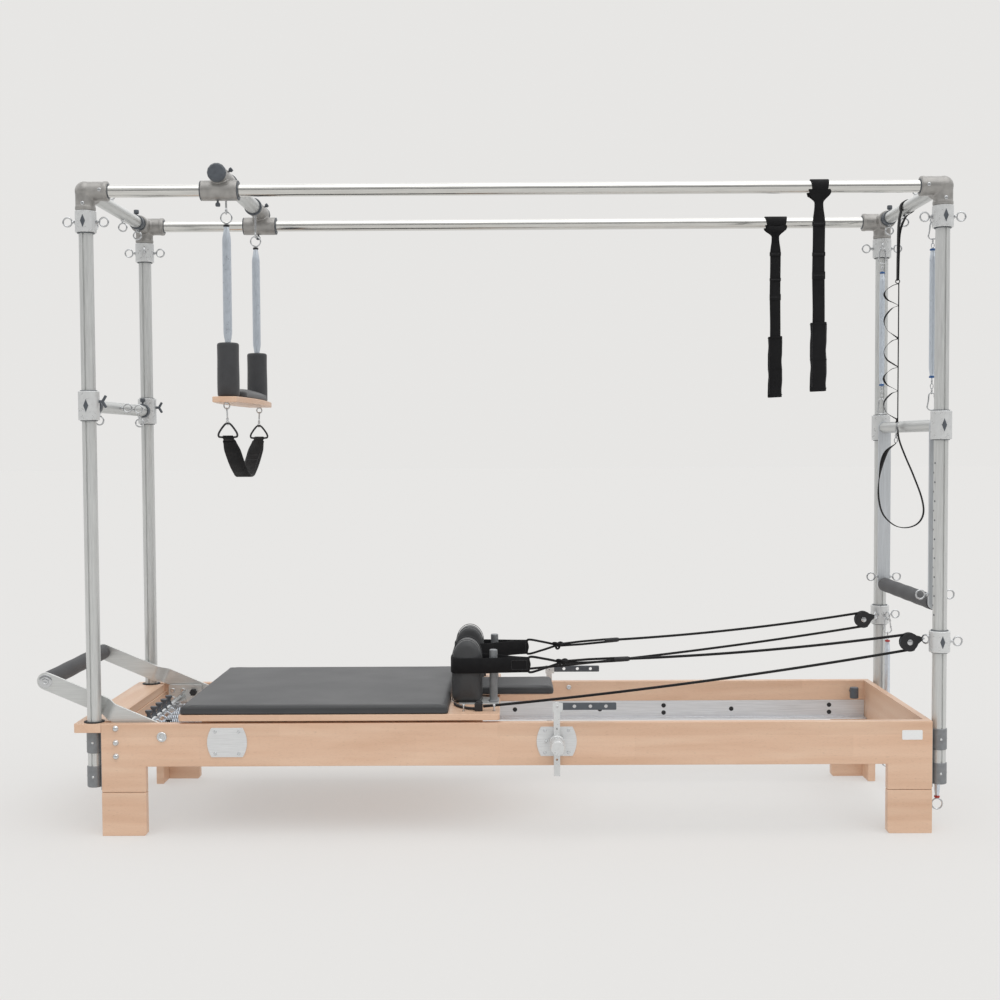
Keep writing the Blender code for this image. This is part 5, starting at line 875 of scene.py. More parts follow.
def add_grip(shape, start, end, outer, inner, waves=0):
    """A foam tube with rolled ends, and a soft unevenness along it."""
    axis = Vector(end) - Vector(start)
    steps = 48
    curl = 0.007
    profile = [(inner, 0), (outer - curl, 0)] + [
        (outer - curl + curl * math.sin(t), curl - curl * math.cos(t))
        for t in [math.pi / 2 * k / 5 for k in range(1, 6)]]
    for step in range(1, steps):
        along = curl + (axis.length - 2 * curl) * step / steps
        profile.append((outer + 0.0004 * math.sin(waves * math.pi * step / steps), along))
    profile += [(outer - curl + curl * math.cos(t), axis.length - curl + curl * math.sin(t))
                for t in [math.pi / 2 * k / 5 for k in range(6)]]
    profile.append((inner, axis.length))
    add_lathe(shape, profile, start, axis, 48, closed=True)


foam_finish = foam("charcoal_foam_finish")
arms = bmesh.new()
low_z = push_z - push_length
for way in (-1, 1):
    outline = (arc((0, 0), push_arm_half, 0, 180, 18)
               + arc((0, -push_length), push_arm_half, 180, 360, 18))
    add_slab(arms, [outline], push_arm_thickness,
             facing_side((post_span, way * push_arm_y, push_z)))
inner = push_arm_y - push_arm_thickness / 2 + 0.001
add_rod(arms, (post_span, -inner, low_z), (post_span, inner, low_z), 0.012, 40)
make("push_bar_arms", arms, arm_finish, "push_bar", "push_bar_frame", round_by=0.0012)
bar = bmesh.new()
add_rod(bar, (post_span, -inner, push_z), (post_span, inner, push_z), mid_radius, 56)
for way in (-1, 1):
    outer = way * (post_gauge - collar_radius + 0.005)
    add_rod(bar, (post_span, way * inner, push_z), (post_span, outer, push_z), 0.01, 32)
    place = (post_span, way * (inner + push_arm_thickness), low_z)
    hexagon(bar, place, (post_span, way * (inner + push_arm_thickness + 0.006), low_z), 0.016)
make("push_bar_tube", bar, cross_finish, "push_bar")
eyes = bmesh.new()
for way in (-1, 1):
    for x_way in (-1, 1):
        foot = (post_span + x_way * push_arm_half, way * push_arm_y, low_z + 0.025)
        add_eyebolt(eyes, foot, (x_way, 0, 0), (0, 1, 0))
make("push_bar_eyes", eyes, hardware, "push_bar")
grip = bmesh.new()
grip_half = push_arm_y - push_arm_thickness / 2 - 0.003
add_grip(grip, (post_span, -grip_half, low_z), (post_span, grip_half, low_z), push_grip_radius,
         0.0124, 9)
piece = make("push_bar_grip", grip, foam_finish, "push_bar", "push_bar_foam")
rings = bmesh.new()
for way in (-1, 1):
    face = way * (push_arm_y + push_arm_thickness / 2)
    add_lathe(rings, [(0, 0), (0.015, 0), (0.015, 0.002), (0.0125, 0.0032), (0, 0.0034)],
              (post_span, face, push_z), (0, way, 0), 32)
make("push_bar_washers", rings, hardware, "push_bar")


# Footbar: two cranked flat aluminium arms on pins in the rails, with a foam roller on the
# rod between their tips. Washers and cap nuts hold the rod outside the arms.
arm_length = 0.381
arm_tilt = math.radians(23.2)
arm_half_height = 0.025
arm_thickness = 0.008
arm_inner_y = rail_face - 0.006 - arm_thickness / 2
arm_outer_y = 0.279
jog = (0.16, 0.198)
plate_metal = brushed("brushed_plate",
        (0.64, 0.65, 0.64), 0.34, 0.6, "x")
lift = (Matrix.Translation((pivot_x, 0, pivot_z)) @ Matrix.Rotation(arm_tilt, 4, "Y"))


def eased(part):
    part = min(1.0, max(0.0, part))
    return part * part * (3 - 2 * part)


arms = bmesh.new()
for side, way in both_sides:
    arm = bmesh.new()
    outline = (arc((0, 0), arm_half_height, -90, 90, 18)
               + arc((-arm_length, 0), arm_half_height, 90, 270, 18))
    add_slab(arm, [outline], arm_thickness, facing_side((0, 0, 0)))
    for step in range(9):
        cut_x = -(jog[0] - 0.004 + (jog[1] - jog[0] + 0.008) * step / 8)
        bmesh.ops.bisect_plane(arm, geom=arm.verts[:] + arm.edges[:] + arm.faces[:],
                               plane_co=(cut_x, 0, 0), plane_no=(1, 0, 0))
    for vert in arm.verts:
        share = eased((-vert.co.x - jog[0]) / (jog[1] - jog[0]))
        vert.co.y += way * (arm_inner_y + (arm_outer_y - arm_inner_y) * share)
    whole = bpy.data.meshes.new("arm")
    arm.to_mesh(whole)
    arm.free()
    arms.from_mesh(whole)
    bpy.data.meshes.remove(whole)
bmesh.ops.transform(arms, matrix=lift, verts=arms.verts)
make("footbar_arms", arms, plate_metal, "footbar", "footbar_frame",
     round_by=0.0009)
fittings = bmesh.new()
add_rod(fittings, (-arm_length, -arm_outer_y, 0), (-arm_length, arm_outer_y, 0), 0.012, 32)
for way in (-1, 1):
    face = arm_outer_y + arm_thickness / 2
    add_lathe(fittings, [(0, 0), (0.0195, 0), (0.0195, 0.0012), (0.0183, 0.002), (0.01, 0.002),
                         (0.0095, 0.004), (0.0062, 0.0046), (0.004, 0.003), (0, 0.003)],
              (-arm_length, way * face, 0), (0, way, 0), 36)
    pin_end = half_width - 0.0045
    add_rod(fittings, (0, way * (arm_inner_y + 0.003), 0), (0, way * pin_end, 0), 0.008, 24)
    add_lathe(fittings, [(0, 0), (0.013, 0), (0.013, 0.0015), (0.007, 0.004), (0, 0.0042)],
              (0, way * (arm_inner_y - arm_thickness / 2), 0), (0, -way, 0), 24)
bmesh.ops.transform(fittings, matrix=lift, verts=fittings.verts)
make("footbar_rod_and_nuts", fittings, hardware, "footbar", round_by=0.0003)
grip = bmesh.new()
grip_half = arm_outer_y - arm_thickness / 2 - 0.003
add_grip(grip, (-arm_length, -grip_half, 0), (-arm_length, grip_half, 0), 0.0238, 0.0124, 7)
bmesh.ops.transform(grip, matrix=lift, verts=grip.verts)
piece = make("footbar_roller", grip, foam_finish, "footbar", "footbar_foam")


# Spring bar: a steel bar between two bolted plates, with five waisted plastic pegs that the
# springs hook on, a lobed cam disc on the far side and hand knobs to shift the bar.
bar_x, bar_z = -1.105, 0.28
bar_radius = 0.012
plate_y = rail_face - 0.006 - arm_thickness - 0.004
plate_low_x = -half_bed + end_board + 0.0123
spring_pitch = 0.06
spring_places = [spring_pitch * (step - 2) for step in range(5)]

plates = bmesh.new()
for way in (-1, 1):
    outline = rounded((plate_low_x, 0.262), (plate_low_x + 0.11, 0.321), 0.008, 6)
    add_slab(plates, [outline], 0.006, facing_side((0, way * (plate_y - 0.003), 0)))
make("spring_bar_plates", plates, plate_metal, cad="spring_bar", round_by=0.0008)
bar = bmesh.new()
add_rod(bar, (bar_x, -plate_y + 0.004, bar_z), (bar_x, plate_y - 0.004, bar_z), bar_radius, 40)
for way in (-1, 1):
    for place in (bar_x - 0.027, bar_x + 0.007):
        add_rod(bar, (place, way * (plate_y - 0.002), bar_z - 0.006),
                (place, way * (rail_face - 0.0004), bar_z - 0.006), 0.0078, 24)
        add_lathe(bar, [(0, 0.004), (0.0065, 0.003), (0.0085, 0), (0.0085, -0.001), (0, -0.001)],
                  (place - 0.004, way * (plate_y - 0.006), bar_z + 0.022), (0, -way, 0), 24)
        add_lathe(bar, [(0, 0.004), (0.0065, 0.003), (0.0085, 0), (0.0085, -0.001), (0, -0.001)],
                  (place - 0.004, way * (plate_y - 0.006), bar_z - 0.006), (0, -way, 0), 24)
make("spring_bar_rod", bar, bright_zinc, round_by=0.0004)
pegs = bmesh.new()
for place in spring_places:
    profile = [(0, 0.004), (0.01, 0.004), (0.0108, 0.008), (0.0082, 0.015), (0.0058, 0.021),
               (0.0062, 0.026), (0.01, 0.031), (0.011, 0.034), (0.0104, 0.0372), (0, 0.038)]
    add_lathe(pegs, profile, (bar_x, place, bar_z), up, 28)
make("spring_pegs", pegs, dark_slate)
knobs = bmesh.new()
for way in (-1, 1):
    hexagon(knobs, (plate_low_x + 0.083, way * (plate_y - 0.006), bar_z + 0.016),
            (plate_low_x + 0.083, way * (plate_y - 0.02), bar_z + 0.016), 0.021)
hexagon(knobs, (bar_x + 0.062, -0.12, bar_z - 0.004), (bar_x + 0.062, -0.12, bar_z + 0.01), 0.02)
make("spring_bar_knobs", knobs, black_rubber, round_by=0.0012)
disc = bmesh.new()
lobes = [((0.0165 + 0.0022 * math.cos(5 * t)) * math.cos(t),
          (0.0165 + 0.0022 * math.cos(5 * t)) * math.sin(t))
         for t in [2 * math.pi * k / 60 for k in range(60)]]
add_slab(disc, [[(bar_x + 0.035 + a, 0.09 + b) for a, b in lobes]], 0.01,
         Matrix.Translation((0, 0, bar_z + 0.01)))
add_rod(disc, (bar_x + 0.035, 0.09, bar_z - 0.002), (bar_x + 0.035, 0.09, bar_z + 0.022), 0.006,
        24)
make("spring_cam_disc", disc, grey, round_by=0.001)
bridge = bmesh.new()
add_box(bridge, (bar_x + 0.006, 0.076, bar_z - 0.004), (bar_x + 0.05, 0.104, bar_z + 0.004))
add_box(bridge, (bar_x + 0.006, -0.134, bar_z - 0.008), (bar_x + 0.076, -0.106, bar_z - 0.004))
make("spring_bar_lugs", bridge, plate_metal, round_by=0.001)


# Carriage: a beech board on two runners that are bored for the axles, and four rubber-tyred
# wheels that roll on the track ledges.
board_foot, board_head = -0.962, -0.046
board_low, board_top = 0.3285, 0.3465
wheel_z = 0.2283
wheel_xs = {"foot": board_foot + 0.098, "head": board_head - 0.098}
axle_end = rail_face - 0.0003 - track_wall - 0.01

board = bmesh.new()
outline = rounded((board_foot, -half_width), (board_head, half_width), 0.01, 6)
add_plan(board, [outline], board_low, board_top)
make("carriage_board_top", board, beech_along, "carriage", "carriage_board", round_by=0.0022)
runners = bmesh.new()
for way in (-1, 1):
    low_x, high_x = board_foot + 0.05, board_head - 0.05
    outline = [(low_x, board_low - seam), (low_x, wheel_z - 0.004),
               (low_x + 0.012, wheel_z - 0.016),
               (high_x - 0.012, wheel_z - 0.016), (high_x, wheel_z - 0.004),
               (high_x, board_low - seam)]
    bores = [circle((x, wheel_z), 0.0068, 24) for x in wheel_xs.values()]
    add_slab(runners, [outline] + bores, 0.022, facing_side((0, way * 0.251, 0)))
for x in (-0.146, board_head - 0.02):
    add_box(runners, (x, -0.064, board_top + 0.0003), (x + 0.018, 0.064, 0.3526))
make("carriage_runners", runners, beech_along, "carriage", round_by=0.0018)
for end, x in wheel_xs.items():
    axle = bmesh.new()
    add_rod(axle, (x, -axle_end, wheel_z), (x, axle_end, wheel_z), 0.006, 24)
    for way in (-1, 1):
        add_lathe(axle, [(0.006, 0.0012), (0.0075, 0.0002), (0.0165, 0.0002), (0.017, 0.002),
                         (0.017, 0.016), (0.0165, 0.0178), (0.0075, 0.0178), (0.006, 0.0168)],
                  (x, way * (axle_end - 0.018), wheel_z), (0, way, 0), 40, closed=True)
    make("wheel_hubs_" + end, axle, bright_zinc, "wheelset_" + end, "wheelset_" + end)
    tyres = bmesh.new()
    for way in (-1, 1):
        profile = [(0.0172, 0.001), (0.0235, 0.001), (0.025, 0.003), (0.025, 0.015),
                   (0.0235, 0.017), (0.0172, 0.017)]
        add_lathe(tyres, profile, (x, way * (axle_end - 0.018), wheel_z), (0, way, 0), 48,
                  closed=True)
    make("wheel_tyres_" + end, tyres, black_rubber, "wheelset_" + end)


# Upholstery: dense foam glued to the boards under a smooth charcoal vinyl, pulled tight at
# the corners and stapled beneath. The shoulder pads have a sewn band round their domes.
cushion_length, cushion_height = 0.7715, 0.0266
vinyl_colour = (0.05, 0.0515, 0.054)


def leather(name, colour):
    """Charcoal vinyl: a fine pebbled grain with painted shade in its creases, soft tonal drift and
    a low even sheen.
    """
    made, tree, shader = surface(name, colour, 0.5, sheen=0.08)
    shader.inputs["Specular IOR Level"].default_value = 0.4
    pebble = node(tree, "TexVoronoi", feature="DISTANCE_TO_EDGE", Scale=620.0,
                  Vector=object_place(tree))
    drift = stretched_noise(tree, (1, 1, 1), 6.0, 3.0)
    tone = ramp(tree, drift, (0.3, shade(colour, 0.93)), (0.7, shade(colour, 1.07)))
    # painted shade: the creases between the pebbles are darkened in the colour
    crease_shade = ramp(tree, pebble.outputs["Distance"], (0.0, 0.86), (0.12, 1.0))
    tree.links.new(mixed(tree, "MULTIPLY", 0.7, tone, crease_shade), shader.inputs["Base Color"])
    follow(tree, shader, drift, None, ((0.3, 0.46), (0.7, 0.56)))
    bump(tree, shader, crease_shade, 0.16, 0.0005)
    return made


def stuffed(name, shape, finish, body, nodes, voxel, cap, pinned=None, shape_after=None):
    """Swell a closed form as cloth under pressure, let no point move further than the cap."""
    made = placed(name, shape, finish)
    even = made.modifiers.new("even_skin", "REMESH")
    even.mode = "VOXEL"
    even.voxel_size = voxel
    bpy.context.view_layer.update()
    settle(made)
    rest = [vert.co.copy() for vert in made.data.vertices]
    cloth = made.modifiers.new("stuffing", "CLOTH")
    cloth.settings.use_pressure = True
    cloth.settings.uniform_pressure_force = 4.0
    cloth.settings.effector_weights.gravity = 0.0
    cloth.settings.quality = 4
    cloth.point_cache.frame_end = 20
    if pinned is not None:
        held = made.vertex_groups.new(name="held")
        held.add([vert.index for vert in made.data.vertices if pinned(vert.co)], 1.0,
                 "REPLACE")
        cloth.settings.vertex_group_mass = "held"
    for step in range(1, 21):
        bpy.context.scene.frame_set(step)
    settle(made)
    bpy.context.scene.frame_set(1)
    for vert, start in zip(made.data.vertices, rest):
        move = vert.co - start
        if move.length > cap:
            vert.co = start + move.normalized() * cap
    if shape_after is not None:
        for vert in made.data.vertices:
            vert.co = shape_after(vert.co)
    made.data.shade_smooth()
    ease = made.modifiers.new("eased", "SMOOTH")
    ease.factor = 0.5
    ease.iterations = 2
    finer = made.modifiers.new("finer", "SUBSURF")
    finer.levels = 1
    finer.render_levels = 1
    settle(made)
    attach(made, body)
    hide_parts(*nodes)
    return made


def settle(piece):
    """Put the piece's evaluated mesh in place of its modifiers."""
    graph = bpy.context.evaluated_depsgraph_get()
    final = bpy.data.meshes.new_from_object(piece.evaluated_get(graph))
    piece.modifiers.clear()
    piece.vertex_groups.clear()
    piece.data = final


def pad_form(low, high, corner_radius, edge_radius, crown=0.0):
    """A board-shaped pad: rounded corners in plan, a rolled top edge and a crowned top."""
    shape = bmesh.new()
    layers = [(0.0, 0.0)]
    for step in range(7):
        turn = math.pi / 2 * step / 6
        layers.append((edge_radius * (1 - math.cos(turn)),
                       high[2] - low[2] - edge_radius + edge_radius * math.sin(turn)))
    loops = []
    for inset, rise in layers:
        ring = rounded(low, high, corner_radius, 8, max(0.002, corner_radius - inset))
        loops.append([shape.verts.new((a, b, low[2] + rise)) for a, b in ring])
    skin(shape, loops, capped=True)
    middle = (Vector(low) + Vector(high)) / 2
    half = (Vector(high) - Vector(low)) / 2
    if crown:
        bmesh.ops.triangulate(shape, faces=shape.faces)
        bmesh.ops.subdivide_edges(shape, edges=shape.edges, cuts=3, use_grid_fill=True)
        for vert in shape.verts:
            rise = max(0.0, (vert.co.z - middle.z) / half.z)
            along = (vert.co.x - middle.x) / half.x
            across = (vert.co.y - middle.y) / half.y
            vert.co.z -= crown * rise * (1 - (1 - along ** 2) * (1 - across ** 2))
    return shape


vinyl = leather("charcoal_vinyl_finish", vinyl_colour)
swell = 0.002
low = (board_foot + 0.001 + swell, -half_width + swell, board_top + 0.0004)
high = (board_foot + cushion_length - swell, half_width - swell, board_top + cushion_height - swell)
base = board_top + 0.0004


def kept_on_board(level):
    """After the swelling, nothing may sink below the board that carries the pad."""
    def placed(point):
        return Vector((point.x, point.y, max(point.z, level)))
    return placed


def near_base(level):
    def held(point):
        return point.z < level + 0.004
    return held


stuffed("bed_cushion", pad_form(low, high, 0.01, 0.007), vinyl, "carriage",
        ["carriage_cushion"], 0.0035, 0.0022, near_base(base), kept_on_board(base))

headrest_low, headrest_high = 0.3532, 0.3812
low = (-0.15 + swell, -0.094 + swell, headrest_low + 0.0034)
high = (0.118 - swell, 0.094 - swell, headrest_high - swell)
base = headrest_low + 0.0034
stuffed("headrest_cushion", pad_form(low, high, 0.014, 0.008), vinyl, "headrest", ["headrest"],
        0.0035, 0.002, near_base(base), kept_on_board(base))
under = bmesh.new()
add_plan(under, [[(-0.146, -0.089), (0.114, -0.089), (0.114, 0.089), (-0.146, 0.089)]],
         headrest_low, headrest_low + 0.0032)
make("headrest_base", under, beech_across, "headrest", round_by=0.001)

pad_x, pad_y = -0.1435, 0.145
pad_half_x, pad_half_y = 0.043, 0.047
pad_low, pad_top = 0.3505, 0.5348


def dome_outline(half, low, high, inset=0.0):
    """A pad seen from its side: small round corners, straight sides and a tall round head."""
    reach = half - inset
    corner = 0.009
    level = low + inset + corner
    head = [(across, high - inset - 1.25 * (reach - rise))
            for across, rise in arc((0, 0), reach, 0, 180, 24)]
    return (arc((-reach + corner, level), corner, 180, 270, 5)
            + arc((reach - corner, level), corner, 270, 360, 5) + head)


def sweep(shape, points, radius, closed=False, sides=12):
    """A round tube along points, whose section is carried along without twisting."""
    points = [Vector(point) for point in points]
    count = len(points)
    rings = []
    side_way = None
    for k, point in enumerate(points):
        before = points[k - 1] if k or closed else point
        after = points[(k + 1) % count] if k + 1 < count or closed else point
        along = (after - before).normalized()
        if side_way is None:
            side_way = along.orthogonal().normalized()
        side_way = (side_way - along * side_way.dot(along)).normalized()
        other = along.cross(side_way)
        turns = [2 * math.pi * s / sides for s in range(sides)]
        rings.append([shape.verts.new(point + radius * (math.cos(turn) * side_way
                                                        + math.sin(turn) * other))
                      for turn in turns])
    if closed:
        first = rings[0]
        shift = min(range(sides), key=lambda s: (first[s].co - rings[-1][0].co).length)
        rings.append(first[shift:] + first[:shift])
    skin(shape, rings, capped=not closed)


def smooth_path(points, count, closed=False):
    """Evenly shared points on a smooth curve through the given ones."""
    points = [Vector(point) for point in points]
    total = len(points)
    made = []
    spans = total if closed else total - 1
    for step in range(count + (0 if closed else 1)):
        place = spans * step / count
        k = min(int(place), spans - 1)
        t = place - k
        if closed:
            before, here, there, after = [points[(k + shift) % total] for shift in (-1, 0, 1, 2)]
        else:
            here, there = points[k], points[k + 1]
            before = points[k - 1] if k else here * 2 - there
            after = points[k + 2] if k + 2 < total else there * 2 - here
        made.append(0.5 * (2 * here + (there - before) * t
                           + (2 * before - 5 * here + 4 * there - after) * t ** 2
                           + (3 * here - before - 3 * there + after) * t ** 3))
    return made


def ribbon(shape, points, acrosses, half, thickness, closed=False):
    """A flat band along points. Its width lies along each point's across direction."""
    points = [Vector(point) for point in points]
    count = len(points)
    if isinstance(acrosses, Vector):
        acrosses = [acrosses] * count
    halves = half if isinstance(half, list) else [half] * count
    rings = []
    deep = thickness / 2
    for k, point in enumerate(points):
        before = points[k - 1] if k or closed else point
        after = points[(k + 1) % count] if k + 1 < count or closed else point
        along = (after - before).normalized()
        across = (acrosses[k] - along * acrosses[k].dot(along)).normalized()
        outward = along.cross(across)
        wide = halves[k]
        bevel = deep * 0.8
        section = [(wide, -deep + bevel), (wide, deep - bevel), (wide - bevel, deep),
                   (-wide + bevel, deep), (-wide, deep - bevel), (-wide, -deep + bevel),
                   (-wide + bevel, -deep), (wide - bevel, -deep)]
        rings.append([shape.verts.new(point + across * a + outward * b) for a, b in section])
    skin(shape, rings, closed, not closed)


def add_stitches(shape, start, end, outward, pitch=0.0042, length=0.0028, radius=0.0004):
    """A row of short raised threads lying on a surface."""
    start, end = Vector(start), Vector(end)
    along = (end - start).normalized()
    count = max(1, int((end - start).length / pitch))
    for step in range(count):
        middle = start.lerp(end, (step + 0.5) / count)
        lift_off = Vector(outward) * radius * 0.6
        sweep(shape, [middle - along * length / 2 - lift_off * 0.4, middle + lift_off,
                      middle + along * length / 2 - lift_off * 0.4], radius, sides=6)


thread = speckled("stitch_thread",
        (0.085, 0.085, 0.09), 0.7, scale=200.0)

for side, way in both_sides:
    shape = bmesh.new()
    layers = [(0.004, -1.0), (0.0012, -0.97), (0.0, -0.9), (0.0, 0.62), (0.0016, 0.74),
              (0.0065, 0.87), (0.014, 0.97), (0.022, 1.0)]
    loops = []
    for inset, share in layers:
        across = dome_outline(pad_half_x, pad_low, pad_top, inset + 0.001)
        y = way * (pad_y + share * (pad_half_y - 0.001))
        loops.append([shape.verts.new((pad_x + a, y, b)) for a, b in across])
    skin(shape, loops, capped=True)
    stuffed("shoulder_cushion_" + side, shape, vinyl, "carriage", ["shoulder_pad_" + side],
            0.0045, 0.0022, near_base(pad_low))
    seams = bmesh.new()
    for share, inset in ((0.6, -0.0004), (-0.88, -0.0002)):
        line = dome_outline(pad_half_x, pad_low, pad_top, inset)
        y = way * (pad_y + share * pad_half_y)
        sweep(seams, [(pad_x + a, y, b) for a, b in line], 0.0011, closed=True, sides=8)
    make("shoulder_seams_" + side, seams, vinyl, "carriage")


# Shoulder rest frames: a steel plate with a round post on each side, spare lock pins out on
# the board, and a plastic cleat that grips the rope.
bracket_top = 0.3497
plate_base = board_top + 0.0003
rest_post_x, rest_post_y = -0.065, 0.164
rest_post_radius, rest_post_top = 0.012, 0.505
cleat_x, cleat_y, cleat_top = -0.105, 0.295, 0.3755

frames = bmesh.new()
add_box(frames, (-0.12, -0.15, plate_base), (-0.09, 0.15, bracket_top))
for way in (-1, 1):
    outline = rounded((-0.168, 0.095), (-0.0485, 0.205), 0.008, 5)
    add_plan(frames, [[(a, way * b) for a, b in outline]], plate_base, bracket_top - 0.0003)
make("shoulder_rest_plates", frames, plate_metal, "carriage", "shoulder_rest_bracket",
     round_by=0.0009)
posts = bmesh.new()
pins = bmesh.new()
tails = bmesh.new()
cleats = bmesh.new()
for way in (-1, 1):
    add_lathe(posts, [(0, 0), (0.0155, 0), (0.0155, 0.004), (rest_post_radius, 0.006),
                      (rest_post_radius, rest_post_top - bracket_top - 0.002),
                      (rest_post_radius - 0.002, rest_post_top - bracket_top),
                      (0, rest_post_top - bracket_top)],
              (rest_post_x, way * rest_post_y, bracket_top - 0.0008), up, 40)
    add_box(posts, (pad_x + pad_half_x - 0.002, way * rest_post_y - 0.007, 0.451),
            (rest_post_x - 0.006, way * rest_post_y + 0.007, 0.469))
    for x in (-0.15, -0.0623):
        add_lathe(pins, [(0, 0), (0.0044, 0), (0.0044, 0.0012), (0.0024, 0.0016), (0.0024, 0.014),
                         (0.0042, 0.0148), (0.0042, 0.0186), (0.003, 0.0198), (0, 0.02)],
                  (x, way * 0.3015, plate_base), up, 20)
    tail = [(cleat_x - 0.012, way * 0.291, 0.352), (cleat_x - 0.038, way * 0.275, 0.3512),
            (cleat_x - 0.062, way * 0.245, 0.3512), (cleat_x - 0.074, way * 0.2125, 0.3512)]
    sweep(tails, smooth_path(tail, 20), 0.0039, sides=12)
    add_box(cleats, (cleat_x - 0.0135, way * cleat_y - 0.011, plate_base),
            (cleat_x + 0.0098, way * cleat_y + 0.011, cleat_top - 0.006))
    add_lathe(cleats, [(0, 0), (0.0085, 0), (0.01, 0.003), (0.01, 0.007), (0.008, 0.01),
                       (0, 0.0105)], (cleat_x, way * cleat_y, cleat_top - 0.0108), up, 24)
make("shoulder_rest_posts", posts, clamp_grey, "carriage", round_by=0.0008)
make("shoulder_lock_pins", pins, hardware, "carriage")
make("rope_tails", tails, black_rubber, "carriage", sharp=50)
make("rope_cleats", cleats, black_rubber, "carriage", round_by=0.002)


# Carriage springs: five close-wound zinc springs between the pegged bar and a cross rod
# under the board.
spring_start = bar_x + bar_radius + 0.0004
spring_end = spring_start + 0.48
spring_turns = 74
zinc = speckled("zinc_wire",
        (0.62, 0.67, 0.73), 0.32, 0.8, scale=90.0, depth=0.02, spread=0.03)

for number, place in enumerate(spring_places):
    coil = bmesh.new()
    points = []
    steps = spring_turns * 10
    first, last = spring_start + 0.024, spring_end - 0.024
    for step in range(steps + 1):
        part = step / steps
        turn = 2 * math.pi * spring_turns * part
        size = 0.0098 * eased(min(part, 1 - part) * 26 + 0.25)
        points.append((first + (last - first) * part, place + size * math.cos(turn),
                       bar_z + size * math.sin(turn)))
    sweep(coil, points, 0.0017, sides=6)
    for anchor, inner in ((spring_start + 0.0115, first + 0.001), (spring_end - 0.0102, last)):
        add_ring(coil, (anchor, place, bar_z), (0, 1, 0), 0.0088, 0.0019, 24)
    spring = placed("carriage_spring_" + str(number + 1), coil, zinc)
    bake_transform(spring)
rod = bmesh.new()
add_rod(rod, (spring_end, -0.2395, bar_z), (spring_end, 0.2395, bar_z), 0.006, 24)
make("spring_cross_rod", rod, bright_zinc, "carriage", "carriage_spring_set")


# Pulleys: a grooved nylon wheel on a steel axle between two black cheeks, whose neck ends
# in a forged link through the eye of the low collar.
pulley_x, pulley_y, pulley_z = 1.14, 0.25457, 0.534
link_z = 0.544
grip_x = 1.178
wrap_radius = 0.0228

for side, way in both_sides:
    centre = Vector((pulley_x, way * pulley_y, pulley_z))
    wheel = bmesh.new()
    groove = [(0.0177 + 0.0042 * (1 - math.cos(turn)), 0.004 * math.sin(turn))
              for turn in [math.radians(-80 + 20 * k) for k in range(9)]]
    profile = [(0.005, -0.006), (0.0095, -0.006), (0.0105, -0.0045), (0.015, -0.0045),
               (0.0165, -0.006), (0.0253, -0.006)] + groove + [
               (0.0253, 0.006), (0.0165, 0.006), (0.015, 0.0045), (0.0105, 0.0045),
               (0.0095, 0.006), (0.005, 0.006)]
    add_lathe(wheel, profile, centre, (0, 1, 0), 56, closed=True)
    make("pulley_wheel_" + side, wheel, dark_slate, "sheave_" + side, "pulley_sheave_" + side)
    block = bmesh.new()
    for face in (-1, 1):
        outline = arc((0, 0), 0.0272, 42, 300, 40) + [(0.021, -0.008), (0.0305, 0.001),
                                                      (0.0345, 0.004), (0.0345, 0.0155),
                                                      (0.029, 0.0165)]
        add_slab(block, [outline], 0.003, facing_side(centre + Vector((0, face * 0.0083, 0))))
    add_box(block, centre + Vector((0.0266, -0.008, 0.0035)),
            centre + Vector((0.0303, 0.008, 0.0165)))
    make("pulley_cheeks_" + side, block, black_rubber, cad="pulley_block_" + side, round_by=0.0009)
    metal = bmesh.new()
    for face in (-1, 1):
        add_lathe(metal, [(0, 0.0026), (0.005, 0.0026), (0.0082, 0.0014), (0.0086, 0),
                          (0, 0)], centre + Vector((0, face * 0.0098, 0)), (0, face, 0), 28)
    add_rod(metal, centre - Vector((0, 0.0095, 0)), centre + Vector((0, 0.0095, 0)), 0.004, 20)
    link = [(centre.x + 0.0285, centre.y - 0.0062, link_z)]
    link += [(grip_x + 0.0062 * math.cos(math.radians(turn)),
              centre.y + 0.0062 * math.sin(math.radians(turn)), link_z)
             for turn in range(-90, 91, 20)]
    link.append((centre.x + 0.0285, centre.y + 0.0062, link_z))
    sweep(metal, link, 0.0019, sides=10)
    make("pulley_pin_and_link_" + side, metal, hardware)


# Ropes: braided cord from the cleat, round the pulley and back to a knot, where it forks
# into the webbing loop that is parked round the shoulder rest. Webbing is woven polyester.
rope_radius = 0.0039
loop_tip_x, loop_tip_y, loop_z = 0.042, 0.177, 0.46
loop_half = 0.0225
knot_at = (0.138, 0.172, 0.466)
sleeve_x = (0.292, 0.336)


def woven(name, colour, pitch, roughness=0.75):
    """Webbing or braid: two crossed sets of fine ridges, with painted highlight where the yarn
    stands up and painted shade between the yarns.
    """
    made, tree, shader = surface(name, colour, roughness, sheen=0.04)
    shader.inputs["Specular IOR Level"].default_value = 0.2
    places = object_place(tree)
    lines = [node(tree, "TexWave", wave_type="BANDS", bands_direction=direction,
                  Scale=0.314 / pitch, Distortion=0.6, Detail=1.0, Vector=places).outputs["Color"]
             for direction in "XZ"]
    cloth = mixed(tree, "MULTIPLY", 1.0, *lines)
    # painted highlight and shade: the raised yarn is lightened and the gaps between the yarns
    # darkened in the colour
    tone = ramp(tree, cloth, (0.05, shade(colour, 0.62)), (0.7, shade(colour, 1.75)))
    tree.links.new(tone, shader.inputs["Base Color"])
    worn = stretched_noise(tree, (1, 1, 1), 30.0, 3.0)
    follow(tree, shader, worn, None, ((0.3, roughness - 0.08), (0.7, roughness + 0.08)))
    bump(tree, shader, cloth, 0.45, 0.0006)
    return made


webbing = woven("black_webbing_finish", (0.0085, 0.0085, 0.0095), 0.0016)
cord = woven("braided_cord", (0.012, 0.012, 0.013), 0.0022, 0.62)


def flattened(name, shape, finish, cad=None):
    """A stretch of rope, given a mesh of its own."""
    piece = make(name, shape, finish, cad=cad, sharp=50)
    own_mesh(piece)
    return piece


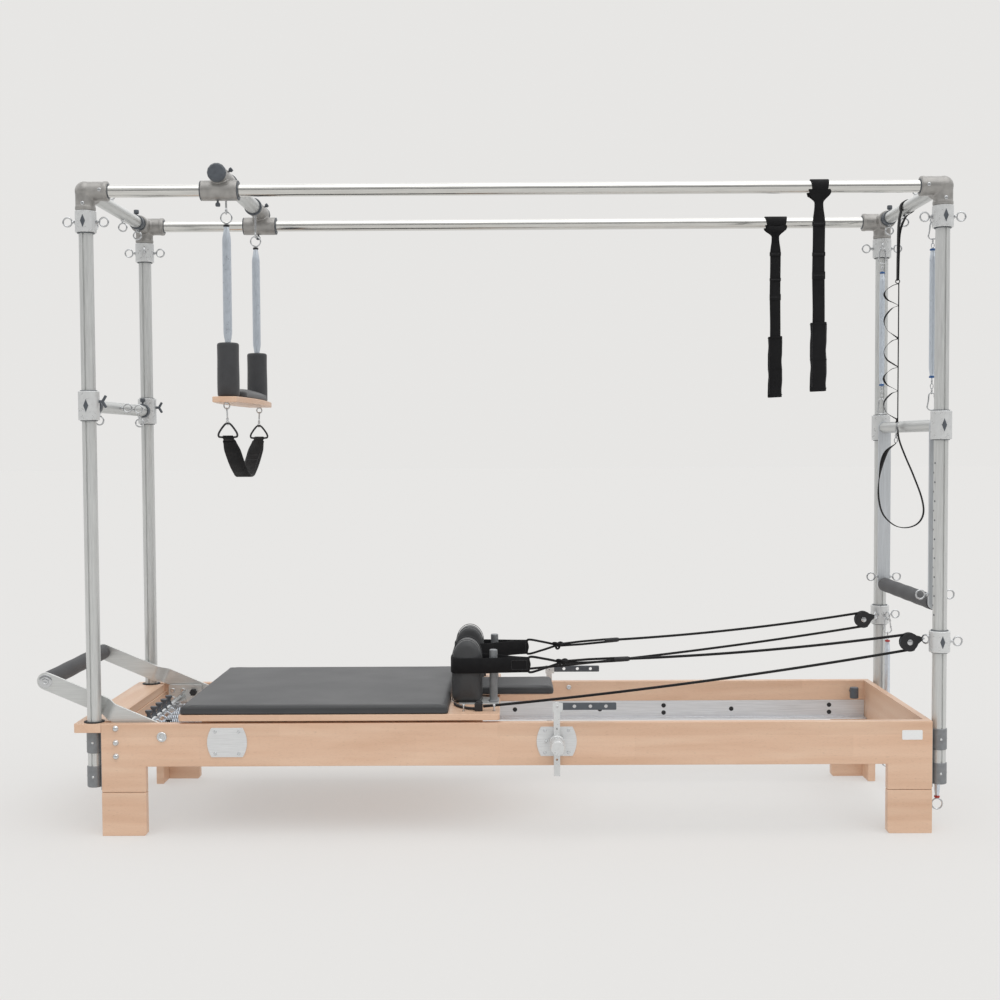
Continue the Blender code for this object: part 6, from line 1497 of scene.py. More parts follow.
def hanging(start, end, sag, count):
    """Points from start to end that sag in the middle."""
    start, end = Vector(start), Vector(end)
    line = [start.lerp(end, step / count) for step in range(count + 1)]
    for step, point in enumerate(line):
        share = step / count
        point.z -= sag * 4 * share * (1 - share)
    return line


for side, way in both_sides:
    centre = Vector((pulley_x, way * pulley_y, pulley_z))
    lower_start = cleat_x + 0.0108
    lower = bmesh.new()
    sweep(lower, hanging((lower_start, way * (cleat_y - 0.005), 0.358),
                         centre - up * wrap_radius, 0.012, 30),
          rope_radius)
    flattened("rope_lower_run_" + side, lower, cord,
              "rope_" + side)
    round_wheel = bmesh.new()
    sweep(round_wheel, [centre + wrap_radius * Vector((math.cos(math.radians(turn)), 0,
                                                       math.sin(math.radians(turn))))
                        for turn in range(-90, 91, 6)], rope_radius)
    make("rope_round_pulley_" + side, round_wheel, cord, sharp=50)

    knot = Vector((knot_at[0], way * knot_at[1], knot_at[2]))
    sleeve_far = Vector((sleeve_x[1], way * 0.196, 0.4795))
    sleeve_near = Vector((sleeve_x[0], way * 0.192, 0.4765))
    upper = bmesh.new()
    sweep(upper, hanging(sleeve_far, centre + up * wrap_radius, 0.01, 26), rope_radius)
    for lift_off in (-0.0042, 0.0042):
        gap = up * lift_off
        sweep(upper, [knot + gap * 0.6, knot.lerp(sleeve_near, 0.5) + gap * 1.1,
                      sleeve_near + gap, sleeve_far + gap * 0.6], rope_radius * 0.92)
    web_end = Vector((loop_tip_x, way * loop_tip_y, 0))
    top_corner = web_end + up * (loop_z + 0.0225)
    low_corner = web_end + up * (loop_z - 0.0225)
    fork = smooth_path([knot, knot.lerp(top_corner, 0.55) + up * 0.002, top_corner,
                        web_end + up * loop_z, low_corner,
                        knot.lerp(low_corner, 0.55) - up * 0.002, knot], 54)
    sweep(upper, fork, rope_radius * 0.92)
    trefoil = []
    for step in range(60):
        t = 2 * math.pi * step / 60
        trefoil.append(knot + Vector((0.0068 * (math.sin(t) + 1.5 * math.sin(2 * t)),
                                      0.0052 * -math.sin(3 * t),
                                      0.0046 * (math.cos(t) - 1.6 * math.cos(2 * t)))))
    sweep(upper, trefoil, rope_radius * 0.88, closed=True)
    flattened("rope_upper_run_" + side, upper, cord)
    cover = bmesh.new()
    axis = (sleeve_far - sleeve_near)
    profile = [(0, 0), (0.0056, 0.0002), (0.0074, 0.003), (0.0076, 0.02), (0.0072, 0.041),
               (0.0052, 0.0445), (0, 0.0447)]
    add_lathe(cover, profile, sleeve_near - axis.normalized() * 0.001, axis, 20)
    flattened("rope_sleeve_" + side, cover, black_rubber)

    band = bmesh.new()
    back = pad_x - pad_half_x - 0.0035
    front = rest_post_x + rest_post_radius + 0.004
    inner, outer = 0.095, 0.195
    plan = [(loop_tip_x - 0.002, loop_tip_y - 0.0035), (0.004, 0.16), (-0.055, 0.124),
            (pad_x + 0.034, inner + 0.0004), (back + 0.02, inner - 0.0004),
            (back + 0.002, inner + 0.016), (back, pad_y), (back + 0.002, outer - 0.016),
            (back + 0.02, outer + 0.0004), (pad_x + 0.034, outer - 0.0004), (front, 0.188),
            (0.004, 0.1822), (loop_tip_x - 0.002, loop_tip_y + 0.0035)]
    path = smooth_path([(a, way * b, loop_z) for a, b in plan], 96)
    ribbon(band, path, up, loop_half, 0.0034)
    make("webbing_loop_" + side, band, webbing, "carriage", sharp=50)
    cuff = bmesh.new()
    middle_y = way * loop_tip_y
    add_box(cuff, (-0.018, middle_y - 0.0085, loop_z - 0.0195),
            (loop_tip_x - 0.001, middle_y + 0.0085, loop_z + 0.0195))
    make("webbing_cuff_" + side, cuff, webbing, "carriage", round_by=0.006, rounds=4)
    sewing = bmesh.new()
    for face in (-1, 1):
        y = middle_y + face * 0.0087
        for high in (-0.0135, 0.0135):
            add_stitches(sewing, (-0.012, y, loop_z + high), (0.036, y, loop_z + high),
                         (0, face, 0))
        for x in (-0.012, 0.034):
            add_stitches(sewing, (x, y, loop_z - 0.013), (x, y, loop_z + 0.013), (0, face, 0))
    make("webbing_stitches_" + side, sewing, thread, "carriage")


# Trolley: a heavier cross tube in two cast saddles that slide on the top tubes, with slate
# end caps, clamp rings and thumb screws. Two hanger rods with small eyes carry the trapeze.
trolley_x = -0.829
saddle_half = 0.052
cross_z = 1.875
cross_tube_radius, socket_radius = 0.0225, 0.0255
socket_start, socket_end = 0.2, 0.346
hanger_y, hanger_eye_z, hanger_eye = 0.226, 1.789, 0.008

saddles = bmesh.new()
for way in (-1, 1):
    y = way * post_gauge
    add_tube(saddles, (trolley_x - saddle_half, y, top_tube_z),
             (trolley_x + saddle_half, y, top_tube_z), elbow_radius, top_radius + 0.0009,
             sides=72, lip=0.0016)
    ends = sorted((way * socket_start, way * socket_end))
    add_rod(saddles, (trolley_x, ends[0], cross_z), (trolley_x, ends[1], cross_z), socket_radius,
            64, 0.0015)
    add_box(saddles, (trolley_x - 0.017, y - 0.02, top_tube_z + 0.0205),
            (trolley_x + 0.017, y + 0.02, top_tube_z + 0.032))
piece = make("trolley_saddles", saddles, cast_finish, "trolley", "trapeze_trolley")
soften(piece, 0.0019, 4)
tube = bmesh.new()
add_rod(tube, (trolley_x, -socket_start - 0.004, cross_z),
        (trolley_x, socket_start + 0.004, cross_z), cross_tube_radius, 64)
make("trolley_cross_tube", tube, cross_finish, "trolley")
trim = bmesh.new()
for way in (-1, 1):
    for x_way in (-1, 1):
        face = trolley_x + x_way * saddle_half
        near_x, far_x = sorted((face - x_way * 0.0005, face + x_way * 0.0022))
        add_tube(trim, (near_x, way * post_gauge, top_tube_z),
                 (far_x, way * post_gauge, top_tube_z),
                 elbow_radius - 0.0004, top_radius + 0.0006)
    ring_ends = sorted((way * (socket_start - 0.004), way * (socket_start - 0.016)))
    add_tube(trim, (trolley_x, ring_ends[0], cross_z), (trolley_x, ring_ends[1], cross_z),
             cross_tube_radius + 0.0052, cross_tube_radius + 0.0002)
    add_thumb_screw(trim, (trolley_x - 0.006, way * post_gauge, top_tube_z - elbow_radius + 0.001),
                    -up, 0.006, 0.007, 0.011)
    lean = Vector((0.8, 0, 0.6))
    foot = Vector((trolley_x, way * (socket_start + 0.085), cross_z)) + lean * socket_radius
    add_thumb_screw(trim, foot, lean, 0.003, 0.0066, 0.01)
make("trolley_rings_and_screws", trim, dark_slate, "trolley", round_by=0.0004)
caps = bmesh.new()
for way in (-1, 1):
    facets = [(0, 0), (0.0262, 0), (0.027, 0.0008), (0.027, 0.0065), (0.0225, 0.0128),
              (0.012, 0.0138), (0, 0.0139)]
    add_lathe(caps, facets, (trolley_x, way * (socket_end - 0.0008), cross_z), (0, way, 0), 14)
make("trolley_end_caps", caps, dark_slate, "trolley", round_by=0.0008, sharp=12)
hangers = bmesh.new()
for way in (-1, 1):
    y = way * hanger_y
    add_rod(hangers, (trolley_x, y, cross_z - socket_radius + 0.003),
            (trolley_x, y, hanger_eye_z + hanger_eye), 0.003, 20)
    add_lathe(hangers, [(0, 0), (0.0062, 0), (0.0062, 0.004), (0.0032, 0.0056), (0, 0.0056)],
              (trolley_x, y, cross_z - socket_radius + 0.002), -up, 6)
    add_ring(hangers, (trolley_x, y, hanger_eye_z), (1, 0, 0), hanger_eye, 0.0022)
make("trolley_hangers", hangers, hardware, "trolley")


# Trapeze: two close-wound springs with tapered necks under black ferrules, foam sleeves on
# the lower coils, and a beech board with a padded vinyl seat between them.
trapeze_ring_z, trapeze_ring = 1.7698, 0.016
trapeze_top = 1.7498
sleeve_top = 1.41
seat_top, seat_thickness = 1.2535, 0.017
seat_eye_y, seat_eye_z = 0.254, 1.2265


def add_coil(shape, place, top, bottom, radius, neck, wire_radius, taper):
    """A close-wound spring down the Z axis whose ends draw in to narrower necks."""
    pitch = wire_radius * 2.12
    turns = (top - bottom) / pitch
    steps = int(turns * 12)
    points = []
    for step in range(steps + 1):
        part = step / steps
        drop = (top - bottom) * part
        size = neck + (radius - neck) * eased(min(drop, top - bottom - drop) / taper)
        turn = 2 * math.pi * turns * part
        points.append((place[0] + size * math.cos(turn), place[1] + size * math.sin(turn),
                       top - drop))
    sweep(shape, points, wire_radius, sides=7)
    core = []
    for step in range(41):
        drop = (top - bottom) * step / 40
        size = neck + (radius - neck) * eased(min(drop, top - bottom - drop) / taper)
        core.append((size + wire_radius * 0.62, drop))
    core = [(0, core[0][1])] + core + [(0, core[-1][1])]
    add_lathe(shape, core, (place[0], place[1], top), -up, 20)


for side, way in both_sides:
    y = way * hanger_y
    coil = bmesh.new()
    add_coil(coil, (trolley_x, y), trapeze_top - 0.006, sleeve_top - 0.008, 0.0112, 0.0062,
             0.0018, 0.04)
    make("trapeze_coil_" + side, coil, zinc, "trapeze", "trapeze_spring_" + side)
    ferrule = bmesh.new()
    add_lathe(ferrule, [(0, 0), (0.007, 0), (0.0086, 0.0012), (0.0086, 0.0058), (0.0074, 0.007),
                        (0, 0.007)], (trolley_x, y, trapeze_top - 0.0068), up, 28)
    make("trapeze_ferrule_" + side, ferrule, black_rubber, "trapeze")
    ring = bmesh.new()
    add_ring(ring, (trolley_x, y, trapeze_ring_z), (0, 1, 0), trapeze_ring, 0.0022, 48)
    add_rod(ring, (trolley_x, y, trapeze_top - 0.001),
            (trolley_x, y, trapeze_ring_z - trapeze_ring), 0.0034, 16)
    make("trapeze_ring_" + side, ring, hardware, "trapeze")
    grip = bmesh.new()
    add_grip(grip, (trolley_x, y, seat_top + 0.0006), (trolley_x, y, sleeve_top), 0.0316, 0.0128,
             2)
    piece = make("trapeze_sleeve_" + side, grip, foam_finish, "trapeze")

board = bmesh.new()
right = [(0.5 * (0.07 + 0.034 * (1 - (k / 12) ** 2)), 0.285 * k / 12) for k in range(-12, 13)]
outline = [(trolley_x + across, along) for across, along in right]
outline += [(trolley_x - across, -along) for across, along in right]
add_plan(board, [outline], seat_top - seat_thickness, seat_top)
make("trapeze_board", board, beech_across, "trapeze", "seat_board", round_by=0.0025)
eyes = bmesh.new()
for way in (-1, 1):
    place = Vector((trolley_x, way * seat_eye_y, seat_eye_z))
    add_ring(eyes, place, (0, 1, 0), 0.0082, 0.0021)
    add_rod(eyes, place + up * 0.0095, place + up * 0.0145, 0.003, 16)
    hexagon(eyes, place + up * 0.0105, place + up * 0.0068, 0.0085)
    add_lathe(eyes, [(0, 0), (0.007, 0), (0.007, 0.001), (0, 0.001)],
              place + up * 0.0088, up, 24)
make("trapeze_board_eyes", eyes, hardware, "trapeze")
low = (trolley_x - 0.045 + swell, -0.19 + swell, seat_top + 0.0006)
high = (trolley_x + 0.045 - swell, 0.19 - swell, seat_top + 0.03 - swell)
stuffed("trapeze_seat", pad_form(low, high, 0.02, 0.013, crown=0.009), vinyl, "trapeze",
        ["seat_pad"], 0.0045, 0.004, near_base(seat_top), kept_on_board(seat_top + 0.0004))


# Foot strap: a padded webbing sleeve in a V under the trapeze board. Folded webbing tabs
# hold it to black triangular rings, and swivel snap hooks hang those from the board's eyes.
strap_ring_z = 1.137
strap_gauge = seat_eye_y - 0.01
triangle_half, triangle_height = 0.028, 0.04


def add_snap_hook(shape, top, bottom, width):
    """A small swivel snap: an eye, a barrel and a narrow hook with a sprung tongue."""
    top, bottom = Vector(top), Vector(bottom)
    axis = (top - bottom).normalized()
    aside = axis.cross(Vector((1, 0, 0))).normalized()
    length = (top - bottom).length
    hook = []
    for share, reach in ((0.98, 0.0), (0.92, 0.55), (0.72, 0.8), (0.5, 0.62), (0.44, 0.0),
                         (0.5, -0.62), (0.72, -0.8), (0.92, -0.55)):
        hook.append(bottom + axis * length * share + aside * reach * width)
    sweep(shape, smooth_path(hook, 40, closed=True), 0.0016, closed=True, sides=10)
    add_rod(shape, bottom + axis * length * 0.22, bottom + axis * length * 0.46, 0.0026, 18)
    add_lathe(shape, [(0, 0), (0.004, 0.0004), (0.0044, 0.002), (0.0036, 0.004), (0, 0.0044)],
              bottom + axis * length * 0.3, axis, 18)
    lower = [bottom + axis * length * share + Vector((reach, 0, 0)) * width
             for share, reach in ((0.0, 0.0), (0.07, 0.6), (0.18, 0.6), (0.26, 0.0),
                                  (0.18, -0.6), (0.07, -0.6))]
    sweep(shape, smooth_path(lower, 28, closed=True), 0.0015, closed=True, sides=10)


triangles = bmesh.new()
hooks = bmesh.new()
tabs = bmesh.new()
for way in (-1, 1):
    y = way * strap_gauge
    corners = [(0, triangle_height), (-0.01, triangle_height - 0.005),
               (-triangle_half + 0.003, 0.014), (-triangle_half + 0.001, 0.003),
               (-triangle_half + 0.008, 0.0), (0, 0), (triangle_half - 0.008, 0.0),
               (triangle_half - 0.001, 0.003), (triangle_half - 0.003, 0.014),
               (0.01, triangle_height - 0.005)]
    path = smooth_path([(trolley_x + a, y, strap_ring_z + b) for a, b in corners], 80, closed=True)
    sweep(triangles, path, 0.0029, closed=True, sides=14)
    add_snap_hook(hooks, (trolley_x, way * seat_eye_y, seat_eye_z - 0.0048),
                  (trolley_x, y, strap_ring_z + triangle_height - 0.0045), 0.0058)
    slope = Vector((0, -way * 0.222, -0.118)).normalized()
    normal = Vector((0, -slope.z, slope.y))
    turn_over = []
    for step in range(-8, 9):
        turn = math.pi / 2 * step / 8
        turn_over.append(Vector((trolley_x, y, strap_ring_z)) - slope * 0.004 * math.cos(turn)
                         + normal * 0.004 * math.sin(turn))
    down = [Vector((trolley_x, y, strap_ring_z)) + slope * reach for reach in (0.03, 0.014)]
    path = ([down[0] - normal * 0.0012, down[1] - normal * 0.0034] + turn_over
            + [down[1] + normal * 0.0034, down[0] + normal * 0.0012])
    ribbon(tabs, path, Vector((1, 0, 0)), 0.0148, 0.0017)
make("foot_strap_rings", triangles, black_rubber, "foot_strap", "foot_strap")
make("foot_strap_hooks", hooks, hardware, "foot_strap")
make("foot_strap_tabs", tabs, webbing, "foot_strap", sharp=50)
sleeve = bmesh.new()
top_point = Vector((0, strap_gauge - 0.0175, strap_ring_z - 0.0105))
path = [(-top_point.y, top_point.z), (-0.12, 1.06), (-0.045, 1.0262), (-0.022, 1.0212),
        (0, 1.0205), (0.022, 1.0212), (0.045, 1.0262), (0.12, 1.06),
        (top_point.y, top_point.z)]
path = smooth_path([(trolley_x, a, b) for a, b in path], 72)
ends = [0.019 + 0.0055 * eased(min(k, 72 - k) / 4) for k in range(73)]
ribbon(sleeve, path, Vector((1, 0, 0)), ends, 0.0086)
piece = make("foot_strap_sleeve", sleeve, webbing, "foot_strap", sharp=60, round_by=0.001)
sewing = bmesh.new()
for way in (-1, 1):
    a = Vector((trolley_x, way * 0.214, 1.1245))
    b = Vector((trolley_x, way * 0.056, 1.0395))
    outward = Vector((0, way * 0.47, -0.88))
    for across in (-0.0185, 0.0185):
        shift = Vector((across, 0, 0)) + outward * 0.004
        add_stitches(sewing, a + shift, b + shift, outward)
    shift = outward * 0.0042
    for share in (0.1, 0.45, 0.62):
        mid = a.lerp(b, share) + shift
        add_stitches(sewing, mid - Vector((0.017, 0, 0)), mid + Vector((0.017, 0, 0)), outward)
make("foot_strap_stitches", sewing, thread, "foot_strap")


# Tower springs: long close-wound springs hung from the head collars by pear snap hooks and
# short chains. The upper pair have blue ferrules and a hook below, the lower pair red
# ferrules and an open ring.
eye_reach = collar_radius + 0.022
spring_radius, spring_wire, spring_neck = 0.0072, 0.0018, 0.0046
hook_length, hook_width = 0.048, 0.026
blue = speckled("blue_ferrule",
        (0.03, 0.11, 0.3), 0.35, scale=150.0)
red = speckled("red_ferrule",
        (0.42, 0.035, 0.03), 0.35, scale=150.0)


def add_pear_hook(shape, x, y, top, length, width):
    """A pear-shaped snap hook whose wide end is at the bottom, with a hinge and a gate."""
    half = width / 2
    right = [(0.38, 0.0), (0.62, -0.14), (0.7, -0.4), (0.86, -0.66), (0.98, -0.84),
             (0.62, -0.97)]
    left = [(-across, rise) for across, rise in reversed(right)]
    outline = right + [(0.0, -1.0)] + left
    path = smooth_path([(x + half * across, y, top + length * rise) for across, rise in outline],
                       90, closed=True)
    sweep(shape, path, 0.0021, closed=True, sides=12)
    for rise in (-0.18, -0.62):
        add_lathe(shape, [(0, -0.0032), (0.0029, -0.003), (0.0031, 0), (0.0029, 0.003),
                          (0, 0.0032)],
                  (x + half * (0.66 if rise > -0.3 else 0.84), y, top + length * rise), up, 14)


def add_chain(shape, x, y, top, bottom, links):
    """Small links that turn a quarter from one to the next."""
    pitch = (top - bottom) / links
    for number in range(links):
        middle = top - pitch * (number + 0.5)
        half = pitch / 2 + 0.0012
        oval = []
        for step in range(24):
            turn = 2 * math.pi * step / 24
            across = 0.004 * math.cos(turn)
            flat = (across, 0) if number % 2 else (0, across)
            oval.append((x + flat[0], y + flat[1], middle + half * math.sin(turn)))
        sweep(shape, oval, 0.0012, closed=True, sides=8)


def tower_spring(name, side, way, turn, eye_z, top, bottom, hook_below, ferrule_finish):
    x = post_span - eye_reach * math.sin(math.radians(turn))
    y = way * (post_gauge - eye_reach * math.cos(math.radians(turn)))
    body = name + "_" + side
    hook_top = eye_z - 0.0125 + 0.0054
    coil = bmesh.new()
    add_coil(coil, (x, y), top - 0.008, bottom + 0.008, spring_radius, spring_neck, spring_wire,
             0.026)
    make(body + "_coil", coil, zinc, body, body)
    ends = bmesh.new()
    add_pear_hook(ends, x, y, hook_top, hook_length, hook_width)
    add_chain(ends, x, y, hook_top - hook_length + 0.001, top - 0.001, 2)
    if hook_below:
        add_pear_hook(ends, x, y, bottom - 0.04, hook_length, hook_width)
        add_chain(ends, x, y, bottom + 0.001, bottom - 0.041, 3)
    else:
        add_ring(ends, (x, y, bottom - 0.0145), (0, 1, 0), 0.0155, 0.0024)
    make(body + "_hooks", ends, hardware, body)
    ferrules = bmesh.new()
    for height in (top - 0.01, bottom + 0.0035):
        profile = [(0, 0), (0.006, 0), (0.0082, 0.001), (0.0082, 0.0048), (0.006, 0.0064),
                   (0, 0.0064)]
        add_lathe(ferrules, profile, (x, y, height), up, 28)
    make(body + "_ferrules", ferrules, ferrule_finish, body)


for side, way in both_sides:
    tower_spring("upper_spring", side, way, spring_turn, sum(top_collar) / 2, 1.668, 1.292,
                 True, blue)
    tower_spring("lower_spring", side, way, -spring_turn, sum(low_collar) / 2, 0.469, 0.077,
                 False, red)


# Hanging loop straps: flat webbing choked round each top tube, flaring where it folds over
# itself, with a padded sleeve sewn on its lower end.
strap_x = 0.861
strap_half, choke_half, cuff_half = 0.0172, 0.012, 0.0232
strap_wrap = {"near": 0.026, "far": 0.036}
strap_ears = {"near": 0.031, "far": 0.035}
cuff_tops = {"near": 1.452, "far": 1.462}
cuff_bottoms = {"near": 1.257, "far": 1.262}

for side, way in both_sides:
    y = way * post_gauge
    body = "loop_strap_" + side
    wrap = strap_wrap[side]
    ears = strap_ears[side]
    hitch = bmesh.new()
    count = 56
    circle_path = []
    widths = []
    for step in range(count):
        turn = 2 * math.pi * step / count - math.pi / 2
        circle_path.append((strap_x, y + (top_radius + 0.0022) * math.cos(turn),
                            top_tube_z + (top_radius + 0.0022) * math.sin(turn)))
        widths.append(wrap * (0.9 + 0.1 * math.sin(turn)))
    ribbon(hitch, circle_path, Vector((1, 0, 0)), widths, 0.0026, closed=True)
    for face in (-1, 1):
        folds = []
        widths = []
        for step in range(21):
            part = step / 20
            drop = 0.004 + 0.05 * part
            folds.append((strap_x, y + face * (0.0165 - 0.0135 * eased(part * 1.5)),
                          top_tube_z - drop - 0.008))
            flare = 1 - eased((part - 0.12) / 0.55)
            widths.append(choke_half + (ears - choke_half) * flare)
        ribbon(hitch, folds, Vector((1, 0, 0)), widths, 0.0024)
    make(body + "_hitch", hitch, webbing, body, body, sharp=50)
    cross = bmesh.new()
    lean = [(strap_x - ears * 0.86, y - way * 0.015, top_tube_z - 0.017),
            (strap_x - ears * 0.4, y - way * 0.0185, top_tube_z - 0.0215),
            (strap_x + ears * 0.4, y - way * 0.0185, top_tube_z - 0.0215),
            (strap_x + ears * 0.86, y - way * 0.015, top_tube_z - 0.017)]
    ribbon(cross, smooth_path(lean, 24), up, 0.0088, 0.0026)
    make(body + "_fold", cross, webbing, body, sharp=50)
    strap = bmesh.new()
    for face in (-1, 1):
        line = []
        for step in range(49):
            part = step / 48
            height = top_tube_z - 0.05 + (cuff_tops[side] - 0.01 - top_tube_z + 0.05) * part
            wave = 0.0012 * math.sin(part * 11 + face)
            line.append((strap_x + 0.0006 * math.sin(part * 9), y + face * 0.0014 + wave, height))
        widths = [choke_half + (strap_half - choke_half) * eased(k / 7) for k in range(49)]
        ribbon(strap, line, Vector((1, 0, 0)), widths, 0.0021)
    for share, tall in ((0.16, 0.006), (0.42, 0.005), (0.6, 0.01)):
        height = top_tube_z - 0.05 + (cuff_tops[side] - top_tube_z + 0.05) * share
        add_box(strap, (strap_x - strap_half - 0.0006, y - 0.0046, height - tall),
                (strap_x + strap_half + 0.0006, y + 0.0046, height + tall))
    make(body + "_webbing", strap, webbing, body, sharp=50)
    cuff = bmesh.new()
    low, high = cuff_bottoms[side], cuff_tops[side]
    line = [(strap_x + 0.001 * math.sin(k * 0.4), y + 0.0008 * math.sin(k * 0.55),
             high + (low - high) * k / 30) for k in range(31)]
    widths = [cuff_half * (0.985 + 0.015 * math.sin(k * 0.9)) for k in range(31)]
    ribbon(cuff, line, Vector((1, 0, 0)), widths, 0.0135)
    piece = make(body + "_cuff", cuff, webbing, body, round_by=0.0015, sharp=50)
    hem = bmesh.new()
    for height, tall in ((low + (high - low) * 0.46, 0.0012), (high - 0.006, 0.0012),
                         (low + 0.009, 0.001)):
        add_box(hem, (strap_x - cuff_half + 0.0004, y - 0.0073, height - tall),
                (strap_x + cuff_half - 0.0004, y + 0.0073, height + tall))
    make(body + "_hems", hem, webbing, body, round_by=0.0006)
    sewing = bmesh.new()
    for face in (-1, 1):
        cuff_face = Vector((strap_x, y + face * 0.0068, 0))
        for across in (-cuff_half + 0.004, cuff_half - 0.004):
            add_stitches(sewing, cuff_face + Vector((across, 0, low + 0.012)),
                         cuff_face + Vector((across, 0, high - 0.008)), (0, face, 0))
        for share in (0.16, 0.42, 0.6):
            height = top_tube_z - 0.05 + (cuff_tops[side] - top_tube_z + 0.05) * share
            thin = Vector((strap_x, y + face * 0.0047, height))
            add_stitches(sewing, thin - Vector((strap_half - 0.002, 0, 0)),
                         thin + Vector((strap_half - 0.002, 0, 0)), (0, face, 0))
    make(body + "_stitches", sewing, thread, body)


# Long strap: webbing over the head cross tube down to a small ring, from which an adjusting
# tape hangs in curves beside a straight one, to a snap clip that carries a wide hand loop.
long_x, long_y = 1.18, 0.03
ring_height, clip_height = 1.605, 1.16
across_y = Vector((0, 1, 0))

lead = bmesh.new()
wrap_path = []
for step in range(40):
    turn = math.radians(205 - 260 * step / 39)
    wrap_path.append((post_span + (cross_radius + 0.002) * math.cos(turn), long_y,
                      top_tube_z + (cross_radius + 0.002) * math.sin(turn)))
near_run = smooth_path([(long_x + 0.001, long_y, ring_height + 0.004),
                        (long_x + 0.0015, long_y, 1.69), (long_x + 0.004, long_y, 1.78),
                        wrap_path[0]], 30)
back_run = smooth_path([wrap_path[-1], (long_x + 0.0235, long_y, 1.8),
                        (long_x + 0.0075, long_y, 1.755), (long_x + 0.0046, long_y, 1.69),
                        (long_x + 0.003, long_y, ring_height + 0.004)], 30)
whole_run = near_run[:-1] + wrap_path + back_run[1:]
wide = [0.01 + 0.003 * eased((point[2] - 1.7) / 0.1) for point in whole_run]
ribbon(lead, whole_run, across_y, wide, 0.0022)
make("long_strap_lead", lead, webbing, "long_strap", "long_strap", sharp=50)
ring = bmesh.new()
add_ring(ring, (long_x + 0.0016, long_y, ring_height + 0.001), (0, 1, 0), 0.0062, 0.0015, 28)
make("long_strap_ring", ring, black_rubber, "long_strap")
tapes = bmesh.new()
ribbon(tapes, [(long_x + 0.0052, long_y, ring_height - 0.004),
               (long_x + 0.005, long_y, 1.38), (long_x + 0.0046, long_y, clip_height + 0.01)],
       across_y, 0.005, 0.0012)
anchors = (ring_height - 0.005, 1.535, 1.4336, 1.3455, 1.2724, 1.1825)
curves = []
for above, below in zip(anchors, anchors[1:]):
    curves += [(long_x + 0.003 - 0.042 * reach, above + (below - above) * drop)
               for reach, drop in ((0, 0.03), (0.42, 0.11), (0.88, 0.33), (1.0, 0.54),
                                   (0.76, 0.77), (0.3, 0.92))]
curves += [(long_x + 0.002, anchors[-1]), (long_x - 0.0005, clip_height + 0.012)]
path = smooth_path([(a, long_y, b) for a, b in curves], 220)
slants = [Vector((0.35 * math.sin(k * 0.2), 1, 0)).normalized() for k in range(221)]
ribbon(tapes, path, slants, 0.0052, 0.0011)
make("long_strap_tapes", tapes, webbing, "long_strap", sharp=50)
clip = bmesh.new()
add_snap_hook(clip, (long_x + 0.002, long_y, clip_height + 0.016),
              (long_x - 0.001, long_y, clip_height - 0.05), 0.0072)
make("long_strap_clip", clip, hardware, "long_strap")
loop = bmesh.new()
route = [(1.179, 1.108), (1.15, 1.082), (1.134, 1.035), (1.1262, 0.96), (1.138, 0.896),
         (1.172, 0.858), (1.211, 0.8475), (1.248, 0.86), (1.2658, 0.892), (1.26, 0.94),
         (1.234, 1.01), (1.208, 1.07), (1.19, 1.118), (1.183, clip_height)]
path = smooth_path([(a, long_y, b) for a, b in route], 130)
slants = []
wide = []
for k in range(131):
    share = k / 130
    twist = 0.9 * math.exp(-((share - 0.1) / 0.09) ** 2)
    slants.append(Vector((math.sin(twist), math.cos(twist), 0)))
    wide.append(0.0066 + 0.0045 * math.exp(-((share - 0.14) / 0.12) ** 2))
ribbon(loop, path, slants, wide, 0.0026)
make("long_strap_loop", loop, webbing, "long_strap", sharp=50)


# Side levers: a bulged plate with four screws and a stud, a flat bar that turns on the stud
# under a round hand knob, and a slate adjusting arm with three holes in the bar's clevis.
lever_x, lever_z = 0.1155, 0.2685
stud_radius = 0.006
lever_ring, knob_radius = 0.0215, 0.02
boss_reach = 0.008
bar_thickness = 0.011
bar_half = 0.009
knob_reach = 0.068
lever_drop = {"near": 0.0, "far": 0.014}

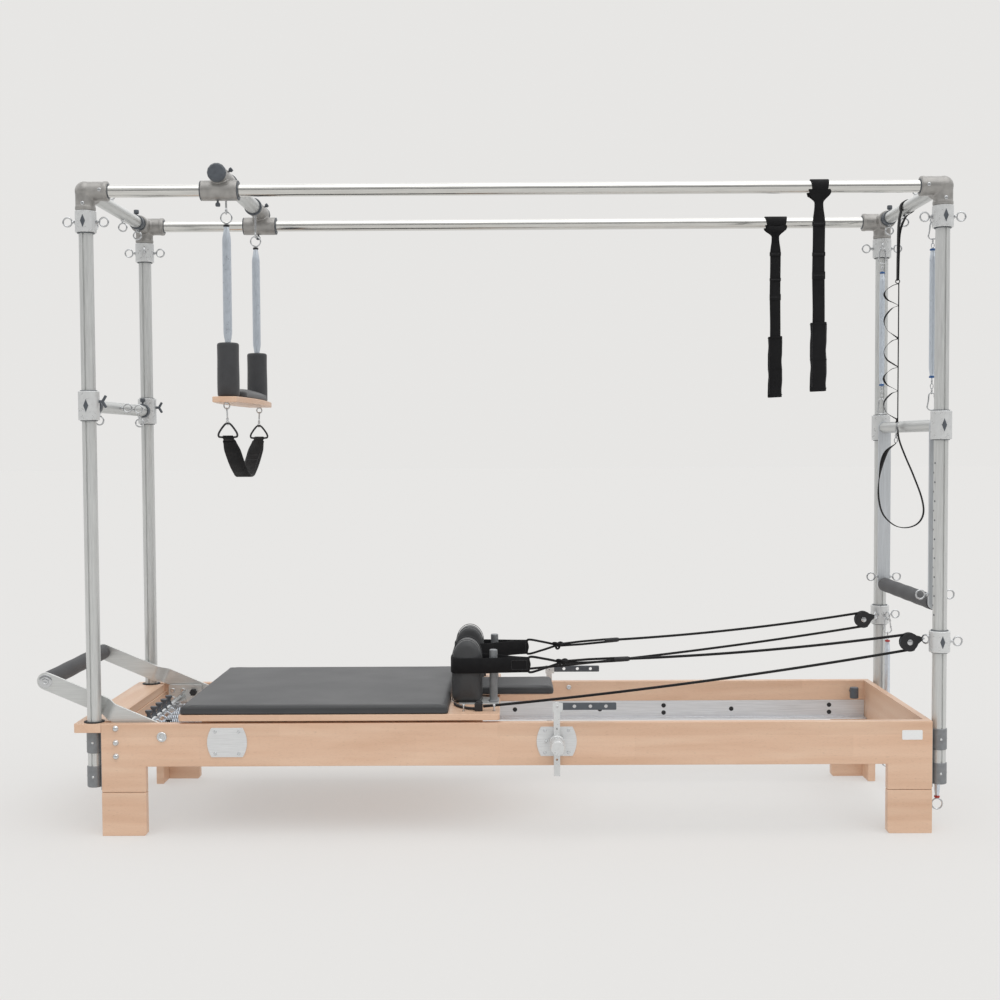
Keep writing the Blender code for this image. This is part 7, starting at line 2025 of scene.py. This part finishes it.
for side, way in both_sides:
    face = half_width + 0.0003
    boss_face = face + plate_thickness + boss_reach
    bar_face = boss_face + 0.0005
    ring_face = bar_face + bar_thickness + 0.008
    knob_face = ring_face + 0.0005
    plate = bmesh.new()
    outline = bulged_outline(plate_half, plate_bulge, plate_half_height)
    add_slab(plate, [outline], plate_thickness,
             facing_side((lever_x, way * (face + plate_thickness / 2), lever_z)))
    make("lever_plate_" + side, plate, satin_plate, cad="lever_bracket_" + side, round_by=0.0008)
    boss = bmesh.new()
    profile = [(0, 0), (0.0185, 0), (0.0185, 0.0015), (0.013, 0.003), (0.013, boss_reach + 0.002),
               (0.012, boss_reach + 0.003), (stud_radius, boss_reach + 0.003),
               (stud_radius, knob_face - face + 0.001), (0, knob_face - face + 0.001)]
    add_lathe(boss, profile, (lever_x, way * face, lever_z), (0, way, 0), 40)
    corner_screws(boss, lever_x, way * (face + plate_thickness), way)
    add_rod(boss, (lever_x - 0.03, way * (face + 0.002), lever_z + 0.002),
            (lever_x - 0.03, way * (bar_face - 0.0008), lever_z + 0.002), 0.0042, 20)
    make("lever_stud_" + side, boss, bright_zinc)
    knob = bmesh.new()
    profile = [(0, 0), (0.0168, 0), (0.019, 0.003), (knob_radius, 0.008),
               (knob_radius, 0.056), (0.018, 0.0575), (0.018, 0.06), (knob_radius, 0.0612),
               (knob_radius, knob_reach - 0.002), (0.0185, knob_reach),
               (0.002, knob_reach), (0.0016, knob_reach - 0.001), (0, knob_reach - 0.001)]
    add_lathe(knob, profile, (lever_x, way * knob_face, lever_z), (0, way, 0), 56)
    make("lever_knob_" + side, knob, silver)
    groove = bmesh.new()
    add_ring(groove, (lever_x, way * (knob_face + 0.0588), lever_z), (0, 1, 0), 0.0184, 0.0013, 56)
    make("lever_knob_groove_" + side, groove, black_rubber)

    drop = lever_drop[side]
    body = "lever_" + side
    top = lever_z + 0.114 - drop
    bottom = lever_z - 0.095 - drop
    middle = way * (bar_face + bar_thickness / 2)
    bar = bmesh.new()
    outline = [(lever_x - bar_half, bottom), (lever_x + bar_half, bottom),
               (lever_x + bar_half, top - 0.004), (lever_x + bar_half - 0.004, top),
               (lever_x - bar_half + 0.004, top), (lever_x - bar_half, top - 0.004)]
    holes = [circle((lever_x, lever_z), stud_radius + 0.0009, 32),
             circle((lever_x, lever_z - 0.048 - drop), 0.0032, 20),
             circle((lever_x, lever_z + 0.04), 0.003, 20)]
    add_slab(bar, [outline] + holes, bar_thickness - 0.0006, facing_side((0, middle, 0)))
    for cheek in (-1, 1):
        low_y, high_y = sorted((middle + way * cheek * 0.0036, middle + way * cheek * 0.0054))
        add_box(bar, (lever_x - bar_half - 0.003, low_y, top - 0.026),
                (lever_x + bar_half + 0.008, high_y, top - 0.0005))
    make("side_bar_" + side, bar, silver, body, "side_lever_" + side, round_by=0.001)
    hub = bmesh.new()
    add_tube(hub, (lever_x, way * (bar_face + 0.0002), lever_z),
             (lever_x, way * ring_face, lever_z),
             lever_ring, stud_radius + 0.0009, 56, 0.0015)
    make("side_bar_hub_" + side, hub, silver, body)
    arm = bmesh.new()
    arm_low, arm_high = top - 0.021, top - 0.001
    right = lever_x + 0.011 + 0.157
    outline = [(lever_x + 0.012, arm_low), (right - 0.002, arm_low), (right, arm_low + 0.002),
               (right, arm_high - 0.002), (right - 0.002, arm_high), (lever_x + 0.012, arm_high)]
    holes = [circle((lever_x + reach, (arm_low + arm_high) / 2), 0.0052, 28)
             for reach in (0.05, 0.095, 0.139)]
    add_slab(arm, [outline] + holes, 0.0068, facing_side((0, middle, 0)))
    make("side_arm_" + side, arm, dark_slate, body, round_by=0.0008)
    pins = bmesh.new()
    add_rod(pins, (lever_x + 0.001, middle - 0.0066, top - 0.011),
            (lever_x + 0.001, middle + 0.0066, top - 0.011), 0.0034, 20)
    make("side_bar_pin_" + side, pins, hardware, body)


# The stage: a wide pale floor, an even soft room and one broad soft sun from above and
# behind, so that a colour renders about as it is written. Metal sees a darker front room.
backdrop = (0.8, 0.792, 0.778, 1)
room_strength = 0.68
sun_strength = 1.2
sun_tilt = (18, 12, 0)
floor_size = 60
floor = bpy.data.objects.new("studio_floor", bpy.data.meshes.new("studio_floor"))
ground = bmesh.new()
bmesh.ops.create_grid(ground, x_segments=2, y_segments=2, size=floor_size)
ground.to_mesh(floor.data)
ground.free()
bpy.context.scene.collection.objects.link(floor)
made, tree, shader = surface("studio_floor", shade(backdrop[:3], 0.5), 0.9)
shader.inputs["Specular IOR Level"].default_value = 0.0
shader.inputs["Emission Color"].default_value = backdrop
shader.inputs["Emission Strength"].default_value = 0.49
floor.data.materials.append(made)

world = bpy.data.worlds.new("studio")
bpy.context.scene.world = world
world.use_nodes = True
tree = world.node_tree
tree.nodes.clear()
paths = node(tree, "LightPath")
parts = node(tree, "SeparateXYZ", Vector=node(tree, "TexCoord").outputs["Generated"])
height = node(tree, "MapRange", From_Min=-0.2, From_Max=1.0, Value=parts.outputs["Z"])
sky = ramp(tree, height.outputs["Result"], (0.0, 0.6), (0.25, 0.42), (0.55, 1.25), (1.0, 1.0))
depth = node(tree, "MapRange", From_Min=-1.0, From_Max=1.0, To_Min=0.55, To_Max=1.25,
             Value=parts.outputs["Y"])
seen_sky = mixed(tree, "MULTIPLY", 1.0, sky, depth.outputs["Result"])
reflected = node(tree, "Background", Strength=1.0, Color=seen_sky)
plain = node(tree, "Background", Color=backdrop, Strength=1.0)
light = node(tree, "Background", Color=(1, 1, 1, 1), Strength=room_strength)
seen = node(tree, "MixShader", Fac=paths.outputs["Is Camera Ray"])
tree.links.new(light.outputs["Background"], seen.inputs[1])
tree.links.new(plain.outputs["Background"], seen.inputs[2])
shiny = node(tree, "MixShader", Fac=paths.outputs["Is Glossy Ray"])
tree.links.new(seen.outputs["Shader"], shiny.inputs[1])
tree.links.new(reflected.outputs["Background"], shiny.inputs[2])
node(tree, "OutputWorld", Surface=shiny.outputs["Shader"])

sun = bpy.data.objects.new("soft_sun", bpy.data.lights.new("soft_sun", "SUN"))
sun.data.energy = sun_strength
sun.data.angle = math.radians(70)
sun.rotation_euler = [math.radians(turn) for turn in sun_tilt]
bpy.context.scene.collection.objects.link(sun)

yaw, pitch, roll = -0.00636, 0.0406, 0.00532
camera = bpy.data.objects.new("photograph_view", bpy.data.cameras.new("photograph_view"))
camera.data.lens = 48.55
camera.data.sensor_width = 36
camera.data.clip_end = 200
camera.matrix_world = (Matrix.Translation((bed_middle - 0.0177, -4.1468, 1.1094))
                       @ Matrix.Rotation(-yaw, 4, "Z")
                       @ Matrix.Rotation(math.radians(90) - pitch, 4, "X")
                       @ Matrix.Rotation(-roll, 4, "Z"))
bpy.context.scene.collection.objects.link(camera)
bpy.context.scene.camera = camera
bpy.context.scene.view_settings.view_transform = "Standard"
